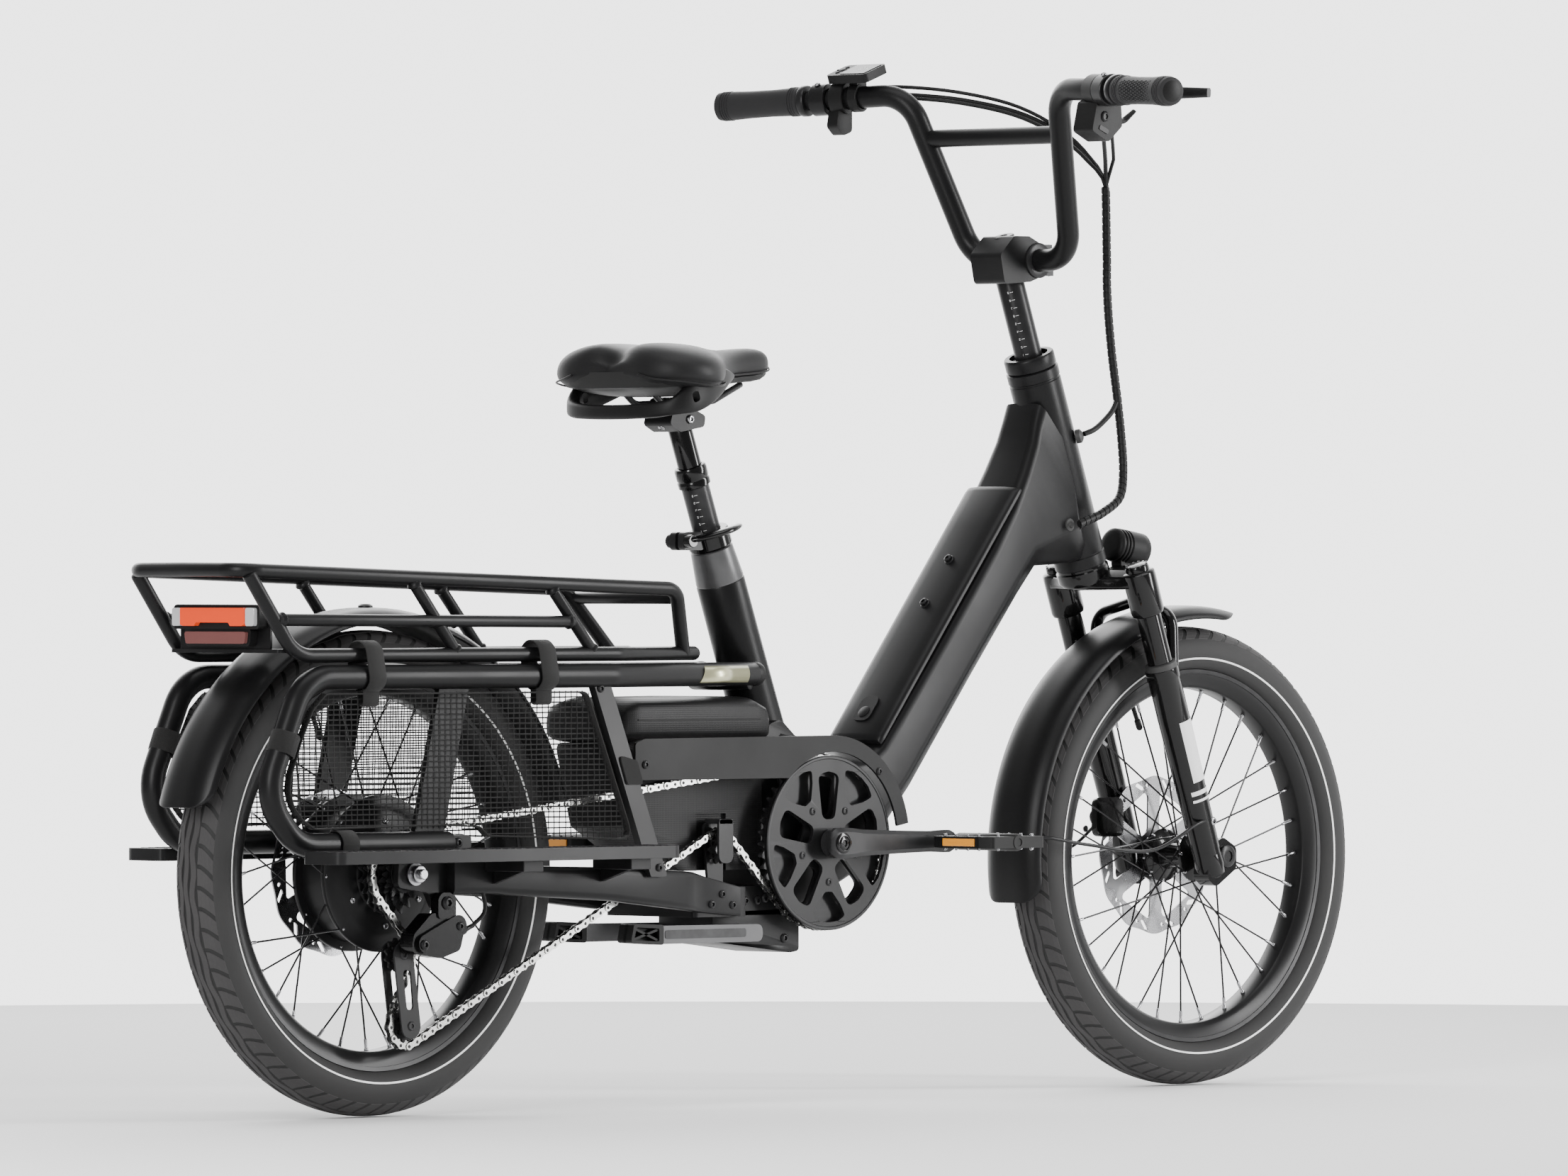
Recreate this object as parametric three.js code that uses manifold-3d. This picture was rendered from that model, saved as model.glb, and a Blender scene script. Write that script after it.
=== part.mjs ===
// Electric longtail cargo bicycle: step-through frame, long rear rack with footboards, hub motor, sprung fork.
// Millimetres. +X is forward, +Y is the rider's left, +Z is up, and z = 0 is the ground.
import * as THREE from 'three';
import { mergeVertices } from 'three/addons/utils/BufferGeometryUtils.js';
import Module from 'manifold-3d';

const wasm = await Module();
wasm.setup();

// ---------------------------------------------------------------- driving dimensions

// Inside this file x is measured from the rear axle; the whole bicycle is then moved so that x = 0 is its middle.
const MIDDLE_X = 627;

const WHEEL_R = 260;
const TYRE_HALF = 33;
const WHEELBASE = 1267;
const WHEEL_STEPS = 36;
const SPOKES = 32;
const RIM_OUTER_R = 211;
const RIM_INNER_R = 190;
const RIM_HALF = 22;
const ROTOR_R = 90;
const REAR_ROTOR_Y = 50;
const FRONT_ROTOR_Y = 39;
const ROTOR_THICK = 2;
const MOTOR_R = 74;

// Crank axle and drive line.
const CRANK_X = 635;
const CRANK_Z = 284;
const CRANK_LENGTH = 170;
const CHAIN_Y = -54;
const CHAIN_WIDE = 7;
const CHAIN_HALF_TALL = 4;
const CHAINRING_PITCH_R = 93.07;
const CASSETTE_PITCH_R = 42;
const JOCKEY_PITCH_R = 22.5;
const IDLER_PITCH_R = 20.55;
const GUARD_DISC_R = 96;
const IDLER_AT = [477, 279];
const UPPER_JOCKEY_AT = [-5, 174];
const LOWER_JOCKEY_AT = [6, 98];

// Steering axis: two points on it, and the fork legs beside it.
const STEER_TOP = [1031, 0, 793];
const STEER_LOW = [1103, 0, 595];
const LEG_Y = 62;
const LEG_TOP = [1134, 578];
const LEG_LOW = [1255, 236];
const STANCHION_R = 14;
const LOWER_R = 18;

// Handlebar: half of it, from the clamp to the grip end.
const BAR_R = 12.5;
const BAR_CLAMP = [1010, 0, 930];
const BAR_FOOT = [1010, 74, 930];
const BAR_SHOULDER = [945, 117, 1118];
const BAR_END = [881, 352, 1108];
const GRIP_LENGTH = 118;

// Seat: two points on the axis of the seat tube.
const SEAT_TOP = [519, 0, 609];
const SEAT_LOW = [597, 0, 400];
const SEAT_TUBE_R = 25.5;

// Rear carrier tubes.
const HOOP_Y = 92;
const HOOP_R = 13;
const HOOP_Z = 470;
const RAIL_Y = 87;
const RAIL_R = 7.8;
const RACK_LOW_Z = 493;
const BOARD_TOP = 288;
const BOARD_THICK = 14;
const BOARD_IN = 110;
const BOARD_OUT = 167;

// Stand.
const STAND_PIVOT = [520, 188];
const STAND_LEG = 190;
const STAND_LEG_Y = 60;

// Gap kept between two pieces that touch on the real bicycle.
const GAP = 0.4;

// ---------------------------------------------------------------- finishes

function finish(colour, roughness, metalness) {
  return new THREE.MeshStandardMaterial({ color: colour, roughness, metalness });
}
const MATTE_BLACK = finish(0x1d1d1e, 0.62, 0.2);
const GLOSS_BLACK = finish(0x0c0c0d, 0.18, 0.3);
const SATIN_PLASTIC = finish(0x222223, 0.55, 0.0);
const GRIP_RUBBER = finish(0x2b2b2c, 0.85, 0.0);
const TYRE_RUBBER = finish(0x2a2a2a, 0.9, 0.0);
const BARE_STEEL = finish(0xb9bbbd, 0.3, 1.0);
const GREY_ALLOY = finish(0x6e7072, 0.45, 0.8);
const SADDLE_SKIN = finish(0x1a1a1b, 0.5, 0.0);
const NET_CLOTH = finish(0x18181a, 0.9, 0.0);
const TAIL_RED = finish(0xe8502a, 0.25, 0.0);
const SCREEN = finish(0x15171a, 0.1, 0.0);

// ---------------------------------------------------------------- solids

// A closed triangle mesh as a solid for joining and cutting, with its faces turned outward.
function solid(geometry) {
  const bare = geometry.index ? geometry.toNonIndexed() : geometry.clone();
  for (const key of Object.keys(bare.attributes)) {
    if (key !== 'position') bare.deleteAttribute(key);
  }
  const merged = mergeVertices(bare, 1e-3);
  const at = merged.attributes.position.array;
  const corners = [];
  let volume = 0;
  for (let i = 0; i < merged.index.count; i += 3) {
    const [a, b, c] = [0, 1, 2].map((k) => merged.index.getX(i + k));
    if (a === b || b === c || c === a) continue;
    corners.push(a, b, c);
    const [ax, ay, az, bx, by, bz, cx, cy, cz] = [a, b, c].flatMap((v) => [at[3 * v], at[3 * v + 1], at[3 * v + 2]]);
    volume += ax * (by * cz - bz * cy) - ay * (bx * cz - bz * cx) + az * (bx * cy - by * cx);
  }
  if (volume < 0) corners.reverse();
  const mesh = { numProp: 3, vertProperties: new Float32Array(at), triVerts: new Uint32Array(corners) };
  return new wasm.Manifold(new wasm.Mesh(mesh));
}

function geometryOf(body) {
  const mesh = body.getMesh();
  const geometry = new THREE.BufferGeometry();
  geometry.setAttribute('position', new THREE.BufferAttribute(new Float32Array(mesh.vertProperties), 3));
  geometry.setIndex(new THREE.BufferAttribute(new Uint32Array(mesh.triVerts), 1));
  return geometry;
}

function join(...shapes) {
  return geometryOf(shapes.map(solid).reduce((whole, next) => whole.add(next)));
}

function cut(base, ...tools) {
  return geometryOf(tools.map(solid).reduce((whole, next) => whole.subtract(next), solid(base)));
}

function common(a, b) {
  return geometryOf(solid(a).intersect(solid(b)));
}

function moved(shape, x, y, z) {
  return shape.clone().translate(x, y, z);
}

// The same shape on the other side of the bicycle.
function mirrored(shape) {
  return geometryOf(solid(shape.clone().scale(1, -1, 1)));
}

function block(lowX, highX, lowY, highY, lowZ, highZ) {
  const shape = new THREE.BoxGeometry(highX - lowX, highY - lowY, highZ - lowZ);
  return shape.translate((lowX + highX) / 2, (lowY + highY) / 2, (lowZ + highZ) / 2);
}

// A round bar between two points, straight or tapering.
function rod(from, to, radius, sides = 12, endRadius = radius) {
  const start = new THREE.Vector3(...from);
  const along = new THREE.Vector3(...to).sub(start);
  const shape = new THREE.CylinderGeometry(endRadius, radius, along.length(), sides);
  shape.translate(0, along.length() / 2, 0);
  shape.applyQuaternion(new THREE.Quaternion().setFromUnitVectors(new THREE.Vector3(0, 1, 0), along.normalize()));
  return shape.translate(start.x, start.y, start.z);
}

// A piece turned about the Y axis, from a profile of [radius, y] points that closes on itself.
function turned(profile, steps = WHEEL_STEPS) {
  const points = profile.map(([radius, y]) => new THREE.Vector2(radius, y));
  if (THREE.ShapeUtils.isClockWise(points)) points.reverse();
  return new THREE.LatheGeometry([...points, points[0]], steps);
}

function outlineOf(points) {
  return new THREE.Shape(points.map(([a, b]) => new THREE.Vector2(a, b)));
}

// A plate in the XZ plane, from an outline of [x, z] points, with holes, between two values of y.
function plate(outline, lowY, highY, holes = []) {
  const shape = outlineOf(outline);
  for (const hole of holes) shape.holes.push(outlineOf(hole));
  const body = new THREE.ExtrudeGeometry(shape, { depth: highY - lowY, bevelEnabled: false });
  return body.rotateX(Math.PI / 2).translate(0, highY, 0);
}

// A plate in the XY plane between two heights.
function board(outline, lowZ, highZ) {
  const body = new THREE.ExtrudeGeometry(outlineOf(outline), { depth: highZ - lowZ, bevelEnabled: false });
  return body.translate(0, 0, lowZ);
}

// Points of an arc in a plane, from one angle to another, in degrees.
function arc(centreA, centreB, radius, from, to, steps) {
  return Array.from({ length: steps + 1 }, (_, i) => {
    const angle = THREE.MathUtils.degToRad(from + ((to - from) * i) / steps);
    return [centreA + radius * Math.cos(angle), centreB + radius * Math.sin(angle)];
  });
}

function circle(centreA, centreB, radius, steps) {
  return arc(centreA, centreB, radius, 0, 360 - 360 / steps, steps - 1);
}

// A path of straight runs with round bends, whose stations sit only where the path turns.
class BentPath extends THREE.Curve {
  constructor(corners, bend, arcSteps) {
    super();
    const at = corners.map((corner) => new THREE.Vector3(...corner));
    this.stations = [at[0]];
    this.headings = [at[1].clone().sub(at[0]).normalize()];
    for (let i = 1; i < at.length - 1; i += 1) {
      const before = at[i].clone().sub(at[i - 1]);
      const after = at[i + 1].clone().sub(at[i]);
      const room = 0.49 * Math.min(before.length(), after.length());
      before.normalize();
      after.normalize();
      const turn = before.angleTo(after);
      const radius = Math.min(bend, room / Math.tan(turn / 2));
      const inward = after.clone().addScaledVector(before, -Math.cos(turn)).normalize();
      const start = at[i].clone().addScaledVector(before, -radius * Math.tan(turn / 2));
      for (let k = 0; k <= arcSteps; k += 1) {
        const angle = (turn * k) / arcSteps;
        const point = start.clone().addScaledVector(before, radius * Math.sin(angle));
        this.stations.push(point.addScaledVector(inward, radius * (1 - Math.cos(angle))));
        const heading = before.clone().multiplyScalar(Math.cos(angle));
        this.headings.push(heading.addScaledVector(inward, Math.sin(angle)).normalize());
      }
    }
    this.stations.push(at[at.length - 1]);
    this.headings.push(at[at.length - 1].clone().sub(at[at.length - 2]).normalize());
  }

  between(list, t, target) {
    const place = t * (list.length - 1);
    const index = Math.min(Math.floor(place), list.length - 2);
    return target.copy(list[index]).lerp(list[index + 1], place - index);
  }

  getPoint(t, target = new THREE.Vector3()) {
    return this.between(this.stations, t, target);
  }

  getTangent(t, target = new THREE.Vector3()) {
    return this.between(this.headings, t, target).normalize();
  }

  getPointAt(t, target) {
    return this.getPoint(t, target);
  }

  getTangentAt(t, target) {
    return this.getTangent(t, target);
  }

  getSpacedPoints(steps) {
    return this.getPoints(steps);
  }
}

// A bent tube or bar: a regular polygon swept along a path with round bends.
function bentTube(corners, bend, radius, sides = 10, arcSteps = 4) {
  const path = new BentPath(corners, bend, arcSteps);
  const options = { extrudePath: path, steps: path.stations.length - 1, bevelEnabled: false };
  return new THREE.ExtrudeGeometry(outlineOf(circle(0, 0, radius, sides)), options);
}

// A limp round cable through its points.
function cable(points, radius, steps, sides = 8) {
  const path = new THREE.CatmullRomCurve3(points.map((point) => new THREE.Vector3(...point)), false, 'centripetal');
  const options = { extrudePath: path, steps, bevelEnabled: false };
  return new THREE.ExtrudeGeometry(outlineOf(circle(0, 0, radius, sides)), options);
}

// The point at a distance along the line from one point to another.
function along(from, to, distance) {
  const start = new THREE.Vector3(...from);
  const step = new THREE.Vector3(...to).sub(start).normalize();
  return start.addScaledVector(step, distance).toArray();
}

function piece(name, geometry, material) {
  const mesh = new THREE.Mesh(geometry, material);
  mesh.name = name;
  return mesh;
}

function group(...children) {
  const holder = new THREE.Group();
  holder.add(...children);
  return holder;
}

// ---------------------------------------------------------------- wheels, about their own axle

function tyre() {
  const half = [
    [206, 18.5], [211.6, 18.5], [213.5, 27], [231, TYRE_HALF], [248, 27.5], [WHEEL_R, 9],
  ];
  return turned([...half, ...half.map(([radius, y]) => [radius, -y]).reverse()]);
}

function rim() {
  const half = [[205.4, 19], [RIM_OUTER_R, 19.2], [RIM_OUTER_R, RIM_HALF], [RIM_INNER_R, 13]];
  return turned([...half, ...half.map(([radius, y]) => [radius, -y]).reverse()]);
}

// Spokes laced to two flange rings and held by a ring of nipples under the rim.
function spokes(flangeR, flangeY, lacing) {
  const nippleR = RIM_INNER_R * Math.cos(Math.PI / WHEEL_STEPS) - GAP;
  const rings = [turned([[nippleR - 4, -3], [nippleR, -3], [nippleR, 3], [nippleR - 4, 3]], SPOKES)];
  for (const side of [-1, 1]) {
    const [low, high] = [side * flangeY - 3, side * flangeY + 3];
    rings.push(turned([[flangeR - 5, low], [flangeR + 2.5, low], [flangeR + 2.5, high], [flangeR - 5, high]], 20));
  }
  const wires = Array.from({ length: SPOKES }, (_, i) => {
    const side = i % 2 ? 1 : -1;
    const lean = (i >> 1) % 2 ? lacing : -lacing;
    const outer = (i * 2 * Math.PI) / SPOKES;
    const inner = outer + THREE.MathUtils.degToRad(lean);
    const reachY = side * (flangeY + Math.sign(lean) * 1.6);
    const from = [flangeR * Math.cos(inner), reachY, flangeR * Math.sin(inner)];
    const to = [(nippleR - 2) * Math.cos(outer), side * 1.2, (nippleR - 2) * Math.sin(outer)];
    return rod(from, to, 1.1, 3);
  });
  return join(...rings, ...wires);
}

// Brake disc on the left side of a wheel, with round windows.
function rotor(discY) {
  const windows = Array.from({ length: 6 }, (_, i) => {
    const angle = (i * Math.PI) / 3;
    return circle(47 * Math.cos(angle), 47 * Math.sin(angle), 19, 8);
  });
  return plate(circle(0, 0, ROTOR_R, 36), discY, discY + ROTOR_THICK, [circle(0, 0, 9, 12), ...windows]);
}

function frontHub() {
  const shape = [
    [7.4, -43], [11, -43], [12, -31], [22.8, -29], [22.8, -23], [14, -18], [14, 18], [22.8, 23], [22.8, 29],
    [20, 33], [20, FRONT_ROTOR_Y - GAP], [7.4, FRONT_ROTOR_Y - GAP],
  ];
  return turned(shape, 20);
}

function hubMotor() {
  const shape = [
    [7.4, -64], [16.5, -64], [16.5, -34], [42, -33], [68, -30], [MOTOR_R, -25], [MOTOR_R, 25], [68, 30], [42, 34],
    [24, 36], [22, REAR_ROTOR_Y - GAP], [7.4, REAR_ROTOR_Y - GAP],
  ];
  return turned(shape, 24);
}

function cassette() {
  return turned([[17, -36], [45, -36], [45, -39], [38, -45], [30, -61], [17, -61]], 24);
}

// Fixed axle of the rear wheel with its two nuts, outside the dropouts.
function rearAxle() {
  const half = [[7, 76], [12, 76], [12, 86], [6, 88], [6, 92]];
  return turned([...half.map(([radius, y]) => [radius, -y]).reverse(), ...half, [0.8, 92], [0.8, -92]], 12);
}

// ---------------------------------------------------------------- frames

const STEER_DOWN = new THREE.Vector3(...STEER_LOW).sub(new THREE.Vector3(...STEER_TOP)).normalize();
const STEER_TILT = THREE.MathUtils.radToDeg(Math.atan2(STEER_DOWN.x, -STEER_DOWN.z));

// The main frame is one weldment: head tube, down tube with its battery bay, seat tube, bottom bracket and yoke.
function downTube() {
  const side = [
    [1046, 770], [1010, 772], [1004, 742], [982, 700], [969, 674], [738, 383], [705, 372], [640, 385], [600, 420],
    [575, 400], [566, 330], [562, 254], [504, 250], [504, 205], [600, 205], [660, 222], [712, 246], [809, 351],
    [870, 429], [938, 508], [987, 567], [1022, 592], [1075, 588], [1116, 600], [1106, 650],
  ];
  const body = plate(side, -42, 42);
  const lowerChamfer = (sign) => {
    const wedge = [[0, 0], [40, 0], [0, 14]];
    const cutter = new THREE.ExtrudeGeometry(outlineOf(wedge), { depth: 420, bevelEnabled: false });
    cutter.translate(0, 0, -10);
    cutter.applyMatrix4(new THREE.Matrix4().makeBasis(
      new THREE.Vector3(-0.75, 0, 0.66),
      new THREE.Vector3(0, -sign, 0),
      new THREE.Vector3(0.66, 0, 0.75),
    ));
    return geometryOf(solid(cutter.translate(712, sign * 42.01, 246)));
  };
  const neckTaper = block(940, 1160, 0, 40, 0, 220).rotateX(0.12).translate(0, 42, 655);
  return cut(body, lowerChamfer(1), lowerChamfer(-1), neckTaper, mirrored(neckTaper));
}

// The bay in the upper face of the down tube that the battery drops into.
const BAY_FOOT = new THREE.Vector3(738, 0, 383);
const BAY_HEAD = new THREE.Vector3(969, 0, 674);
const BAY_ALONG = BAY_HEAD.clone().sub(BAY_FOOT).normalize();
const BAY_OUT = new THREE.Vector3(-BAY_ALONG.z, 0, BAY_ALONG.x);
const BAY_LENGTH = BAY_HEAD.distanceTo(BAY_FOOT);

// A block beside the battery bay: measured along the tube, across the bicycle, and out of the tube.
function bayBlock(alongLow, alongHigh, half, outLow, outHigh) {
  const shape = block(alongLow, alongHigh, -half, half, outLow, outHigh);
  const basis = new THREE.Matrix4().makeBasis(BAY_ALONG, new THREE.Vector3(0, 1, 0), BAY_OUT);
  return shape.applyMatrix4(basis).translate(BAY_FOOT.x, 0, BAY_FOOT.z);
}

function mainFrame() {
  const head = rod(along(STEER_TOP, STEER_LOW, -18), along(STEER_TOP, STEER_LOW, 218), 29.5, 20);
  const seat = rod(SEAT_TOP, along(SEAT_TOP, SEAT_LOW, 300), SEAT_TUBE_R, 16);
  const shell = rod([CRANK_X, -44, CRANK_Z], [CRANK_X, 44, CRANK_Z], 24, 16);
  const yoke = board([[425, -69.6], [504, -69.6], [520, -42], [600, -42], [600, 42], [520, 42], [504, 69.6], [425, 69.6]], 206, 238);
  const steererBore = rod(along(STEER_TOP, STEER_LOW, -40), along(STEER_TOP, STEER_LOW, 240), 22, 16);
  const seatBore = rod(along(SEAT_TOP, SEAT_LOW, -20), along(SEAT_TOP, SEAT_LOW, 230), 16, 16);
  const spindleBore = rod([CRANK_X, -60, CRANK_Z], [CRANK_X, 60, CRANK_Z], 10, 12);
  const bay = bayBlock(24, BAY_LENGTH - 6, 34, -58, 20);
  const idlerTab = plate([[462, 308], [492, 308], [492, 232], [470, 232]], -46, -42.5);
  const idlerFoot = block(470, 492, -46, -30, 225, 240);
  const idlerPin = rod([...IDLER_AT.slice(0, 1), -58, IDLER_AT[1]], [IDLER_AT[0], -44, IDLER_AT[1]], 4, 8);
  const whole = join(downTube(), head, seat, shell, yoke, idlerTab, idlerFoot, idlerPin, standBracket());
  return cut(whole, steererBore, seatBore, spindleBore, bay);
}

// Battery: the pack in its bay and the crowned cover that closes the tube.
function battery() {
  const pack = bayBlock(26, BAY_LENGTH - 8, 32, -56, 6);
  const cover = bayBlock(10, BAY_LENGTH - 2, 41, GAP, 6);
  const crown = bayBlock(14, BAY_LENGTH - 6, 30, 5, 11);
  return join(pack, cover, crown);
}

function controllerHousing() {
  const low = plate([[322, 396], [345, 305], [430, 256], [555, 256], [558, 330], [556, 396]], -42, 42);
  const pod = plate([[322, 395], [556, 395], [548, 430], [538, 446], [345, 446], [326, 430]], -64, 64);
  const idlerRoom = block(455, 500, -70, -38, 250, 318);
  return cut(join(low, pod), idlerRoom);
}

// One side of the rear frame: chainstay with its dropout, side hoop and flat strut.
function rearFrameSide() {
  const dropOutline = [
    [-24, 246], [-22, 285], [0, 302], [76, 302], [76, 240], [58, 236], [46, 222], [30, 222], [20, 240],
  ];
  const stayOutline = [
    [48, 290], [66, 290], [132, 268], [286, 264], [420, 256], [492, 238], [492, 206], [393, 215], [286, 227],
    [116, 239], [48, 236],
  ];
  const dropout = plate(dropOutline, -76, -68, [circle(0, WHEEL_R, 8, 12)]);
  const crankRoom = board([[400, -90.1], [438, -75], [500, -75], [500, -95], [400, -95]], 190, 300);
  const tube = cut(plate(stayOutline, -90, -70), crankRoom);
  const stay = join(dropout, tube, block(16, 70, -90.4, -74, 285, 301));
  const hoopCorners = [
    [551, -40, HOOP_Z], [275, -HOOP_Y, HOOP_Z], [-176, -HOOP_Y, HOOP_Z], [-232, -HOOP_Y, 345],
    [-186, -HOOP_Y, 293], [36, -HOOP_Y, 293],
  ];
  const hoop = bentTube(hoopCorners, 52, HOOP_R, 10, 4);
  const strut = plate([[245, 466], [270, 466], [358, 252], [333, 252]], -96, -86);
  const wheelStrut = plate([[30, 462], [74, 462], [34, 292], [-10, 292]], -84, -77);
  return join(stay, hoop, strut, wheelStrut);
}

function rearFrame() {
  const right = rearFrameSide();
  const bridge = bentTube([[536, -45, HOOP_Z - 9], [520, 0, HOOP_Z - 9], [536, 45, HOOP_Z - 9]], 30, 9, 8, 3);
  const stayBridge = block(296, 312, -80, 80, 232, 252);
  return join(right, mirrored(right), bridge, stayBridge);
}

function chainGuard() {
  const outline = [
    [330, 356], [330, 397], [345, 401], ...arc(CRANK_X, CRANK_Z, 118, 90, 10, 10),
    ...arc(CRANK_X, CRANK_Z, 100, 10, 134, 14), [425, 356],
  ];
  const top = [
    [332, 395], [345, 399], ...arc(CRANK_X, CRANK_Z, 116, 90, 10, 10), ...arc(CRANK_X, CRANK_Z, 118, 10, 90, 10),
    [345, 401], [330, 397],
  ];
  return join(plate(outline, -75, -72), plate(top, -73, -65.5));
}

// ---------------------------------------------------------------- rear carrier

function rackSide() {
  const rail = [
    [-262, 0, 584], [-262, -RAIL_Y, 583.5], [380, -RAIL_Y, 563], [421, -56, RACK_LOW_Z],
  ];
  const low = [
    [-250, -RAIL_Y, 580], [-184, -RAIL_Y, RACK_LOW_Z], [290, -RAIL_Y, RACK_LOW_Z], [445, -50, RACK_LOW_Z],
  ];
  return join(
    bentTube(rail, 26, RAIL_R, 8, 2),
    bentTube(low, 45, RAIL_R, 8, 2),
    rod([-15, -RAIL_Y, 574], [53, -RAIL_Y, RACK_LOW_Z], 6.5, 6),
    rod([189, -RAIL_Y, 568], [256, -RAIL_Y, RACK_LOW_Z], 6.5, 6),
    rod([-212, -RAIL_Y - 3, 531], [222, -RAIL_Y - 3, 528], 6.5, 6),
  );
}

function rearRack() {
  const side = rackSide();
  const plateOutline = [[-205, -84], [-172, -84], [-172, 84], [-205, 84]];
  const crossPlate = board(plateOutline, 496, 500);
  const lampPlate = block(-203, -200, -70, 70, 498, 545);
  const crossBar = rod([388, -82, 553], [388, 82, 553], 6.5, 6);
  const holes = [-45, 45].map((y) => rod([-186, y, 480], [-186, y, 510], 5, 6));
  return cut(join(side, mirrored(side), crossPlate, lampPlate, crossBar), ...holes);
}

function tailLight() {
  const top = block(-224, -203 - GAP, -67, 67, 521, 547);
  const low = block(-220, -203 - GAP, -49, 49, 503, 522);
  return join(top, low);
}

function footboard() {
  const outline = [
    [-195, -BOARD_OUT + 8], [-187, -BOARD_OUT], [304, -BOARD_OUT], [312, -BOARD_OUT + 8], [312, -BOARD_IN - 6],
    [306, -BOARD_IN], [-189, -BOARD_IN], [-195, -BOARD_IN - 6],
  ];
  const deck = board(outline, BOARD_TOP - BOARD_THICK, BOARD_TOP);
  const arms = [90, 250].map((x) => block(x, x + 30, -150, -90 - GAP, 262, BOARD_TOP - BOARD_THICK + 2));
  return join(deck, ...arms);
}

// Net panel filling the side hoop.
function sideNet() {
  const outline = [
    [-150, 454], [-170, 436], [-187, 402], [-201, 366], [-203, 350], [-197, 333], [-184, 319], [-166, 309],
    [20, 309], [78, 306], [92, 296], [310, 292], [241, 454],
  ];
  return plate(outline, -93, -91);
}

// Part of a crowned ring around a wheel, between two angles from straight ahead.
function fender(from, to) {
  const half = [[267, 42], [270, 42], [279, 30], [284, 12]];
  const inner = [[281, 12], [276, 28]];
  const mirror = (points) => points.map(([radius, y]) => [radius, -y]).reverse();
  const ring = turned([...half, ...mirror(half), ...mirror(inner).reverse().reverse(), ...inner], 48);
  const sector = plate([[0, 0], ...arc(0, 0, 320, from, to, 12)], -60, 60);
  return common(ring, sector);
}

// ---------------------------------------------------------------- drive

// Centre line of a belt round circles [x, z, radius, turn], where turn is 1 anticlockwise seen from the right.
function beltLine(circles, arcSteps) {
  const touch = circles.map((from, i) => {
    const to = circles[(i + 1) % circles.length];
    const [dx, dz] = [to[0] - from[0], to[1] - from[1]];
    const distance = Math.hypot(dx, dz);
    const lift = Math.asin((from[3] * from[2] - to[3] * to[2]) / distance);
    const heading = Math.atan2(dz, dx) + lift;
    return {
      leave: [from[0] + from[3] * from[2] * Math.sin(heading), from[1] - from[3] * from[2] * Math.cos(heading)],
      reach: [to[0] + to[3] * to[2] * Math.sin(heading), to[1] - to[3] * to[2] * Math.cos(heading)],
    };
  });
  return circles.flatMap(([x, z, radius, turn], i) => {
    const enter = touch[(i + circles.length - 1) % circles.length].reach;
    const start = Math.atan2(enter[1] - z, enter[0] - x);
    let sweep = Math.atan2(touch[i].leave[1] - z, touch[i].leave[0] - x) - start;
    while (sweep * turn < 0) sweep += turn * 2 * Math.PI;
    return Array.from({ length: arcSteps[i] + 1 }, (_, k) => {
      const angle = start + (sweep * k) / arcSteps[i];
      return [x + radius * Math.cos(angle), z + radius * Math.sin(angle)];
    });
  });
}

function offsetLoop(loop, distance) {
  return loop.map(([x, z], i) => {
    const before = loop[(i + loop.length - 1) % loop.length];
    const after = loop[(i + 1) % loop.length];
    const [dx, dz] = [after[0] - before[0], after[1] - before[1]];
    const size = Math.hypot(dx, dz);
    return [x + (distance * dz) / size, z - (distance * dx) / size];
  });
}

function chain() {
  const line = beltLine(
    [
      [CRANK_X, CRANK_Z, CHAINRING_PITCH_R, 1],
      [0, WHEEL_R, CASSETTE_PITCH_R, 1],
      [...UPPER_JOCKEY_AT, JOCKEY_PITCH_R, -1],
      [...LOWER_JOCKEY_AT, JOCKEY_PITCH_R, 1],
      [...IDLER_AT, IDLER_PITCH_R, -1],
    ],
    [16, 10, 6, 8, 5],
  );
  const [low, high] = [CHAIN_Y - CHAIN_WIDE / 2, CHAIN_Y + CHAIN_WIDE / 2];
  return plate(offsetLoop(line, CHAIN_HALF_TALL), low, high, [offsetLoop(line, -CHAIN_HALF_TALL)]);
}

function toothless(radius, bore, halfThick) {
  return turned([[bore, -halfThick], [radius, -halfThick], [radius, halfThick], [bore, halfThick]], 16);
}

function chainring() {
  const windows = Array.from({ length: 5 }, (_, i) => {
    const angle = ((i + 0.5) * 2 * Math.PI) / 5;
    return circle(52 * Math.cos(angle), 52 * Math.sin(angle), 19, 6);
  });
  const reach = CHAINRING_PITCH_R - CHAIN_HALF_TALL - 0.8;
  return plate(circle(0, 0, reach, 40), CHAIN_Y - 1.5, CHAIN_Y + 1.5, [circle(0, 0, 10.5, 12), ...windows]);
}

// Chainring with its outer bash disc, held together by five spacer bolts.
function guardedChainring() {
  const bolts = Array.from({ length: 5 }, (_, i) => {
    const angle = (i * 2 * Math.PI) / 5;
    const [x, z] = [66 * Math.cos(angle), 66 * Math.sin(angle)];
    return rod([x, CHAIN_Y + 1, z], [x, -63, z], 5, 6);
  });
  return join(chainring(), guardDisc(), ...bolts);
}

function guardDisc() {
  const slots = Array.from({ length: 5 }, (_, i) => {
    const angle = (i * 72 + 18) * (Math.PI / 180);
    const at = (radius, offset) => [radius * Math.cos(angle + offset), radius * Math.sin(angle + offset)];
    return [at(38, -0.2), at(80, -0.32), at(80, 0.32), at(38, 0.2)];
  });
  return plate(circle(0, 0, GUARD_DISC_R, 40), -67, -62, [circle(0, 0, 10.5, 12), ...slots]);
}

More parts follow.
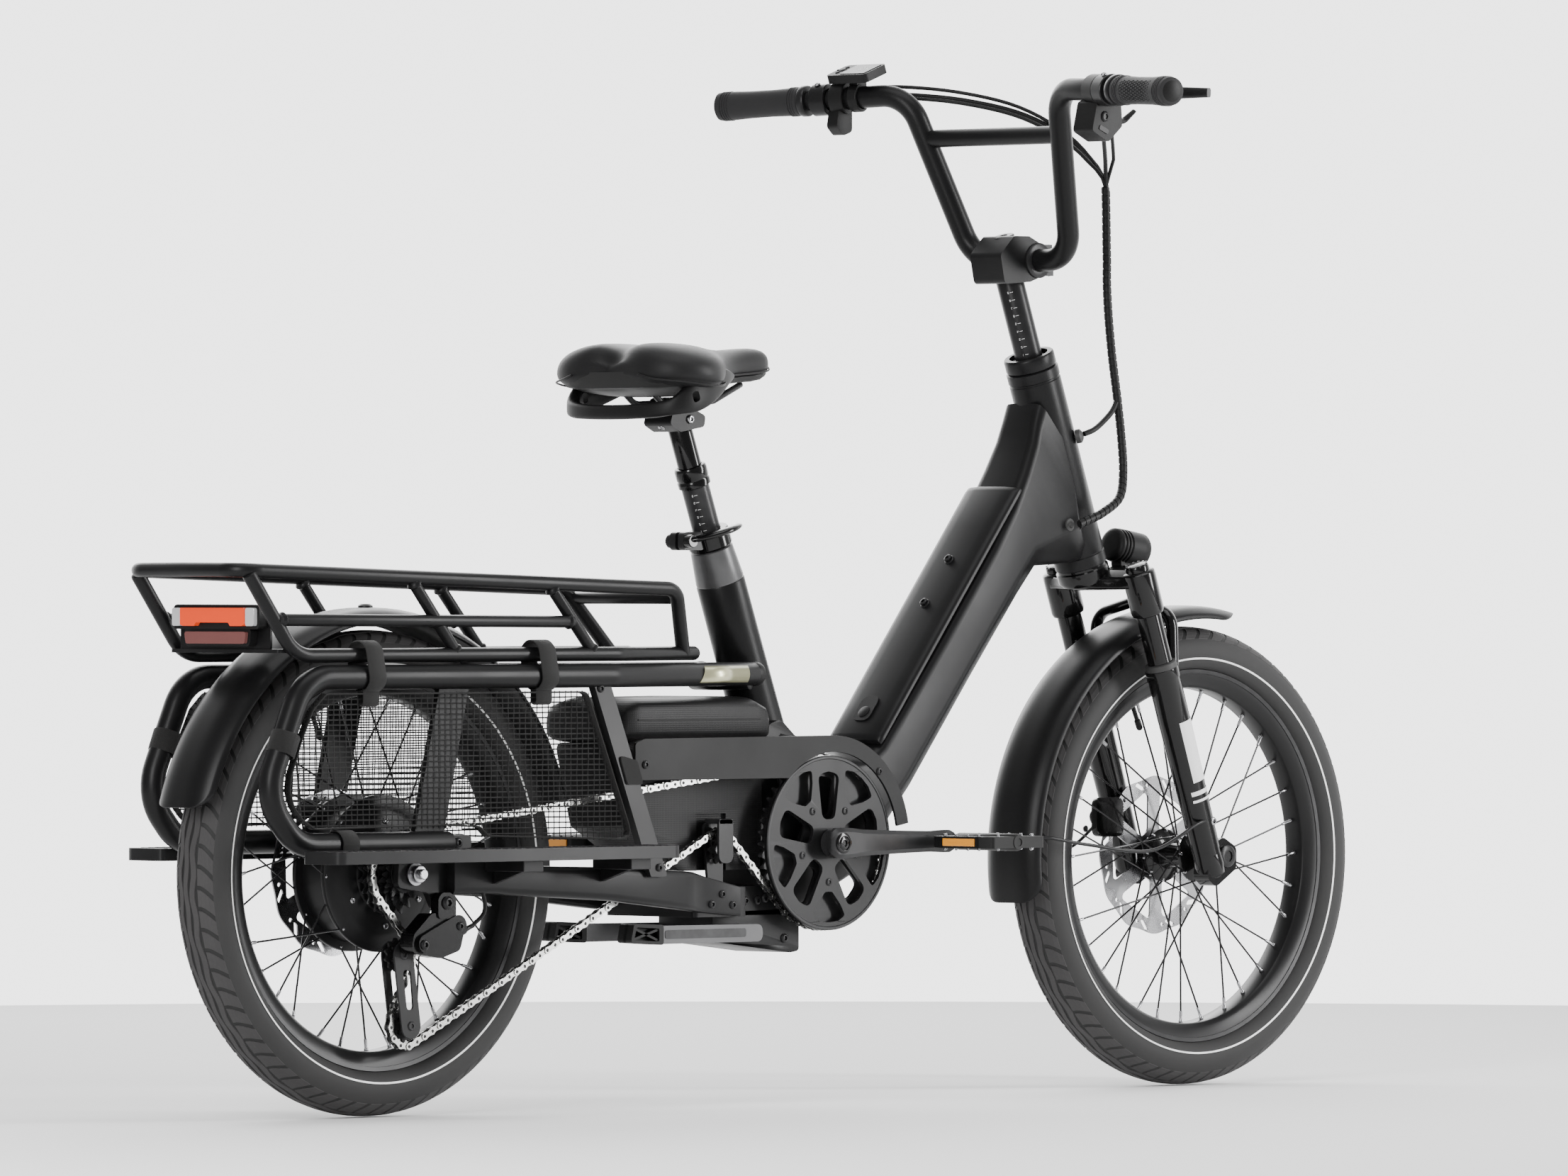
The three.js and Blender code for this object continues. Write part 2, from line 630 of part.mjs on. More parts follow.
function crankRight() {
  const arm = [[-16, 0], ...arc(0, 0, 17, 120, 240, 4), ...arc(CRANK_LENGTH, 0, 12, -80, 80, 4)];
  const boss = rod([0, -88, 0], [0, -69, 0], 15, 12);
  const pin = rod([CRANK_LENGTH, -80, 0], [CRANK_LENGTH, -190, 0], 4, 8);
  const bore = rod([0, -90, 0], [0, -60, 0], 9.6, 12);
  return cut(join(plate(arm.slice(1), -90, -78), boss, pin), bore);
}

// Left crank, with the spindle that passes through the bottom bracket to the right crank.
function crankLeft() {
  const arm = [...arc(0, 0, 17, -60, 60, 4), ...arc(-CRANK_LENGTH, 0, 12, 100, 260, 4)];
  const spindle = rod([0, -88, 0], [0, 80, 0], 9, 12);
  const pin = rod([-CRANK_LENGTH, 80, 0], [-CRANK_LENGTH, 190, 0], 4, 8);
  return join(plate(arm, 78, 90), rod([0, 60, 0], [0, 79, 0], 15, 12), spindle, pin);
}

// Platform pedal about its own axle, which runs along y.
function pedal() {
  const outline = [[-40, -46], [40, -46], [47, -30], [47, 30], [40, 46], [-40, 46], [-47, 30], [-47, -30]];
  const windows = [[-36, -12], [12, 36]].map(([low, high]) => block(low, high, -34, 34, -20, 20));
  const core = rod([0, -46, 0], [0, 46, 0], 10, 8);
  const bore = rod([0, -60, 0], [0, 60, 0], 4.4, 8);
  return cut(join(cut(board(outline, -8, 8), ...windows), core), bore);
}

function derailleurBody() {
  const knuckle = plate([[16, 218], [50, 218], [66, 205], [58, 178], [30, 170], [-14, 176], [-10, 196]], -88, -65.6);
  const lug = plate([[24, 212], [50, 212], [50, 234], [42, 240], [30, 240], [24, 234]], -88, -76 - GAP);
  return join(knuckle, lug);
}

// Two cage plates joined above the upper jockey wheel.
function derailleurCage() {
  const [ux, uz] = UPPER_JOCKEY_AT;
  const [lx, lz] = LOWER_JOCKEY_AT;
  const outline = [...arc(ux, uz, 13, -10, 190, 5), ...arc(lx, lz, 13, 170, 370, 5)];
  const outer = plate(outline, -65, -62.5);
  const inner = plate(outline, -46, -43.5);
  const pins = [[ux, uz], [lx, lz]].map(([x, z]) => rod([x, -64, z], [x, -44, z], 3, 8));
  return join(outer, inner, ...pins);
}

// ---------------------------------------------------------------- steering

function legPoint(z, y) {
  const share = (LEG_TOP[1] - z) / (LEG_TOP[1] - LEG_LOW[1]);
  return [LEG_TOP[0] + share * (LEG_LOW[0] - LEG_TOP[0]), y, z];
}

// Crown, both stanchions and the hollow steerer that the stem slides in.
function forkCrown() {
  const parts = [rod(along(STEER_TOP, STEER_LOW, 40), along(STEER_TOP, STEER_LOW, 232), 21, 16)];
  parts.push(rod(along(STEER_TOP, STEER_LOW, 219), along(STEER_TOP, STEER_LOW, 236), 28, 16));
  for (const y of [-LEG_Y, LEG_Y]) {
    parts.push(rod(legPoint(582, y), legPoint(527, y), 19, 12));
    parts.push(rod(legPoint(540, y), legPoint(300, y), STANCHION_R, 10));
  }
  const bridge = [[1096, 574], [1120, 583], [1156, 589], [1160, 579], [1140, 569], [1118, 561], [1098, 562]];
  parts.push(plate(bridge, -LEG_Y, LEG_Y));
  parts.push(block(1152, 1161, -10, 10, 576, 591));
  const stemBore = rod(along(STEER_TOP, STEER_LOW, 30), along(STEER_TOP, STEER_LOW, 205), 16.2, 16);
  return cut(join(...parts), stemBore);
}

// Both lower legs, their arch, and the front axle.
function forkLowers() {
  const parts = [];
  const bores = [];
  for (const y of [-LEG_Y, LEG_Y]) {
    parts.push(rod(legPoint(474, y), legPoint(236, y), LOWER_R, 12, LOWER_R - 2));
    const ear = [[1236, 236], [1250, 225], [1284, 246], [1284, 270], [1262, 282], [1240, 270]];
    parts.push(plate(ear, y - (y > 0 ? 12 : 10), y + (y > 0 ? 10 : 12)));
    bores.push(rod(legPoint(500, y), legPoint(262, y), STANCHION_R + GAP, 10));
  }
  parts.push(rod([WHEELBASE, -76, WHEEL_R], [WHEELBASE, 76, WHEEL_R], 7, 12));
  const arch = [
    [1190, -LEG_Y, 458], [1192, -LEG_Y + 4, 534], [1191, 0, 548], [1192, LEG_Y - 4, 534], [1190, LEG_Y, 458],
  ];
  parts.push(bentTube(arch, 22, 7, 8, 3));
  return cut(join(...parts), ...bores);
}

function headlight() {
  const body = rod([1153, 0, 613], [1200, 0, 605], 20, 16);
  const foot = block(1162, 1169, -8, 8, 582, 600);
  return join(body, foot);
}

// Telescopic stem: post, block and the clamp round the bar.
function stem() {
  const post = rod(along(STEER_TOP, STEER_LOW, 66), along(STEER_TOP, STEER_LOW, -138), 15.5, 16);
  const side = [[950, 936], [958, 902], [1000, 906], [1030, 914], [1032, 950], [1014, 958], [975, 956]];
  const clampBore = rod([BAR_CLAMP[0], -40, BAR_CLAMP[2]], [BAR_CLAMP[0], 40, BAR_CLAMP[2]], BAR_R + GAP, 16);
  return cut(join(post, plate(side, -27, 27)), clampBore);
}

const mirrorPoint = ([x, y, z]) => [x, -y, z];
const BAR_SWEEP = new THREE.Vector3(...BAR_END).sub(new THREE.Vector3(...BAR_SHOULDER)).normalize();

// The point on the left end run of the bar that is a distance in from its end.
function onBar(fromEnd) {
  return new THREE.Vector3(...BAR_END).addScaledVector(BAR_SWEEP, -fromEnd).toArray();
}

function handlebar() {
  const half = [BAR_CLAMP, BAR_FOOT, BAR_SHOULDER, onBar(150)];
  const corners = [...half.slice(1).reverse().map(mirrorPoint), ...half.slice(1)];
  const core = bentTube(corners, 42, BAR_R, 10, 4);
  const ends = [1, -1].map((side) => {
    const place = (distance) => (side > 0 ? onBar(distance) : mirrorPoint(onBar(distance)));
    return rod(place(152), place(3), 11, 10);
  });
  const brace = rod([964, -105, 1068], [964, 105, 1068], 10, 10);
  return join(core, ...ends, brace);
}

// Left grip on the end run of the bar, closed at its outer end.
function grip() {
  const sleeve = rod(onBar(GRIP_LENGTH), onBar(0), 16.5, 12, 16);
  return cut(sleeve, rod(onBar(GRIP_LENGTH + 5), onBar(2.5), 12, 10));
}

// Clamp and master cylinder of one brake, on the left end run of the bar.
function perch() {
  const ring = rod(onBar(GRIP_LENGTH + 26), onBar(GRIP_LENGTH + 6), 18, 12);
  const [x, y, z] = onBar(GRIP_LENGTH + 16);
  const cylinder = rod([x + 20, y - 8, z + 2], [x + 22, y + 28, z - 2], 7.5, 8);
  const arm = block(x + 8, x + 24, y - 8, y + 8, z - 7, z + 7);
  return cut(join(ring, cylinder, arm), rod(onBar(GRIP_LENGTH + 30), onBar(GRIP_LENGTH), 13.5, 10));
}

function shifterPod() {
  const [x, y, z] = onBar(GRIP_LENGTH + 44);
  const ring = rod(onBar(GRIP_LENGTH + 50), onBar(GRIP_LENGTH + 25), 17.5, 12);
  const outline = [[x - 22, z - 46], [x + 4, z - 58], [x + 26, z - 40], [x + 24, z - 12], [x + 8, z - 4], [x - 14, z - 14]];
  const pod = plate(outline, y - 14, y + 16);
  const bridge = rod([x + 8, y + 4, z - 18], [x + 12, y + 18, z - 10], 7, 8);
  return cut(join(ring, pod, bridge), rod(onBar(GRIP_LENGTH + 75), onBar(GRIP_LENGTH + 20), 13.5, 10));
}

// Brake blade in front of the grip, bent at its root.
function brakeBlade() {
  const [x, y, z] = onBar(GRIP_LENGTH + 16);
  const tip = onBar(17);
  const corners = [[x + 37, y + 2, z - 1], [x + 43, y + 34, z - 3], [tip[0] + 70, tip[1], tip[2]]];
  return join(bentTube(corners, 26, 5.5, 8, 3), rod([x + 37, y, z - 8], [x + 37, y, z + 6], 6.5, 8));
}

function shiftLever() {
  const [x, y, z] = onBar(GRIP_LENGTH + 44);
  return bentTube([[x + 27 + GAP, -y, z - 34], [x + 44, -y, z - 34], [x + 56, -y - 6, z - 22]], 8, 4.5, 8, 3);
}

function display() {
  const [x, y, z] = onBar(GRIP_LENGTH + 62);
  const tilt = new THREE.Matrix4().makeRotationY(-0.35);
  const screen = block(-19, 19, -31, 31, -5.5, 5.5).applyMatrix4(tilt).translate(x - 2, y, z + 27);
  const post = block(x - 8, x + 8, y - 6, y + 6, z + 8, z + 24);
  const ring = rod(onBar(GRIP_LENGTH + 68), onBar(GRIP_LENGTH + 56), 16.5, 12);
  return cut(join(screen, post, ring), rod(onBar(GRIP_LENGTH + 75), onBar(GRIP_LENGTH + 50), 13.5, 10));
}

function throttlePaddle() {
  const ring = rod(onBar(GRIP_LENGTH + 50), onBar(GRIP_LENGTH + 32), 18, 12);
  const [x, y, z] = onBar(GRIP_LENGTH + 40);
  const paddle = plate([[x - 11, z - 12], [x - 15, z - 32], [x - 4, z - 42], [x + 10, z - 37], [x + 10, z - 12]], y - 8, y + 8);
  return cut(join(ring, paddle), rod(onBar(GRIP_LENGTH + 75), onBar(GRIP_LENGTH + 20), 13.5, 10));
}

// Hoses from both ends of the bar, the wrapped bundle in front of the head tube, and its two ends in the frame.
const BUNDLE_TOP = [1122, -22, 1014];
const BUNDLE = [
  BUNDLE_TOP, [1123, -22, 960], [1124, -22, 905], [1128, -23, 850], [1135, -25, 794], [1141, -28, 730],
  [1138, -34, 690], [1120, -44, 664], [1088, -50, 648], [1062, -49, 638], [1050, -48.5, 634],
];
const LEFT_HOSE = [
  [953, 196, 1119], [985, 150, 1119], [1020, 95, 1112], [1060, 45, 1096], [1096, 7, 1067], [1116, -17, 1035], BUNDLE_TOP,
];
const RIGHT_HOSE = [
  [960, -192, 1108], [985, -158, 1108], [1020, -115, 1100], [1062, -75, 1078], [1100, -42, 1048], [1118, -26, 1026],
  BUNDLE_TOP,
];
const BRANCH = [[1137, -26, 775], [1126, -28, 762], [1108, -31, 750], [1090, -34, 741], [1076, -31, 736]];

function cableHarness() {
  return join(
    cable(BUNDLE, 5, 16, 6),
    cable(LEFT_HOSE, 4, 10, 6),
    cable(RIGHT_HOSE, 4, 10, 6),
    cable(BRANCH, 3.5, 4, 6),
  );
}

// ---------------------------------------------------------------- seat

const onSeat = (above) => along(SEAT_TOP, SEAT_LOW, -above);

function seatClamp() {
  const ring = rod(onSeat(0.5), onSeat(20), 24, 16);
  const ears = block(462, 500, -11, 11, 604, 626);
  return cut(join(ring, ears), rod(onSeat(-20), onSeat(40), 16, 16), block(455, 500, -2, 2, 600, 632));
}

// Quick-release lever curling round the right side of the clamp.
function seatLever() {
  const corners = [[470, -17, 616], [486, -31, 620], [522, -36, 628], [536, -22, 633]];
  return bentTube(corners, 14, 5, 8, 3);
}

function seatpostLower() {
  const tube = rod(onSeat(-160), onSeat(72), 15.5, 16);
  const collar = rod(onSeat(71), onSeat(94), 18, 16);
  return cut(join(tube, collar), rod(onSeat(-70), onSeat(110), 13.8, 16));
}

function seatpostUpper() {
  const post = rod(onSeat(20), onSeat(142), 13.2, 16);
  const head = plate([[436, 742], [452, 734], [488, 740], [490, 752], [470, 760], [440, 756]], -21, 21);
  return join(post, head);
}

// Saddle shell with its rails and the grab loop behind.
function saddleShell() {
  const half = [[362, 0], [368, 46], [380, 80], [402, 96], [430, 90], [470, 54], [520, 26], [578, 15], [590, 0]];
  const outline = [...half, ...half.slice(1, -1).reverse().map(([x, y]) => [x, -y])];
  const floor = board(outline, 786, 793);
  const rails = [-22, 22].map((y) => {
    const corners = [[392, y, 790], [424, y, 764], [500, y, 768], [552, y * 0.6, 790]];
    return bentTube(corners, 20, 3.5, 6, 2);
  });
  const loopCorners = [[386, -72, 790], [374, -72, 756], [368, 0, 756], [374, 72, 756], [386, 72, 790]];
  return join(floor, ...rails, bentTube(loopCorners, 26, 8, 8, 4));
}

function saddlePad() {
  const half = [
    [354, 0], [356, 30], [359, 56], [370, 84], [388, 103], [408, 109], [432, 102], [464, 73], [497, 46],
    [540, 29], [582, 19], [597, 9], [602, 0],
  ];
  const ring = (grow) => half.map(([x, y]) => [470 + (x - 470) * grow, y * grow]);
  const mirror = (points) => [...points, ...points.slice(1, -1).reverse().map(([x, y]) => [x, -y])];
  return join(board(mirror(ring(1)), 793 + GAP, 815), board(mirror(ring(0.93)), 814, 826));
}

// ---------------------------------------------------------------- stand

function centreStand() {
  const [px, pz] = STAND_PIVOT;
  const parts = [rod([px, -STAND_LEG_Y, pz], [px, STAND_LEG_Y, pz], 8, 12)];
  for (const side of [-1, 1]) {
    const y = side * STAND_LEG_Y;
    parts.push(plate([[px + 10, pz - 9], [px + 10, pz + 9], [px - 150, pz + 10], [px - 150, pz - 10]], y - 8, y + 8));
    const foot = [[px - 145, pz - 11], [px - 145, pz + 11], [px - STAND_LEG, pz + 13], [px - STAND_LEG - 4, pz - 8]];
    parts.push(plate(foot, y - 11, y + 11));
  }
  return join(...parts);
}

function standBracket() {
  const outline = [[480, 210], [480, 176], [600, 163], [613, 163], [613, 214]];
  const pivotRoom = rod([STAND_PIVOT[0], -60, STAND_PIVOT[1]], [STAND_PIVOT[0], 60, STAND_PIVOT[1]], 9, 12);
  return cut(plate(outline, -42, 42), pivotRoom);
}

// ---------------------------------------------------------------- brakes

// Caliper straddling the disc of a wheel, in the axle's own coordinates.
function caliper(lowX, highX, lowZ, highZ, discY) {
  const body = block(lowX, highX, discY - 10, discY + 13, lowZ, highZ);
  return cut(body, rod([0, discY - 1, 0], [0, discY + ROTOR_THICK + 1, 0], ROTOR_R + 2, 36));
}

// ---------------------------------------------------------------- assembly

const bike = new THREE.Group();

function wheel(prefix, axleX, discY, ...middle) {
  const holder = group(
    piece(prefix + '_tyre', tyre(), TYRE_RUBBER),
    piece(prefix + '_rim', rim(), MATTE_BLACK),
    piece(prefix + '_rotor', rotor(discY), BARE_STEEL),
    ...middle,
  );
  holder.position.set(axleX, 0, WHEEL_R);
  bike.add(holder);
}

wheel(
  'rear',
  0,
  REAR_ROTOR_Y,
  piece('rear_spokes', spokes(MOTOR_R + 6.5, 22, 24), MATTE_BLACK),
  piece('hub_motor', hubMotor(), MATTE_BLACK),
  piece('cassette', cassette(), BARE_STEEL),
  piece('rear_axle', rearAxle(), BARE_STEEL),
  piece('rear_caliper', caliper(30, 100, 28, 70, REAR_ROTOR_Y), GLOSS_BLACK),
  piece('rear_fender', fender(14, 165), MATTE_BLACK),
);
wheel(
  'front',
  WHEELBASE,
  FRONT_ROTOR_Y,
  piece('front_spokes', spokes(28.4, 26, 62), MATTE_BLACK),
  piece('front_hub', frontHub(), MATTE_BLACK),
  piece('front_caliper', caliper(-106, -62, 22, 66, FRONT_ROTOR_Y), GLOSS_BLACK),
  piece('front_fender', fender(76, 190), MATTE_BLACK),
);

const crankset = group(
  piece('chainring', guardedChainring(), GREY_ALLOY),
  piece('crank_right', crankRight(), MATTE_BLACK),
  piece('crank_left', crankLeft(), MATTE_BLACK),
);
crankset.position.set(CRANK_X, 0, CRANK_Z);
bike.add(crankset);

for (const [name, x, y] of [['pedal_right', CRANK_X + CRANK_LENGTH, -146], ['pedal_left', CRANK_X - CRANK_LENGTH, 146]]) {
  const platform = piece(name, pedal(), SATIN_PLASTIC);
  platform.position.set(x, y, CRANK_Z);
  bike.add(platform);
}

const pulleys = [
  ['chain_idler', IDLER_AT, IDLER_PITCH_R, 4.4],
  ['jockey_wheel_upper', UPPER_JOCKEY_AT, JOCKEY_PITCH_R, 3.4],
  ['jockey_wheel_lower', LOWER_JOCKEY_AT, JOCKEY_PITCH_R, 3.4],
];
for (const [name, [x, z], pitchR, bore] of pulleys) {
  const clear = name === 'chain_idler' ? CHAIN_HALF_TALL + 0.8 : CHAIN_HALF_TALL + 4;
  const pulley = piece(name, toothless(pitchR - clear, bore, 2.5), SATIN_PLASTIC);
  pulley.position.set(x, CHAIN_Y, z);
  bike.add(pulley);
}

bike.add(
  piece('main_frame', mainFrame(), MATTE_BLACK),
  piece('battery', battery(), SATIN_PLASTIC),
  piece('controller_housing', controllerHousing(), SATIN_PLASTIC),
  piece('rear_frame', rearFrame(), MATTE_BLACK),
  piece('chain_guard', chainGuard(), SATIN_PLASTIC),
  piece('rear_rack', rearRack(), MATTE_BLACK),
  piece('tail_light', tailLight(), TAIL_RED),
  piece('footboard_right', footboard(), MATTE_BLACK),
  piece('footboard_left', mirrored(footboard()), MATTE_BLACK),
  piece('side_net_right', sideNet(), NET_CLOTH),
  piece('side_net_left', mirrored(sideNet()), NET_CLOTH),
  piece('chain', chain(), BARE_STEEL),
  piece('derailleur_body', derailleurBody(), GLOSS_BLACK),
  piece('derailleur_cage', derailleurCage(), GLOSS_BLACK),
  piece('centre_stand', centreStand(), GREY_ALLOY),
  piece('seat_clamp', seatClamp(), MATTE_BLACK),
  piece('seat_lever', seatLever(), MATTE_BLACK),
  piece('seatpost_lower', seatpostLower(), MATTE_BLACK),
  piece('seatpost_upper', seatpostUpper(), GLOSS_BLACK),
  piece('saddle_shell', saddleShell(), SATIN_PLASTIC),
  piece('saddle_pad', saddlePad(), SADDLE_SKIN),
  piece('fork_crown', forkCrown(), GLOSS_BLACK),
  piece('fork_lowers', forkLowers(), GLOSS_BLACK),
  piece('headlight', headlight(), SATIN_PLASTIC),
  piece('stem', stem(), MATTE_BLACK),
  piece('handlebar', handlebar(), MATTE_BLACK),
  piece('grip_left', grip(), GRIP_RUBBER),
  piece('grip_right', mirrored(grip()), GRIP_RUBBER),
  piece('brake_perch_left', perch(), GLOSS_BLACK),
  piece('brake_perch_right', mirrored(join(perch(), shifterPod())), GLOSS_BLACK),
  piece('shift_lever', shiftLever(), GLOSS_BLACK),
  piece('brake_lever_left', brakeBlade(), GLOSS_BLACK),
  piece('brake_lever_right', mirrored(brakeBlade()), GLOSS_BLACK),
  piece('display', display(), SCREEN),
  piece('throttle', throttlePaddle(), SATIN_PLASTIC),
  piece('cable_harness', cableHarness(), SATIN_PLASTIC),
);
bike.position.x = -MIDDLE_X;

export default bike;
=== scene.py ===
# %% [markdown]
# # An electric longtail cargo bicycle
# The bicycle stands on a plain pale floor and is seen from behind its right side. Its solid parts come from a
# CAD model; here each part gets its finished surface: smooth tubes, real spokes and chain links, a net, a saddle.

# %% Load the fixed frame
import math
import bmesh
import bpy
from mathutils import Matrix, Vector, geometry


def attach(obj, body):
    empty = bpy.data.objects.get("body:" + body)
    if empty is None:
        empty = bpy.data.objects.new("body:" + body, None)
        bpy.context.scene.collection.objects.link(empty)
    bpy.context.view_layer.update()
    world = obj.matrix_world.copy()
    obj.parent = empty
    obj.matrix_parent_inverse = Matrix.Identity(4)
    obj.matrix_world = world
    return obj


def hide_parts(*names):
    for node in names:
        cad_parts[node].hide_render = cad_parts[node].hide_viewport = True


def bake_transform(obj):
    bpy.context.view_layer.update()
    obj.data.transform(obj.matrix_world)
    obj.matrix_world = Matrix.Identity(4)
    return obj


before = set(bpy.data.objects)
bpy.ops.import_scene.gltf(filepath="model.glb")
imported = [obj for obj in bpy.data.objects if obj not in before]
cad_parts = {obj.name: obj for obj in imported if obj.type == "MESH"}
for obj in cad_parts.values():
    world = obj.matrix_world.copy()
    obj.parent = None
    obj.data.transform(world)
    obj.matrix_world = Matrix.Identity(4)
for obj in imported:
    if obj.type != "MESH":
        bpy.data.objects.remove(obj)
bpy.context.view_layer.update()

# %% [markdown]
# Lengths below are millimetres from the rear axle: x forward, y to the rider's left, z up from the ground.
# `at` turns such a point into the model's own metres, whose origin is half way along the bicycle.

# %% Measures shared by many pieces
MIDDLE_X = 627
WHEEL_R = 260
WHEELBASE = 1267
CRANK = (635, 284)
STEER_TOP = Vector((1031, 0, 793))
STEER_LOW = Vector((1103, 0, 595))
SEAT_TOP = Vector((519, 0, 609))
SEAT_LOW = Vector((597, 0, 400))
LEG_Y = 62
LEG_TOP = Vector((1134, 0, 578))
LEG_LOW = Vector((1255, 0, 236))
BAR_END = Vector((881, 352, 1108))
BAR_SHOULDER = Vector((945, 117, 1118))
BAR_BORE = 12.9
SEAT_BORE = 16.4
HEAD_BORE = 22.4
LEG_SEAL_Z = 474
CRANK_TURN_R = 170


def at(x, y, z):
    return Vector(((x - MIDDLE_X) / 1000, y / 1000, z / 1000))


def on_steer(distance):
    return STEER_TOP + (STEER_LOW - STEER_TOP).normalized() * distance


def on_seat(above):
    return SEAT_TOP - (SEAT_LOW - SEAT_TOP).normalized() * above


def on_leg(z, y=0.0):
    share = (LEG_TOP.z - z) / (LEG_TOP.z - LEG_LOW.z)
    point = LEG_TOP.lerp(LEG_LOW, share)
    return Vector((point.x, y, z))


def on_bar(from_end, side=1):
    point = BAR_END + (BAR_SHOULDER - BAR_END).normalized() * from_end
    return Vector((point.x, point.y * side, point.z))


print("wheelbase", WHEELBASE, "mm, wheel", 2 * WHEEL_R, "mm across")

# %% [markdown]
# ## Camera first
# The view is level, a long way off, and turned 45 degrees: almost a drawing-board view, with little perspective.
# A long lens far away gives that; a near camera would swell the rear wheel.

# %% Camera
CAMERA_AT = (-9797, -10429, 582)
LENS = 307.6
LOOK_DOWN = -0.0106
camera_data = bpy.data.cameras.new("camera")
camera = bpy.data.objects.new("camera", camera_data)
bpy.context.scene.collection.objects.link(camera)
camera.location = at(*CAMERA_AT)
camera.rotation_euler = (math.radians(90), 0, math.radians(-45))
camera_data.sensor_width = 36
camera_data.lens = LENS
camera_data.shift_y = LOOK_DOWN
camera_data.clip_end = 100
bpy.context.scene.camera = camera
print("lens", round(camera_data.lens, 1), "mm")

# %% [markdown]
# ## Materials
# Nearly everything is black, so the finishes have to differ in how they take the light: powder coat with a fine
# orange peel, glossy lacquer, satin plastic with a moulded grain, rubber, cloth. The effects that several of
# them share, grain, fine dust and rubbed edges, are node groups built once and used with different values.

# %% Shared effects as node groups


def new_group(name, inputs, outputs):
    group = bpy.data.node_groups.new(name, "ShaderNodeTree")
    for label, kind, default in inputs:
        socket = group.interface.new_socket(label, in_out="INPUT", socket_type=kind)
        if default is not None:
            socket.default_value = default
    for label, kind in outputs:
        group.interface.new_socket(label, in_out="OUTPUT", socket_type=kind)
    nodes = group.nodes
    return group, nodes.new("NodeGroupInput"), nodes.new("NodeGroupOutput")


def wire(tree, source, target):
    tree.links.new(source, target)


def math_node(tree, operation, first, second=0.5, clamp=False):
    node = tree.nodes.new("ShaderNodeMath")
    node.operation = operation
    node.use_clamp = clamp
    for socket, value in zip(node.inputs, (first, second)):
        if isinstance(value, (int, float)):
            socket.default_value = value
        else:
            wire(tree, value, socket)
    return node.outputs[0]


def make_grain_group():
    """Fine surface height from noise at one scale, with a slower swell under it."""
    group, start, end = new_group(
        "surface grain",
        [("Scale", "NodeSocketFloat", 900.0), ("Swell", "NodeSocketFloat", 0.3)],
        [("Height", "NodeSocketFloat")],
    )
    place = group.nodes.new("ShaderNodeTexCoord")
    fine = group.nodes.new("ShaderNodeTexNoise")
    slow = group.nodes.new("ShaderNodeTexNoise")
    slow.inputs["Scale"].default_value = 60
    wire(group, place.outputs["Object"], fine.inputs["Vector"])
    wire(group, place.outputs["Object"], slow.inputs["Vector"])
    wire(group, start.outputs["Scale"], fine.inputs["Scale"])
    swell = math_node(group, "MULTIPLY", slow.outputs["Fac"], start.outputs["Swell"])
    wire(group, math_node(group, "ADD", fine.outputs["Fac"], swell), end.inputs["Height"])
    return group


def make_wear_group():
    """Mask that is near one on sharp convex edges, broken up by noise."""
    group, start, end = new_group(
        "rubbed edges",
        [("Amount", "NodeSocketFloat", 0.5), ("Scale", "NodeSocketFloat", 60.0)],
        [("Mask", "NodeSocketFloat")],
    )
    shape = group.nodes.new("ShaderNodeNewGeometry")
    place = group.nodes.new("ShaderNodeTexCoord")
    breakup = group.nodes.new("ShaderNodeTexNoise")
    wire(group, place.outputs["Object"], breakup.inputs["Vector"])
    wire(group, start.outputs["Scale"], breakup.inputs["Scale"])
    edge = math_node(group, "SUBTRACT", shape.outputs["Pointiness"], 0.53)
    edge = math_node(group, "MULTIPLY", edge, 12.0, clamp=True)
    edge = math_node(group, "MULTIPLY", edge, breakup.outputs["Fac"])
    wire(group, math_node(group, "MULTIPLY", edge, start.outputs["Amount"], clamp=True), end.inputs["Mask"])
    return group


def make_dust_group():
    """Colour and roughness that vary softly, as handling and fine dust make them."""
    group, start, end = new_group(
        "fine dust",
        [
            ("Base", "NodeSocketColor", (0.02, 0.02, 0.02, 1)),
            ("Dust", "NodeSocketColor", (0.2, 0.19, 0.18, 1)),
            ("Amount", "NodeSocketFloat", 0.04),
            ("Rough", "NodeSocketFloat", 0.5),
        ],
        [("Color", "NodeSocketColor"), ("Roughness", "NodeSocketFloat")],
    )
    place = group.nodes.new("ShaderNodeTexCoord")
    cloud = group.nodes.new("ShaderNodeTexNoise")
    cloud.inputs["Scale"].default_value = 14
    cloud.inputs["Detail"].default_value = 6
    wire(group, place.outputs["Object"], cloud.inputs["Vector"])
    share = math_node(group, "MULTIPLY", cloud.outputs["Fac"], start.outputs["Amount"])
    blend = group.nodes.new("ShaderNodeMix")
    blend.data_type = "RGBA"
    wire(group, share, blend.inputs["Factor"])
    wire(group, start.outputs["Base"], blend.inputs["A"])
    wire(group, start.outputs["Dust"], blend.inputs["B"])
    wire(group, blend.outputs["Result"], end.inputs["Color"])
    spread = math_node(group, "MULTIPLY", math_node(group, "SUBTRACT", cloud.outputs["Fac"], 0.5), 0.16)
    wire(group, math_node(group, "ADD", start.outputs["Rough"], spread, clamp=True), end.inputs["Roughness"])
    return group


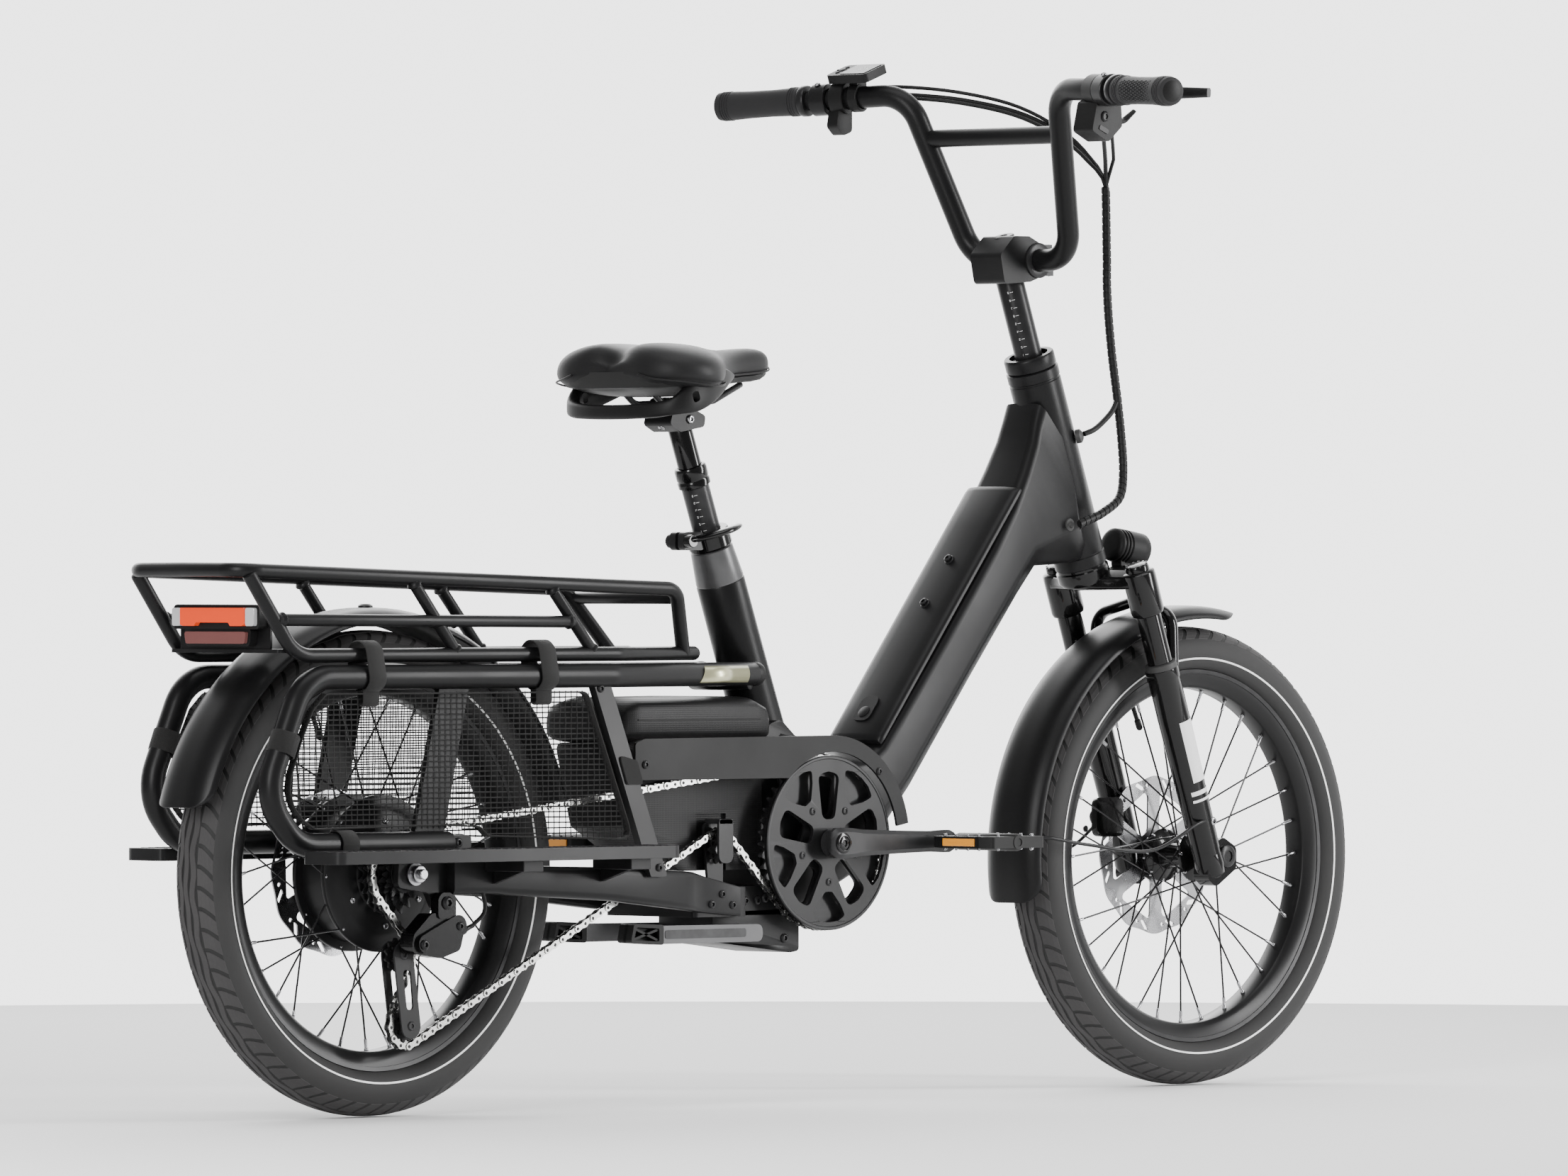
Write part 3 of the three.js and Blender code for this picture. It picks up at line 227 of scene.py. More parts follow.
def make_weave_group():
    """Plain weave: crossed thread heights, and how deep a point lies between threads."""
    group, start, end = new_group(
        "plain weave",
        [("Threads per metre", "NodeSocketFloat", 900.0)],
        [("Height", "NodeSocketFloat")],
    )
    place = group.nodes.new("ShaderNodeTexCoord")
    split = group.nodes.new("ShaderNodeSeparateXYZ")
    wire(group, place.outputs["Object"], split.inputs["Vector"])
    along = math_node(group, "ADD", split.outputs["X"], split.outputs["Y"])
    waves = []
    for position in (along, split.outputs["Z"]):
        turn = math_node(group, "MULTIPLY", position, start.outputs["Threads per metre"])
        turn = math_node(group, "MULTIPLY", turn, math.pi)
        waves.append(math_node(group, "ABSOLUTE", math_node(group, "SINE", turn, 0)))
    wire(group, math_node(group, "MAXIMUM", *waves), end.inputs["Height"])
    return group


GRAIN = make_grain_group()
WEAR = make_wear_group()
DUST = make_dust_group()
WEAVE = make_weave_group()
print("node groups", [g.name for g in bpy.data.node_groups])

# %% [markdown]
# One function lays out every opaque finish: dusty colour and roughness, a worn-edge colour, and a bump from grain
# or weave. The values that are the same all over, such as the lacquer weight, sit on the shader's own sockets.

# %% Finishes


def finish(name, colour, rough, metal=0.0, coat=0.0, coat_rough=0.1, dust=0.04, worn=None, wear=0.0,
           grain=900.0, bump=0.05, distance=0.0002, weave=None, sheen=0.0, specular=0.5):
    material = bpy.data.materials.new(name)
    material.use_nodes = True
    tree = material.node_tree
    shader = tree.nodes["Principled BSDF"]
    shader.inputs["Metallic"].default_value = metal
    shader.inputs["Coat Weight"].default_value = coat
    shader.inputs["Coat Roughness"].default_value = coat_rough
    shader.inputs["Sheen Weight"].default_value = sheen
    shader.inputs["Specular IOR Level"].default_value = specular
    dusty = tree.nodes.new("ShaderNodeGroup")
    dusty.node_tree = DUST
    dusty.inputs["Base"].default_value = (*colour, 1)
    dusty.inputs["Amount"].default_value = dust
    dusty.inputs["Rough"].default_value = rough
    wire(tree, dusty.outputs["Roughness"], shader.inputs["Roughness"])
    if worn is None:
        wire(tree, dusty.outputs["Color"], shader.inputs["Base Color"])
    else:
        rubbed = tree.nodes.new("ShaderNodeGroup")
        rubbed.node_tree = WEAR
        rubbed.inputs["Amount"].default_value = wear
        mixed = tree.nodes.new("ShaderNodeMix")
        mixed.data_type = "RGBA"
        mixed.inputs["B"].default_value = (*worn, 1)
        wire(tree, rubbed.outputs["Mask"], mixed.inputs["Factor"])
        wire(tree, dusty.outputs["Color"], mixed.inputs["A"])
        wire(tree, mixed.outputs["Result"], shader.inputs["Base Color"])
    relief = tree.nodes.new("ShaderNodeGroup")
    relief.node_tree = WEAVE if weave else GRAIN
    relief.inputs[0].default_value = weave or grain
    height = tree.nodes.new("ShaderNodeBump")
    height.inputs["Strength"].default_value = bump
    height.inputs["Distance"].default_value = distance
    wire(tree, relief.outputs["Height"], height.inputs["Height"])
    wire(tree, height.outputs["Normal"], shader.inputs["Normal"])
    return material


POWDER = finish(
    "powder coat black", (0.005, 0.005, 0.0054), 0.36, dust=0.012, specular=0.16, worn=(0.03, 0.03, 0.031),
    wear=0.4, grain=2600, bump=0.12
)
GLOSS = finish(
    "gloss black lacquer", (0.002, 0.002, 0.0022), 0.24, dust=0.01, specular=0.1, coat=0.45, coat_rough=0.05,
    grain=300, bump=0.02
)
ANODISED = finish(
    "satin black alloy", (0.008, 0.008, 0.0085), 0.32, metal=0.12, dust=0.02, specular=0.2,
    worn=(0.08, 0.08, 0.083), wear=0.5, bump=0.04
)
MOULDED = finish(
    "moulded black plastic", (0.005, 0.005, 0.0052), 0.46, dust=0.015, specular=0.18, worn=(0.02, 0.02, 0.02),
    wear=0.4, grain=1800, bump=0.2
)
TEXTURED = finish(
    "woven-textured plastic", (0.008, 0.008, 0.0084), 0.44, dust=0.015, specular=0.18, weave=420, bump=0.5,
    distance=0.0004
)
# Near-black for seam lines; the same near-black is also painted shade, in the tyre grooves and under the saddle.
PAINTED_SHADE_AND_SEAM = finish("seam black and painted shade", (0.003, 0.003, 0.003), 0.7, dust=0.0, bump=0.02)
TREAD = finish("tread rubber", (0.036, 0.035, 0.036), 0.7, dust=0.1, specular=0.2, grain=1200, bump=0.35)
SIDEWALL = finish(
    "sidewall rubber", (0.026, 0.026, 0.0265), 0.64, dust=0.08, specular=0.18, grain=700, bump=0.3
)
STRIPE = finish("white reflective stripe", (0.86, 0.86, 0.85), 0.35, dust=0.02, grain=3000, bump=0.1)
GRIP = finish(
    "charcoal grip rubber", (0.016, 0.016, 0.017), 0.58, dust=0.04, specular=0.2, grain=1500, bump=0.25
)
LEATHER = finish("saddle skin", (0.008, 0.008, 0.0085), 0.5, dust=0.02, grain=1100, bump=0.3, specular=0.18)
STEEL = finish("bright steel", (0.36, 0.36, 0.37), 0.26, metal=1.0, dust=0.05, grain=500, bump=0.05)
NICKEL = finish("nickel chain plate", (0.4, 0.4, 0.39), 0.26, metal=1.0, dust=0.05, grain=600, bump=0.05)
GREY_ALLOY = finish(
    "grey satin alloy", (0.06, 0.06, 0.062), 0.36, metal=0.6, worn=(0.3, 0.3, 0.3), wear=0.5, grain=1500,
    bump=0.1
)
SPOKE = finish("black spoke wire", (0.02, 0.02, 0.021), 0.25, metal=0.7, bump=0.02)
STRAP = finish(
    "hook and loop strap", (0.006, 0.006, 0.006), 0.85, weave=1400, bump=0.8, sheen=0.08, dust=0.04,
    specular=0.25
)
NET_THREAD = finish(
    "net thread", (0.006, 0.006, 0.006), 0.7, grain=3000, bump=0.3, sheen=0.05, dust=0.02, specular=0.25
)
ORANGE = finish("amber reflector", (0.85, 0.33, 0.03), 0.22, coat=1.0, weave=500, bump=0.5, dust=0.02)
PLATE_GOLD = finish("pale green-gold foil", (0.45, 0.44, 0.28), 0.35, metal=0.6, coat=0.6, dust=0.05, bump=0.04)
MARKING = finish("white marking", (0.8, 0.8, 0.8), 0.5, dust=0.02, bump=0.02)
PORT_GREY = finish("dark port rubber", (0.02, 0.02, 0.02), 0.6, bump=0.1)
print("finishes", len(bpy.data.materials))

# %% [markdown]
# Lenses are made separately: the tail light is a red-orange cover over a lit strip, and the screen is dark glass.

# %% Lenses and screen


def lens(name, colour, glow, strength, rough=0.12, weight=0.35):
    material = finish(name, colour, rough, coat=0.4, specular=0.3, weave=360, bump=0.25, dust=0.01)
    shader = material.node_tree.nodes["Principled BSDF"]
    shader.inputs["Emission Color"].default_value = (*glow, 1)
    shader.inputs["Emission Strength"].default_value = strength
    shader.inputs["Transmission Weight"].default_value = weight
    return material


TAIL_LENS = lens("orange-red tail lens", (0.75, 0.05, 0.008), (1.0, 0.1, 0.015), 0.3, weight=0.1)
CLEAR_LENS = lens("clear ribbed lens", (0.75, 0.75, 0.76), (1, 1, 1), 0.0)
# The reflector is no lamp: its faint rose glow is painted light.
PAINTED_GLOW_REFLECTOR = lens("smoked-rose reflector, painted glow", (0.16, 0.06, 0.055), (0.5, 0.2, 0.2), 0.02, weight=0.1)
HEAD_LENS = lens("headlight lens", (0.7, 0.7, 0.72), (1, 1, 1), 0.02)
SCREEN = finish("dark glass screen", (0.008, 0.0085, 0.0095), 0.22, specular=0.06, dust=0.01, bump=0.0)
SEGMENTS = finish("screen digits", (0.7, 0.72, 0.72), 0.4, dust=0.0, bump=0.0)
print("lenses ready")

# %% [markdown]
# ## Making meshes
# Every piece is one of a few kinds of shape: something turned on an axis, a section swept along a bent path, a
# cut plate with rounded edges, or a skin lofted through sections. Each kind has one small function. `keep` puts
# the result in the scene, gives it its finish, and says which CAD body it moves with and which node it stands for.

# %% Mesh kit


def plain_shape(shape):
    return (shape.points, shape.faces) if isinstance(shape, Parts) else shape


def keep(name, shape, body, material, stands_for=None, bevel=0.0, segments=2, angle=38, smooth=True):
    """A shape is (points, faces), with points in millimetres from the rear axle, or several gathered as Parts."""
    points, faces = plain_shape(shape)
    mesh = bpy.data.meshes.new(name)
    mesh.from_pydata([at(*p) for p in points], [], faces)
    work = bmesh.new()
    work.from_mesh(mesh)
    bmesh.ops.remove_doubles(work, verts=work.verts, dist=1e-6)
    bmesh.ops.recalc_face_normals(work, faces=work.faces)
    work.to_mesh(mesh)
    work.free()
    if smooth:
        mesh.shade_smooth()
        mesh.set_sharp_from_angle(angle=math.radians(angle))
    piece = bpy.data.objects.new(name, mesh)
    bpy.context.scene.collection.objects.link(piece)
    piece.data.materials.append(material)
    if bevel:
        edge = piece.modifiers.new("edges", "BEVEL")
        edge.width = bevel / 1000
        edge.segments = segments
        edge.limit_method = "ANGLE"
        edge.angle_limit = math.radians(angle)
        edge.harden_normals = True
    if body:
        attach(piece, body)
    if stands_for:
        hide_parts(stands_for)
    return piece


print("mesh kit ready")

# %% [markdown]
# ### Gathering shapes
# A finished piece is often several closed shapes, such as six bolts. They could be joined as objects, but adding
# their points to one list first is quicker and keeps a single mesh. Mirroring a list is a change of sign.

# %% Gathering shapes


class Parts:
    """Several closed shapes gathered into one mesh."""

    def __init__(self):
        self.points = []
        self.faces = []

    def add(self, shape):
        points, faces = plain_shape(shape)
        base = len(self.points)
        self.points += [tuple(p) for p in points]
        self.faces += [[base + i for i in face] for face in faces]
        return self

    def mirror(self):
        copy = Parts().add(self)
        copy.add(([(x, -y, z) for x, y, z in self.points], [list(reversed(f)) for f in self.faces]))
        return copy


print("shapes can be gathered and mirrored")

# %% [markdown]
# ### Lofting and turning
# A skin is a stack of rings with the same number of points, joined by four-sided faces. A turned part is the same
# thing with its rings set round an axis. Blender's screw modifier does this too, but rings can also change shape.

# %% Lofting and turning


def rings_to_skin(rings, closed=False, caps=True):
    count = len(rings[0])
    points = [p for ring in rings for p in ring]
    faces = []
    spans = len(rings) if closed else len(rings) - 1
    for i in range(spans):
        j = (i + 1) % len(rings)
        for k in range(count):
            m = (k + 1) % count
            faces.append([i * count + k, i * count + m, j * count + m, j * count + k])
    if caps and not closed:
        faces.append(list(range(count))[::-1])
        faces.append([(len(rings) - 1) * count + k for k in range(count)])
    return points, faces


def angles(count):
    return [2 * math.pi * k / count for k in range(count)]


def frame_at(direction, hint=Vector((0, 1, 0))):
    direction = direction.normalized()
    side = direction.cross(hint)
    if side.length < 1e-4:
        side = direction.cross(Vector((0, 0, 1)))
    side.normalize()
    return side, side.cross(direction).normalized()


def turned(profile, start, direction, steps=48, closed=False):
    """profile is (radius, distance along the axis) pairs; radius 0 closes the end."""
    direction = Vector(direction).normalized()
    side, up = frame_at(direction)
    rings = []
    for radius, reach in profile:
        centre = Vector(start) + direction * reach
        radius = max(radius, 0.02)
        rings.append([
            centre + (side * math.cos(a) + up * math.sin(a)) * radius
            for a in angles(steps)
        ])
    return rings_to_skin(rings, closed=closed, caps=not closed)


def wheel_turned(profile, steps=128, closed=True):
    """Turned about a wheel's axle: profile is (radius, y)."""
    rings = [
        [(r * math.cos(a), y, r * math.sin(a)) for r, y in profile]
        for a in angles(steps)
    ]
    points, faces = rings_to_skin(rings, closed=True, caps=False)
    if not closed:
        count = len(profile)
        faces = [f for i, f in enumerate(faces) if i % count != count - 1]
    return points, faces


print("lofting, turning ready:", len(turned([(1, 0), (1, 1)], (0, 0, 0), (0, 0, 1), 12)[1]), "faces in a 12-sided drum")

# %% [markdown]
# ### Paths and sweeping
# Bent tube needs a path: straight runs with rounded corners, or a smooth curve through knots. The section is then
# carried along without twisting. Curve objects with a bevel do the same; this way the ends can be domed.

# %% Paths and sweeping


def bent(corners, radius, steps=7):
    """A polyline with each corner rounded to a radius, or to its own radius."""
    corners = [Vector(c) for c in corners]
    radii = radius if isinstance(radius, (list, tuple)) else [radius] * (len(corners) - 2)
    path = [corners[0]]
    for i, r in zip(range(1, len(corners) - 1), radii):
        before = corners[i] - corners[i - 1]
        after = corners[i + 1] - corners[i]
        turn = before.angle(after)
        room = 0.49 * min(before.length, after.length)
        r = min(r, room / max(math.tan(turn / 2), 1e-6))
        before.normalize()
        after.normalize()
        inward = (after - before * math.cos(turn)).normalized()
        start = corners[i] - before * (r * math.tan(turn / 2))
        for k in range(steps + 1):
            a = turn * k / steps
            path.append(start + before * (r * math.sin(a)) + inward * (r * (1 - math.cos(a))))
    path.append(corners[-1])
    return path


def smooth_path(knots, count):
    """A smooth curve through its knots, at evenly spread places."""
    knots = [Vector(k) for k in knots]
    ends = [2 * knots[0] - knots[1]] + knots + [2 * knots[-1] - knots[-2]]
    fine = []
    for i in range(1, len(ends) - 2):
        a, b, c, d = ends[i - 1:i + 3]
        for k in range(16):
            t = k / 16
            fine.append(
                0.5 * (
                    (2 * b) + (c - a) * t + (2 * a - 5 * b + 4 * c - d) * t * t
                    + (3 * b - a - 3 * c + d) * t ** 3
                )
            )
    fine.append(knots[-1])
    lengths = [0.0]
    for a, b in zip(fine, fine[1:]):
        lengths.append(lengths[-1] + (b - a).length)
    path = []
    j = 0
    for k in range(count):
        goal = lengths[-1] * k / (count - 1)
        while j < len(fine) - 2 and lengths[j + 1] < goal:
            j += 1
        share = (goal - lengths[j]) / max(lengths[j + 1] - lengths[j], 1e-9)
        path.append(fine[j].lerp(fine[j + 1], min(share, 1)))
    return path


def swept(path, section, closed=False, scales=None, hint=Vector((0, 1, 0))):
    """section is (side, up) pairs carried along the path without twist."""
    path = [Vector(p) for p in path]
    last = len(path) - 1
    rings = []
    side = up = None
    for i, point in enumerate(path):
        if closed:
            heading = path[(i + 1) % len(path)] - path[i - 1]
        else:
            heading = path[min(i + 1, last)] - path[max(i - 1, 0)]
        heading.normalize()
        if side is None:
            side, up = frame_at(heading, hint)
        else:
            side = (side - heading * side.dot(heading)).normalized()
            up = side.cross(heading).normalized()
        grow = scales[i] if scales else 1.0
        rings.append([point + (side * a + up * b) * grow for a, b in section])
    return rings_to_skin(rings, closed=closed, caps=not closed)


def circle(radius, sides=16, centre=(0, 0)):
    return [(centre[0] + radius * math.cos(a), centre[1] + radius * math.sin(a)) for a in angles(sides)]


def oval(half_wide, half_tall, sides=20, power=1.0):
    """A ring that is round at power 1 and squarer as the power falls."""
    return [
        (half_wide * math.copysign(abs(math.cos(a)) ** power, math.cos(a)),
         half_tall * math.copysign(abs(math.sin(a)) ** power, math.sin(a)))
        for a in angles(sides)
    ]


def tube(path, radius, sides=16, domed=True):
    """A round bar along a path, with softly domed ends."""
    path = [Vector(p) for p in path]
    scales = [1.0] * len(path)
    if domed:
        first = (path[1] - path[0]).normalized() * radius
        final = (path[-1] - path[-2]).normalized() * radius
        path = [
            path[0], path[0] + first * 0.12, path[0] + first * 0.4, *path[1:-1],
            path[-1] - final * 0.4, path[-1] - final * 0.12, path[-1],
        ]
        scales = [0.72, 0.92, 1.0] + [1.0] * (len(path) - 6) + [1.0, 0.92, 0.72]
    return swept(path, circle(radius, sides), scales=scales)


print("paths and sweeping ready")

# %% [markdown]
# ### Plates
# Cut and moulded plates are outlines with rounded corners, filled with triangles round their holes and given a
# thickness. Rounding the outline first costs fewer points than a bevel, and leaves the flat faces flat.

# %% Plates


def rounded(outline, radius, steps=5):
    """A closed 2-D outline with each corner rounded."""
    count = len(outline)
    result = []
    for i in range(count):
        a, b, c = (Vector(outline[(i + k) % count]) for k in (-1, 0, 1))
        to_a, to_c = a - b, c - b
        turn = math.pi - to_a.angle(to_c)
        own = radius[i] if isinstance(radius, (list, tuple)) else radius
        reach = min(own * math.tan(turn / 2), 0.48 * to_a.length, 0.48 * to_c.length)
        if turn < 0.05 or reach < 0.05:
            result.append(tuple(b))
            continue
        start, end = b + to_a.normalized() * reach, b + to_c.normalized() * reach
        for k in range(steps + 1):
            t = k / steps
            result.append(tuple(start * (1 - t) ** 2 + b * 2 * t * (1 - t) + end * t * t))
    return result


def extruded(outline, low, high, holes=(), plane="xz"):
    """A plate from a 2-D outline with holes. plane xz runs along y, xy along z, yz along x."""
    loops = [outline, *holes]
    flat = [p for loop in loops for p in loop]
    triangles = geometry.tessellate_polygon([[Vector((*p, 0)) for p in loop] for loop in loops])
    place = {
        "xz": lambda p, d: (p[0], d, p[1]), "xy": lambda p, d: (p[0], p[1], d), "yz": lambda p,
        d: (d, p[0], p[1])
    }[plane]
    points = [place(p, low) for p in flat] + [place(p, high) for p in flat]
    total = len(flat)
    faces = [list(t) for t in triangles] + [[i + total for i in reversed(t)] for t in triangles]
    base = 0
    for loop in loops:
        for k in range(len(loop)):
            m = (k + 1) % len(loop)
            faces.append([base + k, base + m, base + m + total, base + k + total])
        base += len(loop)
    return points, faces


def box(low_x, high_x, low_y, high_y, low_z, high_z):
    return extruded([(low_x, low_z), (high_x, low_z), (high_x, high_z), (low_x, high_z)], low_y, high_y)


print("plates ready")

# %% [markdown]
# ### Placing, bolts and sizes
# Small parts are made at the origin, where their numbers are simple, and then put in place. A bolt gets a real
# hexagon socket, because a plain disc looks like a sticker.

# %% Placing, bolts and sizes


def placed(shape, x, y, z):
    points, faces = plain_shape(shape)
    return [(p[0] + x, p[1] + y, p[2] + z) for p in points], faces


def turned_in_place(shape, origin, direction):
    """Stands a shape made along +Z at the origin up along a direction."""
    points, faces = shape
    turn = Vector(direction).to_track_quat("Z", "Y").to_matrix()
    return [Vector(origin) + turn @ Vector(p) for p in points], faces


def bolt(origin, direction, radius=4.5, height=3.0):
    """A low button head with a hexagon socket, standing on a surface."""
    rim = [(radius, 0), (radius, height * 0.5), (radius * 0.86, height * 0.85), (radius * 0.62, height)]
    rings = [[(x, y, z) for x, y in circle(r, 24)] for r, z in rim]
    for z in (height, height * 0.3):
        ring = []
        for a in angles(24):
            hexagon = radius * 0.48 / max(math.cos((a % (math.pi / 3)) - math.pi / 6), 0.5)
            ring.append((hexagon * math.cos(a), hexagon * math.sin(a), z))
        rings.append(ring)
    return turned_in_place(rings_to_skin(rings), origin, direction)


def subdivide(piece, levels=1):
    soft = piece.modifiers.new("smooth", "SUBSURF")
    soft.levels = soft.render_levels = levels
    return piece


print("mesh kit ready")

# %% [markdown]
# ## Cables and hoses
# Four thin hoses leave the controls on the bar and meet in front of the head tube, where a spiral wrap holds them
# in one bundle down to a port in the frame. The bar, the stem, the fork and the frame all move against each
# other, so the bundle is made of three lengths end to end, and each runs from one of those bodies to the next.

# %% Hose routes
BUNDLE_TOP = (1122, -22, 1014)
LEFT_HOSE = [
    (953, 196, 1119), (985, 150, 1119), (1020, 95, 1112), (1060, 45, 1096), (1096, 7, 1067), (1116, -17, 1035),
    BUNDLE_TOP
]
RIGHT_HOSE = [
    (960, -192, 1108), (985, -158, 1108), (1020, -115, 1100), (1062, -75, 1078), (1100, -42, 1048),
    (1118, -26, 1026), BUNDLE_TOP
]
UPPER_RUN = [BUNDLE_TOP, (1123, -22, 980), (1123.5, -22, 950), (1124, -22, 930)]
MIDDLE_RUN = [(1124, -22, 930), (1124, -22, 905), (1126, -22.5, 870), (1130, -23.5, 830), (1133, -24.5, 806)]
LOWER_RUN = [
    (1133, -24.5, 806), (1137, -26, 775), (1141, -28, 735), (1139, -33, 694), (1122, -43.5, 665),
    (1089, -49.5, 648), (1064, -49, 639), (1052, -48.5, 634.6)
]
BRANCH = [(1137, -26, 775), (1126, -28, 762), (1108, -31, 750), (1090, -34, 741), (1077, -31.5, 736.3)]


def reach_of(path):
    return sum((Vector(b) - Vector(a)).length for a, b in zip(path, path[1:])) / 1000


def shifted(path, offset, ends=0.12):
    """The same route a little to one side, meeting the first one at its ends."""
    count = len(path) - 1
    return [
        p + Vector(offset) * min(1.0, k / count / ends, (1 - k / count) / ends)
        for k, p in enumerate(path)
    ]


def lay_cord(
    name, knots, count, radius, body, joint=None, offset=(0, 0, 0),
    stands_for=None
):
    path = smooth_path(knots, count)
    if any(offset):
        path = shifted(path, offset)
    piece = keep(name, tube(path, radius, 12, domed=False), body, MOULDED, stands_for=stands_for)
    if joint:
        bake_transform(piece)
    print(name, round(reach_of(path), 3), "m")
    return piece


def spiral_wrap(name, knots, radius, pitch=8.0):
    """A flat strip wound round the hoses, thicker than them by its own thickness."""
    path = smooth_path(knots, 60)
    turns = int(reach_of(path) * 1000 / pitch)
    steps = turns * 10
    rings = []
    side = None
    for k in range(steps + 1):
        place = k / steps * (len(path) - 1)
        i = min(int(place), len(path) - 2)
        point = path[i].lerp(path[i + 1], place - i)
        heading = (path[i + 1] - path[i]).normalized()
        if side is None:
            side = frame_at(heading)[0]
        side = (side - heading * side.dot(heading)).normalized()
        up = side.cross(heading)
        a = 2 * math.pi * k / 10
        outward = side * math.cos(a) + up * math.sin(a)
        rings.append(
            [
                point + outward * (radius + o) + heading * w for o,
                w in ((-0.4, -3.1), (0.5, -3.1), (0.5, 3.1), (-0.4, 3.1))
            ]
        )
    strip = rings_to_skin(rings)
    piece = keep(name, strip, None, MOULDED)
    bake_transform(piece)
    return piece


lay_cord("hose_left_brake", LEFT_HOSE, 26, 2.5, "bar", stands_for="cable_harness")
lay_cord("hose_right_brake", RIGHT_HOSE, 26, 2.5, "bar")
lay_cord("hose_display", LEFT_HOSE, 26, 2.1, "bar", offset=(-6, 4, 9))
lay_cord("hose_throttle", LEFT_HOSE, 26, 2.1, "bar", offset=(-9, -5, -4))
lay_cord("hose_shifter", RIGHT_HOSE, 26, 2.1, "bar", offset=(7, -6, 6))
wraps = [
    spiral_wrap("wrap_upper", UPPER_RUN, 4.6),
    spiral_wrap("wrap_middle", MIDDLE_RUN, 4.6),
    spiral_wrap("wrap_lower", LOWER_RUN, 4.6),
]
lay_cord("bundle_upper", UPPER_RUN, 16, 4.4, None, ("bar", "stem_post"))
lay_cord("bundle_middle", MIDDLE_RUN, 16, 4.4, None, ("stem_post", "fork"))
lay_cord("bundle_lower", LOWER_RUN, 30, 4.4, None, ("fork", "frame"))
lay_cord("branch_hose", BRANCH, 16, 3.2, None, ("fork", "frame"))

# %% [markdown]
# ## Floor and light
# The floor is a plain pale sheet and the light is soft: a wide lamp overhead, a long one behind the bicycle for
# the bright edges on the black tubes, and a gentle fill from the side. The sky is near-white and brightest
# behind the bicycle, like a lit paper wall, so the black parts stand out dark against it.

# %% Studio


def lamp(name, position, target, width, height, power):
    data = bpy.data.lights.new(name, "AREA")
    data.shape = "RECTANGLE"
    data.size, data.size_y, data.energy = width, height, power
    source = bpy.data.objects.new(name, data)
    source.location = position
    source.rotation_euler = (Vector(target) - Vector(position)).to_track_quat("-Z", "Y").to_euler()
    bpy.context.scene.collection.objects.link(source)


floor_mesh = bpy.data.meshes.new("floor")
floor_mesh.from_pydata(
    [(3.4 * math.cos(a / 48 * math.pi), 3.4 * math.sin(a / 48 * math.pi), -0.0005) for a in range(96)], [],
    [list(range(96))]
)
floor = bpy.data.objects.new("floor", floor_mesh)
floor_paper = finish("pale floor paper", (0.88, 0.88, 0.88), 0.9, dust=0.0, bump=0.01, specular=0.1)
floor_mesh.materials.append(floor_paper)
bpy.context.scene.collection.objects.link(floor)
lamp("overhead", (-0.3, -0.6, 3.6), (0, 0, 0.5), 3.0, 2.0, 62)
lamp("back edge", (2.0, 3.0, 2.2), (0, 0, 0.6), 3.4, 2.0, 90)
lamp("front fill", (-3.6, -1.6, 1.7), (0, 0, 0.5), 1.0, 2.4, 120)
lamp("side strip", (2.6, -3.0, 1.5), (0.3, 0, 0.6), 0.7, 2.6, 190)
print("studio ready")

# %% [markdown]
# ### Sky
# The sky lights the scene from all round. A single white value would make the black parts look flat grey, so its
# strength follows direction: bright behind the bicycle and dim in front of it.

# %% Sky
world = bpy.data.worlds.new("soft white")
world.use_nodes = True
world.node_tree.nodes["Background"].inputs["Color"].default_value = (1, 1, 1, 1)
sky = world.node_tree
ahead = sky.nodes.new("ShaderNodeTexCoord")
toward = sky.nodes.new("ShaderNodeVectorMath")
toward.operation = "DOT_PRODUCT"
toward.inputs[1].default_value = (0.7071, 0.7071, 0)
wire(sky, ahead.outputs["Generated"], toward.inputs[0])
glow = sky.nodes.new("ShaderNodeMapRange")
glow.interpolation_type = "SMOOTHSTEP"
for socket, value in (("From Min", 0.2), ("From Max", 0.85), ("To Min", 0.34), ("To Max", 3.4)):
    glow.inputs[socket].default_value = value
wire(sky, toward.outputs["Value"], glow.inputs["Value"])
wire(sky, glow.outputs["Result"], sky.nodes["Background"].inputs["Strength"])
bpy.context.scene.world = world
print("lamps", len(bpy.data.lights))

# %% [markdown]
# ## Main frame
# The frame is one welded alloy shape: a deep square-shouldered tube from the head tube down to the cranks, which
# carries the battery, and a round seat tube. A skin lofted through rounded sections gives the way the tube
# narrows and twists into the head tube, which stacked boxes can't. Boolean cuts then open the battery bay.

# %% Main frame shapes
TUBE_STATIONS = [
    (568, 392, 560, 207, 36), (590, 408, 582, 205, 40), (612, 402, 612, 206, 41), (655, 384, 660, 222, 42),
    (700, 373, 712, 246, 42), (722, 374, 758, 295, 42), (744, 390, 803, 344, 42), (839, 505, 899, 464, 42),
    (923, 611, 975, 556, 41.5), (956, 656, 1006, 588, 39), (980, 696, 1048, 590, 36), (996, 728, 1096, 594, 33),
    (1003, 750, 1088, 640, 30.5), (1010, 770, 1060, 713, 30)
]


def shoulder_section(top, low, half):
    """A rounded box section: soft upper corners, and lower corners cut by a wide chamfer."""
    depth = (low - top).length
    down = (low - top).normalized()
    outline = rounded(
        [
            (-half, 0), (half, 0), (half, depth * 0.72), (half * 0.62, depth), (-half * 0.62, depth),
            (-half, depth * 0.72)
        ],
        [13, 13, 16, 12, 12, 16], 4
    )
    return [top + down * d + Vector((0, y, 0)) for y, d in outline]


def tube_skin():
    rings = [
        shoulder_section(Vector((x0, 0, z0)), Vector((x1, 0, z1)), half)
        for x0, z0, x1, z1, half in TUBE_STATIONS
    ]
    fine = []
    for a, b in zip(rings, rings[1:]):
        fine += [a, [p.lerp(q, 0.5) for p, q in zip(a, b)]]
    fine.append(rings[-1])
    return rings_to_skin(fine)


print("main frame shapes ready")

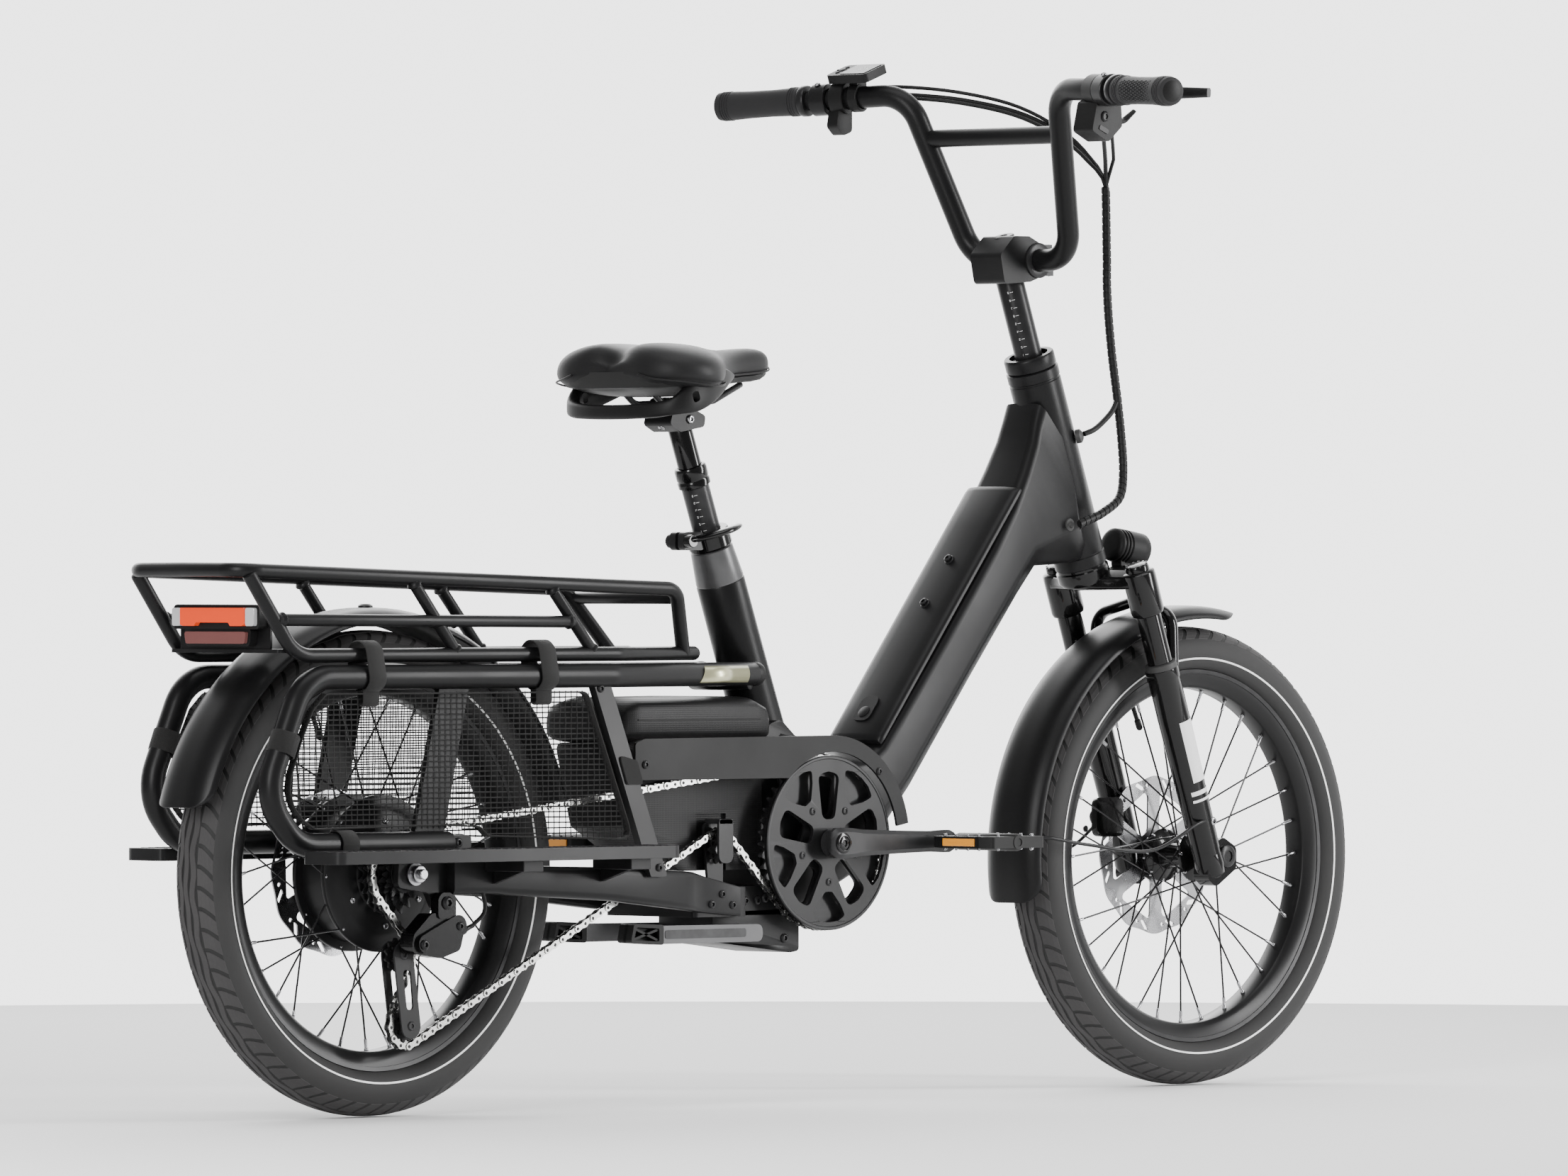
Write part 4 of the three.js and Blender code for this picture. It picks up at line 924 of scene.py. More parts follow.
# %% [markdown]
# ### Hollow tubes and cuts
# Tubes that hold other tubes have to be hollow, or the pieces would overlap. A hollow tube is turned with its bore
# in the profile. Where a tube crosses a plate, a boolean cut is simpler, and it is applied straight away.

# %% Hollow tubes and cuts


def pipe(outer, bore, start, direction, steps=48):
    """A hollow turned piece: outer profile, and a bore of one radius."""
    ends = (outer[0][1], outer[-1][1])
    ring = [*outer, (bore, ends[1]), (bore, ends[0])]
    direction = Vector(direction).normalized()
    side, up = frame_at(direction)
    rings = [
        [Vector(start) + direction * d + (side * math.cos(a) + up * math.sin(a)) * r for r, d in ring]
        for a in angles(steps)
    ]
    return rings_to_skin(rings, closed=True, caps=False)


def carve(piece, *shapes):
    """Cuts closed shapes out of a piece for good."""
    for number, shape in enumerate(shapes):
        cutter = keep(f"cutter{number}", shape, None, MOULDED, smooth=False)
        cut = piece.modifiers.new("cut", "BOOLEAN")
        cut.operation, cut.solver, cut.object = "DIFFERENCE", "EXACT", cutter
        solved = bpy.data.meshes.new_from_object(piece.evaluated_get(bpy.context.evaluated_depsgraph_get()))
        piece.modifiers.remove(cut)
        piece.data = solved
        bpy.data.objects.remove(cutter)
    piece.data.shade_smooth()
    piece.data.set_sharp_from_angle(angle=math.radians(38))
    return piece


print("hollow tubes and cuts ready")

# %% [markdown]
# ### Directions in the frame
# The steering axis, the seat tube and the battery bay all slant. Unit vectors along them let every later piece be
# made upright or flat, and then be laid along its own direction.

# %% Directions in the frame
STEER_DIR = (STEER_LOW - STEER_TOP).normalized()
SEAT_DIR = (SEAT_LOW - SEAT_TOP).normalized()
BAY_FOOT = Vector((738, 0, 383))
BAY_HEAD = Vector((969, 0, 674))
BAY_ALONG = (BAY_HEAD - BAY_FOOT).normalized()
BAY_OUT = Vector((-BAY_ALONG.z, 0, BAY_ALONG.x))
BAY_LENGTH = (BAY_HEAD - BAY_FOOT).length


def in_bay(shape):
    """Turns a shape made with x along the tube, y across and z out of the tube into its place."""
    points, faces = shape
    return [BAY_FOOT + BAY_ALONG * p[0] + Vector((0, p[1], 0)) + BAY_OUT * p[2] for p in points], faces


print("directions in the frame ready")

# %% [markdown]
# ### Frame tubes
# Now the frame itself: the lofted tube with its openings cut, then head tube, seat tube with its bare alloy
# sleeve, bottom bracket shell and the flat yoke behind it.

# %% Frame tubes
big_tube = keep("down_tube", tube_skin(), "frame", POWDER, stands_for="main_frame")
carve(
    big_tube,
    tube([on_steer(-60), on_steer(260)], HEAD_BORE, 32, domed=False),
    tube([on_seat(20), on_seat(-232)], SEAT_BORE, 32, domed=False),
    in_bay(extruded([(24, -34), (BAY_LENGTH - 6, -34), (BAY_LENGTH - 6, 34), (24, 34)], -58, 40, plane="xy")),
    tube([(CRANK[0], -60, CRANK[1]), (CRANK[0], 60, CRANK[1])], 10.2, 24, domed=False),
)
keep(
    "head_tube",
    pipe(
        [
            (27, -18), (29.6, -16.5), (29.6, -6), (28.6, -5), (28.6, -3.5), (29.4, -2.5), (29.4, 200),
            (28.6, 201.5), (28.6, 203), (29.6, 204), (29.6, 216), (27.5, 218)
        ],
        HEAD_BORE, STEER_TOP, STEER_DIR
    ),
    "frame", POWDER
)
keep(
    "seat_tube",
    pipe([(26.2, 40), (27, 41.5), (27.2, 96), (27.6, 170), (28, 232)], SEAT_BORE, SEAT_TOP, SEAT_DIR), "frame",
    POWDER
)
keep(
    "seat_sleeve", pipe([(22.6, 1), (23.6, 2), (26.8, 38), (26.2, 40)], SEAT_BORE, SEAT_TOP, SEAT_DIR), "frame",
    GREY_ALLOY
)
keep(
    "bottom_shell",
    pipe([(22, 0), (24, 1.5), (24, 86.5), (22, 88)], 10.4, (CRANK[0], -44, CRANK[1]), (0, 1, 0)), "frame",
    POWDER
)
keep(
    "yoke",
    extruded(
        rounded(
            [
                (425, -69.4), (504, -69.4), (520, -42), (600, -42), (600, 42), (520, 42), (504, 69.4),
                (425, 69.4)
            ],
            6
        ),
        206, 238, plane="xy"
    ),
    "frame", POWDER, bevel=3
)
print("main frame vertices", len(big_tube.data.vertices))

# %% [markdown]
# ### Around the cranks
# Under the seat tube the frame closes with a web, a mounting box for the stand and a bracket for the chain's
# idler. On the real frame they are cut plates, so each is an outline with rounded corners, extruded. A stretched
# cube would do for the box, but then its slanted underside and its corners would have to be cut afterwards.

# %% Gusset under the seat tube, stand mounting box and idler bracket
seat_web = keep(
    "seat_web",
    extruded(
        rounded([(556, 256), (640, 256), (655, 384), (612, 402), (590, 420), (570, 414), (560, 380)], 12), -37,
        37
    ),
    "frame", POWDER, bevel=5, segments=3
)
carve(seat_web, tube([on_seat(20), on_seat(-232)], SEAT_BORE, 32, domed=False))
stand_box = keep(
    "stand_box", extruded(rounded([(480, 210), (480, 178), (600, 164), (613, 166), (613, 212)], 5), -42, 42),
    "frame", POWDER, bevel=3
)
carve(stand_box, tube([(520, -60, 188), (520, 60, 188)], 9.2, 20, domed=False))
keep(
    "idler_bracket", extruded(rounded([(462, 308), (492, 308), (492, 232), (470, 232)], 7), -46, -42.4),
    "frame", ANODISED, bevel=0.8
)
cover = Parts().add(
    extruded(rounded([(466, 312), (488, 312), (488, 264), (466, 264)], [5, 5, 10, 10]), -66, -63)
)
cover.add(box(467, 487, -66, -43, 307, 312))
keep("idler_cover", cover, "frame", ANODISED, bevel=0.8)
keep(
    "idler_axle", turned([(4, 0), (4, 12), (7, 12), (7, 14.5), (5.5, 16)], (477, -42.4, 279), (0, -1, 0), 24),
    "frame", STEEL
)
screws = Parts()
for x, z in [(530, 222), (548, 222), (560, 224)]:
    screws.add(bolt((x, -42, z), (0, -1, 0), 4.6, 2.6))
for x, z in [(500, 188), (590, 180)]:
    screws.add(bolt((x, -42, z), (0, -1, 0), 5.0, 2.6))
keep("frame_screws", screws.mirror(), "frame", ANODISED)
keep(
    "cable_ports",
    Parts().add(turned([(7.4, 0), (7, 1.6), (4, 2.4), (3.2, 4.6)], (1051, -33.5, 634.2), (0.1, -1, 0), 24)).add(
        turned([(8, -4), (8, 1), (6, 2.6), (3.6, 4)], (1072, -29.5, 734), (0.55, -0.8, 0.2), 24)
    ),
    "frame", PORT_GREY
)

# %% [markdown]
# ## Battery
# The battery slides into the upper face of the tube. What shows is its crowned cover: a wide rounded slab
# with a fine seam round it, a lock cover near the lower end, and two bolts for a bottle cage.

# %% Battery cover


def cover_sections():
    rings = []
    for a, low in [
        (10, 0.62), (12, 0.86), (18, 1.0), (60, 1.0), (BAY_LENGTH - 60, 1.0), (BAY_LENGTH - 10, 1.0),
        (BAY_LENGTH - 4, 0.9), (BAY_LENGTH - 2, 0.7)
    ]:
        half = 41 * (0.93 + 0.07 * low)
        crown = 10.6 * low
        rings.append(
            [
                Vector((a, y, o)) for y,
                o in [
                    (-half, 0.5), (-half, 3.2 * low), (-half * 0.985, 5.2 * low), (-half * 0.92, 7.2 * low),
                    (-half * 0.8, 8.6 * low), (-half * 0.5, crown * 0.96), (0, crown),
                    (half * 0.5, crown * 0.96), (half * 0.8, 8.6 * low), (half * 0.92, 7.2 * low),
                    (half * 0.985, 5.2 * low), (half, 3.2 * low), (half, 0.5)
                ]
            ]
        )
    return rings_to_skin(rings)


keep(
    "battery_cover", in_bay(cover_sections()), "battery_pack", POWDER, stands_for="battery",
    angle=50
)
keep(
    "battery_case",
    in_bay(
        extruded(
            rounded([(26, -31.5), (BAY_LENGTH - 8, -31.5), (BAY_LENGTH - 8, 31.5), (26, 31.5)], 6), -56, 0.5,
            plane="xy"
        )
    ),
    "battery_pack", MOULDED, bevel=3
)
lock = Parts().add(
    in_bay(extruded(rounded([(34, -13), (68, -13), (68, 13), (34, 13)], 10, 8), 10.0, 12.4, plane="xy"))
)
lock.add(in_bay(turned([(7.5, 0), (7.5, 0.8), (6.6, 1.3)], (46, 0, 12.2), (0, 0, 1), 28)))
keep("lock_cover", lock, "battery_pack", MOULDED, bevel=0.6)
cage_bolts = Parts()
for a in (200, 262):
    cage_bolts.add(
        in_bay(
            turned(
                [(6, -1), (6, 1.0), (4.6, 1.6), (4.6, 4.6), (3.4, 5.4), (2.2, 5.4), (2.2, 3.0)], (a, 0, 10.2),
                (0, 0, 1), 24
            )
        )
    )
keep("bottle_bolts", cage_bolts, "battery_pack", ANODISED)
print("battery bay", round(BAY_LENGTH), "mm long")

# %% [markdown]
# ## Housing, rear frame and hoops
# Behind the seat tube sits a soft, pillow-shaped plastic housing with a woven texture, on a lower box. On each
# side a chainstay box runs back to the dropout, and a thick tube bends into a hoop that carries the net.

# %% Housing
lower_box = keep(
    "housing_low",
    extruded(rounded([(322, 396), (345, 305), (430, 256), (553, 256), (556, 330), (553, 396)], 9), -42, 42),
    "frame", TEXTURED, stands_for="controller_housing", bevel=4, segments=3
)
carve(lower_box, box(455, 500, -70, -38, 250, 318))


def pillow_rings():
    rings = []
    for x, low, high, half in [
        (323, 402, 424, 52), (324.5, 398, 431, 58), (331, 396, 440, 62.5), (350, 395.4, 445.5, 64),
        (450, 395.2, 446.4, 64), (528, 395.4, 445.5, 64), (545, 396, 438, 62.5), (551, 398, 429, 58),
        (553, 402, 420, 52)
    ]:
        ring = []
        for k in range(36):
            a = 2 * math.pi * k / 36
            c, s = math.cos(a), math.sin(a)
            y = half * math.copysign(abs(c) ** 0.5, c)
            z = (low + high) / 2 + (high - low) / 2 * math.copysign(abs(s) ** 0.42, s)
            ring.append((x, y, z))
        rings.append(ring)
    return rings_to_skin(rings)


keep("housing_pod", pillow_rings(), "frame", TEXTURED, angle=60)
seam = Parts()
for side in (-1, 1):
    seam.add(swept(bent([(345, side * 63.6, 421), (532, side * 63.6, 421)], 1), circle(0.9, 8)))
keep("housing_seam", seam, "frame", PAINTED_SHADE_AND_SEAM)
print("housing ready")

# %% [markdown]
# ### Rear frame sides
# Each side has a tapering box stay, a dropout plate for the axle and a thick tube bent into a hoop. The stay's
# section changes along its length, so it is lofted through rounded sections. The hoop is a circle swept along a
# path with rounded corners, as a tube bender makes it. One side is made and mirrored.

# %% Rear frame sides
HOOP_CORNERS = [
    (551, -40, 470), (275, -92, 470), (-176, -92, 470), (-232, -92, 345), (-186, -92, 293), (36, -92, 293)
]
HOOP_PATH = bent(HOOP_CORNERS, 52, 9)


def stay_skin():
    rings = []
    for x, low, high, inner, outer in [
        (48, 237, 289, 70, 88), (66, 237, 290, 70, 89.5), (110, 237, 276, 70, 90), (132, 235, 268, 70, 90),
        (210, 231, 265, 70, 90), (286, 226.5, 263, 70, 90), (393, 215, 257.5, 70, 90), (412, 213, 256, 70, 84),
        (438, 211, 250, 70, 75), (490, 206.5, 239, 70, 75)
    ]:
        ring = rounded([(outer, low), (outer, high), (inner, high), (inner, low)], [8, 8, 5, 5], 4)
        rings.append([(x, -y, z) for y, z in ring])
    return rings_to_skin(rings)


print("rear frame sides ready")

# %% [markdown]
# ### Stays, hoops and struts
# The stays, dropouts, hoops and flat struts are each mirrored to the other side as they are kept. Their screws
# are gathered in one piece.

# %% Stays, hoops and struts
stays = Parts().add(stay_skin())
keep("chainstays", stays.mirror(), "frame", POWDER, stands_for="rear_frame", angle=50)
drop = Parts().add(
    extruded(
        rounded(
            [
                (-24, 246), (-22, 285), (0, 302), (76, 302), (76, 240), (58, 236), (46, 222), (30, 222),
                (20, 240)
            ],
            7
        ),
        -76, -68, [circle(7.8, 24, (0, WHEEL_R))]
    )
)
drop.add(extruded(rounded([(16, 285), (70, 285), (70, 301), (16, 301)], 5), -90.4, -74))
keep("dropouts", drop.mirror(), "frame", POWDER, bevel=1.2)
hoops = Parts().add(tube(HOOP_PATH, 13, 24))
keep("side_hoops", hoops.mirror(), "frame", POWDER)
caps = Parts()
caps.add(tube([Vector((536, -42.8, 470)), Vector((551.6, -39.9, 470))], 13.5, 28))
keep("hoop_end_caps", caps.mirror(), "frame", MOULDED)
struts = Parts().add(extruded(rounded([(245, 466), (270, 466), (358, 252), (333, 252)], 3), -96, -86))
keep("flat_struts", struts.mirror(), "frame", ANODISED, bevel=1.4)
wheel_struts = Parts().add(extruded([(30, 462), (74, 462), (34, 292), (-10, 292)], -84, -77))
keep("wheel_struts", wheel_struts.mirror(), "frame", POWDER, bevel=2)
keep("hoop_bridge", tube(bent([(536, -45, 461), (520, 0, 461), (536, 45, 461)], 30), 9, 20), "frame", POWDER)
keep("stay_bridge", box(296, 312, -80, 80, 232, 252), "frame", POWDER, bevel=3)
joints = Parts()
joints.add(bolt((50, -90.4, 293), (0, -1, 0), 5.5, 3))
for x, z in [(345, 262), (257, 456)]:
    joints.add(bolt((x, -96, z), (0, -1, 0), 4.4, 2.4))
for x, z in [(446, 220), (462, 231), (478, 219)]:
    joints.add(bolt((x, -75, z), (0, -1, 0), 4.4, 2.4))
keep("rear_frame_bolts", joints.mirror(), "frame", ANODISED)
print("stays, hoops and struts ready")

# %% [markdown]
# ### Foil label field
# A plain pale gold field is wrapped on the end of each hoop, where the real one has a label. It is an arc strip
# standing half a millimetre proud, thickened by a modifier.

# %% Foil label field
name_plate = Parts()
for k in range(7):
    a = math.radians(-42 + 14 * k)
    name_plate.points += [
        (x, -(y0 + 13.5 * math.cos(a)), 470 + 13.5 * math.sin(a)) for x,
        y0 in ((430 + 1.2 * k, 62.6), (520, 45.7))
    ]
name_plate.faces += [[2 * k, 2 * k + 1, 2 * k + 3, 2 * k + 2] for k in range(6)]
foil = keep("gold_foil", name_plate.mirror(), "frame", PLATE_GOLD)
thick = foil.modifiers.new("thickness", "SOLIDIFY")
thick.thickness = 0.0006
thick.offset = 0
print("rear frame done")

# %% [markdown]
# ### Chain guard
# The guard is a moulded strip that runs over the chain and curls round the chainring. It could be bent with a
# modifier, but an arc whose points come from a formula stays exactly concentric with the cranks.

# %% Chain guard


def arc_points(cx, cz, radius, start, end, steps):
    turns = [math.radians(start + (end - start) * k / steps) for k in range(steps + 1)]
    return [(cx + radius * math.cos(a), cz + radius * math.sin(a)) for a in turns]


guard_face = [
    (333, 356), (330, 359), (330, 394), (332, 397), (345, 401)
] + arc_points(*CRANK, 118, 90, 10, 24) + arc_points(*CRANK, 100, 10, 134, 30) + [(425, 356)]
guard = Parts().add(extruded(guard_face, -75, -72))
guard.add(
    extruded(
        [
            (332, 394.6), (345, 398.8), *arc_points(*CRANK, 115.8, 90, 10, 24),
            *arc_points(*CRANK, 118, 10, 90, 24), (345, 401), (330, 397)
        ],
        -74, -65.6
    )
)
keep("chain_guard", guard, "frame", MOULDED, stands_for="chain_guard", bevel=0.7)
keep(
    "guard_bolts",
    Parts().add(bolt((345, -75, 373), (0, -1, 0), 4.6, 2.2)).add(bolt((705, -75, 362), (0, -1, 0), 4.2, 2.0)),
    "frame", ANODISED
)

# %% [markdown]
# ## Rear carrier
# The rack is a welded basket of thin tube: a rail that loops right round the top, a lower rail under it, slanted
# struts and a bar half way up. The ends of the struts show a small weld swell, made here as a collar.

# %% Rack
RAIL = [(-262, 0, 584), (-262, -87, 583.5), (380, -87, 563), (421, -56, 493)]
LOW_RAIL = [(-250, -87, 580), (-184, -87, 493), (290, -87, 493), (445, -50, 493)]
rack_side = Parts()
rack_side.add(tube(bent(RAIL, 26, 8), 7.8, 18, domed=False))
rack_side.add(tube(bent(LOW_RAIL, 45, 8), 7.8, 18))
welded = [
    ((-15, -87, 574), (53, -87, 493)), ((189, -87, 568), (256, -87, 493)), ((-212, -90, 531), (222, -90, 528))
]
for a, b in welded:
    rack_side.add(tube([a, b], 6.5, 16))
    for end, other in ((Vector(a), Vector(b)), (Vector(b), Vector(a))):
        inward = (other - end).normalized()
        rack_side.add(turned([(6.4, 4), (8.2, 6.2), (8.4, 7.6), (6.9, 9.4), (6.4, 10.6)], end, inward, 18))
keep("rack_tubes", rack_side.mirror(), "frame", POWDER, stands_for="rear_rack")
rack_cross = Parts()
rack_cross.add(tube([(388, -82, 553), (388, 82, 553)], 6.5, 16))
for x in (20, 225):
    rack_cross.add(tube([(x, -86, 493), (x, 86, 493)], 5.6, 14))
keep("rack_cross_bars", rack_cross, "frame", POWDER)
holes = [circle(5, 16, (-186, y)) for y in (-45, 45)]
keep(
    "rack_plate",
    extruded(rounded([(-205, -84), (-172, -84), (-172, 84), (-205, 84)], 4), 496, 500, holes, plane="xy"),
    "frame", POWDER, bevel=0.8
)
keep(
    "lamp_plate", extruded(rounded([(-70, 498), (70, 498), (70, 545), (-70, 545)], 5), -203, -200, plane="yz"),
    "frame", POWDER, bevel=0.6
)
print("rack ready")

# %% [markdown]
# ### Tail light
# A dark housing holds a lit red lens between two clear ends, with a reflector under it. Each is an extruded
# outline of its own, so every lens has its own finish and the gaps between them are real gaps.

# %% Tail light and reflector
tail_body = Parts().add(
    extruded(rounded([(-67, 521), (67, 521), (67, 547), (-67, 547)], 6), -216, -203.4, plane="yz")
)
tail_body.add(extruded(rounded([(-49, 503), (49, 503), (52, 522), (-52, 522)], 5), -214, -203.4, plane="yz"))
keep("tail_housing", tail_body, "frame", MOULDED, stands_for="tail_light", bevel=1.2)
red = [
    (-50, 526), (-46, 524.4), (-28, 524.4), (-25, 528), (25, 528), (28, 524.4), (46, 524.4), (50, 526),
    (50, 543.6), (-50, 543.6)
]
keep(
    "tail_lens", extruded(rounded(red, 1.5, 3), -222.4, -214, plane="yz"), "frame", TAIL_LENS, bevel=1.4,
    segments=3
)
ends = Parts()
for low, high in ((-63.5, -50.6), (50.6, 63.5)):
    ends.add(
        extruded(
            rounded([(low, 524.4), (high, 524.4), (high, 543.6), (low, 543.6)], 3), -221.4, -214, plane="yz"
        )
    )
keep("tail_clear_ends", ends, "frame", CLEAR_LENS, bevel=1.2)
# The reflector under the lens glows faintly: painted light, as it is no lamp.
keep(
    "tail_reflector",
    extruded(rounded([(-45.5, 505.6), (45.5, 505.6), (48, 518.4), (-48, 518.4)], 3), -218.2, -212, plane="yz"),
    "frame", PAINTED_GLOW_REFLECTOR, bevel=0.8
)
print("tail light ready")

# %% [markdown]
# ## Side nets
# Each hoop is filled by an open net, stretched and hemmed with a dark tape. The threads are real: fine bars that
# go over and under each other, cut off where they meet the hem. A texture would look flat from close by.

# %% Net threads and hem
NET_EDGE = [
    (-150, 454), (-170, 436), (-187, 402), (-201, 366), (-203, 350), (-197, 333), (-184, 319), (-166, 309),
    (20, 309), (78, 306), (92, 296), (310, 292), (241, 454)
]
NET_Y = -92


def spans(edge, value, axis):
    """Where a line at one value of x or z lies inside the outline."""
    hits = []
    for a, b in zip(edge, edge[1:] + edge[:1]):
        if (a[axis] - value) * (b[axis] - value) < 0:
            share = (value - a[axis]) / (b[axis] - a[axis])
            hits.append(a[1 - axis] + share * (b[1 - axis] - a[1 - axis]))
    hits.sort()
    return list(zip(hits[::2], hits[1::2]))


def net_panel(side):
    threads = Parts()
    made = 0.0
    thick = 0.75
    for axis, pitch, start, end in ((0, 8.5, -200, 308), (1, 5.6, 296, 452)):
        value = start
        row = 0
        while value < end:
            for low, high in spans(NET_EDGE, value, axis):
                steps = max(2, int((high - low) / 17))
                path = []
                for k in range(steps + 1):
                    along = low + (high - low) * k / steps
                    sway = 0.45 * (-1) ** (k + row) + 0.3 * math.sin(along / 31 + value / 23)
                    wander = 0.35 * math.sin(along / 41 + value)
                    x, z = (value + wander, along) if axis == 0 else (along, value + wander)
                    path.append((x, side * (NET_Y + sway), z))
                threads.add(
                    swept(path, [(-thick, 0), (0, -0.45), (thick, 0), (0, 0.45)], hint=Vector((0, 1, 0)))
                )
                made += (high - low)
            value += pitch
            row += 1
    return threads, made


def hem(side):
    inner = []
    centre = Vector((60, 378))
    for p in rounded(NET_EDGE, 12, 4):
        inner.append(Vector(p) + (centre - Vector(p)).normalized() * 4)
    path = [(p.x, side * NET_Y, p.y) for p in inner]
    return swept(
        path, [(-0.9, -4.6), (0.9, -4.6), (0.9, 4.6), (-0.9, 4.6)], closed=True, hint=Vector((0, 1, 0))
    )


for side, word in ((1, "right"), (-1, "left")):
    threads, made = net_panel(side)
    net = keep(
        f"net_{word}", threads, "frame", NET_THREAD, stands_for=f"side_net_{word}", smooth=False
    )
    edge_tape = keep(f"net_hem_{word}", hem(side), "frame", STRAP, bevel=0.4)
    print(net.name, "threads", round(made / 1000, 1), "m long in all")

# %% [markdown]
# The nets hang from cloth straps with hook-and-loop ends. Each strap is a flat band wrapped close round one or
# two tubes, modelled directly as a closed loop; a simulation would only loosen it.

# %% Straps


def band(centres, radius, axis, width=22, thick=1.6, bulge=0.0):
    """A flat band wrapped round one or two parallel tubes whose middles are given."""
    axis = Vector(axis).normalized()
    a = Vector(centres[0])
    b = Vector(centres[-1])
    line = (b - a).normalized() if (b - a).length > 1 else frame_at(axis)[0]
    out = axis.cross(line).normalized()
    loop = []
    for k in range(13):
        t = math.pi * k / 12
        loop.append(b + (out * math.cos(t) + line * math.sin(t)) * radius)
    for k in range(13):
        t = math.pi * k / 12
        loop.append(a + (-out * math.cos(t) - line * math.sin(t)) * radius)
    rings = []
    for k, p in enumerate(loop):
        heading = (loop[(k + 1) % len(loop)] - loop[k - 1]).normalized()
        normal = heading.cross(axis).normalized()
        wave = 0.4 * math.sin(k * 1.7)
        rings.append(
            [
                p + axis * (s * width / 2 + wave * 0.6) + normal * o for s,
                o in [
                    (-1, 0), (-0.9, thick * 0.5), (0, thick * 0.62 + bulge), (0.9, thick * 0.5), (1, 0),
                    (0.9, -thick * 0.5), (-0.9, -thick * 0.5)
                ]
            ]
        )
    return rings_to_skin(rings, closed=True, caps=False)


straps = Parts()
for x in (-82, 172):
    straps.add(band([(x, -92, 470), (x, -87, 493)], 15.2, (1, 0, 0), 25))
straps.add(band([(-205, -92, 400), (-205, -92, 400)], 15.0, (0.4, 0, 1), 24))
straps.add(band([(-120, -92, 293), (-120, -92, 293)], 15.0, (1, 0, 0), 24))
straps.add(band([(-82, -92, 456), (-82, -92, 444)], 4.2, (1, 0, 0), 24))
straps.add(band([(172, -92, 456), (172, -92, 444)], 4.2, (1, 0, 0), 24))
straps.add(extruded(rounded([(284, 384), (310, 378), (320, 352), (296, 352)], 4), -98.2, -96.4))
straps.add(extruded(rounded([(278, 380), (298, 380), (310, 352), (290, 350)], 4), -86, -84.4))
keep("net_straps", straps.mirror(), "frame", STRAP, bevel=0.3)
print("straps ready")

# %% [markdown]
# ## Footboards
# A slim moulded board lies along each side, resting on brackets from the frame. Its top has fine raised
# ribs for grip and the edge is chamfered, so it catches a thin line of light all round.

# %% Footboards
for side, word in ((-1, "right"), (1, "left")):
    outline = rounded([(-195, -167), (312, -167), (312, -110), (-195, -110)], [12, 12, 8, 8])
    if side > 0:
        outline = [(x, -y) for x, y in outline]
    deck = keep(
        f"board_{word}", extruded(outline, 274, 287.4, plane="xy"), "frame", ANODISED,
        stands_for=f"footboard_{word}", bevel=2.2, segments=3
    )
    ribs = Parts()
    for k in range(47):
        x = -180 + 10.4 * k
        ribs.add(box(x, x + 3.2, *sorted((side * 119, side * 158)), 287.2, 288.0))
    keep(f"board_ribs_{word}", ribs, "frame", GRIP, smooth=False)
    gussets = Parts()
    for x in (90, 250):
        gussets.add(box(x, x + 30, *sorted((side * 90.4, side * 150)), 262, 276))
        gussets.add(
            extruded([(90.6 * side, 248), (90.6 * side, 263), (140 * side, 263)], x + 12, x + 18, plane="yz")
        )
    keep(f"board_brackets_{word}", gussets, "frame", POWDER, bevel=1.0)
print("footboards ready")

# %% [markdown]
# ## Mudguards
# Each mudguard is a crowned strip bent round the wheel. Its ends are rounded, so the strip is made as a grid over
# angle and width, where the width shrinks along a curve near each end, and then given thickness.

# %% Mudguards


def mudguard(centre_x, start, end, tip_round, foot_round, half=42):
    rows, columns = 72, 16
    grid = []
    total = math.radians(end - start) * 278
    for i in range(rows + 1):
        share = i / rows
        share = 0.5 - 0.5 * math.cos(math.pi * share)
        a = math.radians(start + (end - start) * share)
        from_tip, from_foot = share * total, (1 - share) * total
        width = half
        for distance, corner in ((from_tip, tip_round), (from_foot, foot_round)):
            if distance < corner:
                t = 1 - distance / corner
                width = min(width, half - corner * (1 - math.sqrt(max(1 - t * t, 0))) * min(1, half / corner))
        for k in range(columns + 1):
            y = max(width, 3) * (2 * k / columns - 1)
            r = 283.6 - 13.5 * abs(y / 42) ** 3.6
            grid.append((centre_x + r * math.cos(a), y, WHEEL_R + r * math.sin(a)))
    wide = columns + 1
    corners = [i * wide + k for i in range(rows) for k in range(columns)]
    return grid, [[c, c + 1, c + wide + 1, c + wide] for c in corners]


def mudguard_piece(name, body, stands_for, *settings):
    piece = keep(name, mudguard(*settings), body, POWDER, stands_for=stands_for, angle=70)
    skin = piece.modifiers.new("thickness", "SOLIDIFY")
    skin.thickness = 0.0026
    first = piece.data.polygons[0]
    outward = first.normal.dot(first.center - at(settings[0], 0, WHEEL_R))
    skin.offset = -1 if outward > 0 else 1
    return piece


mudguard_piece("rear_mudguard", "frame", "rear_fender", 0, 14, 165, 22, 24)
mudguard_piece("front_mudguard", "fork_legs", "front_fender", WHEELBASE, 76, 190, 40, 22)
fender_bolts = Parts().add(turned([(8, 0), (8, 2), (5, 4)], (0, 0, 543.4), (0, 0, 1), 24))
keep("rear_mudguard_bolt", fender_bolts, "frame", ANODISED)
print("mudguards ready")

# %% [markdown]
# ## Wheels
# A tyre is turned about its axle from a smooth section. Its tread is built on top: wavy ribs that run round the
# wheel and slanted blocks on the shoulders. A thin white band on each side wall glows in headlights.

# %% Tyre


def tyre_surface(y):
    """Radius of the tyre's outside at a distance from its middle."""
    share = min(abs(y) / 32.6, 1)
    return 229.5 + 28.9 * math.sqrt(max(1 - share ** 2.3, 0))


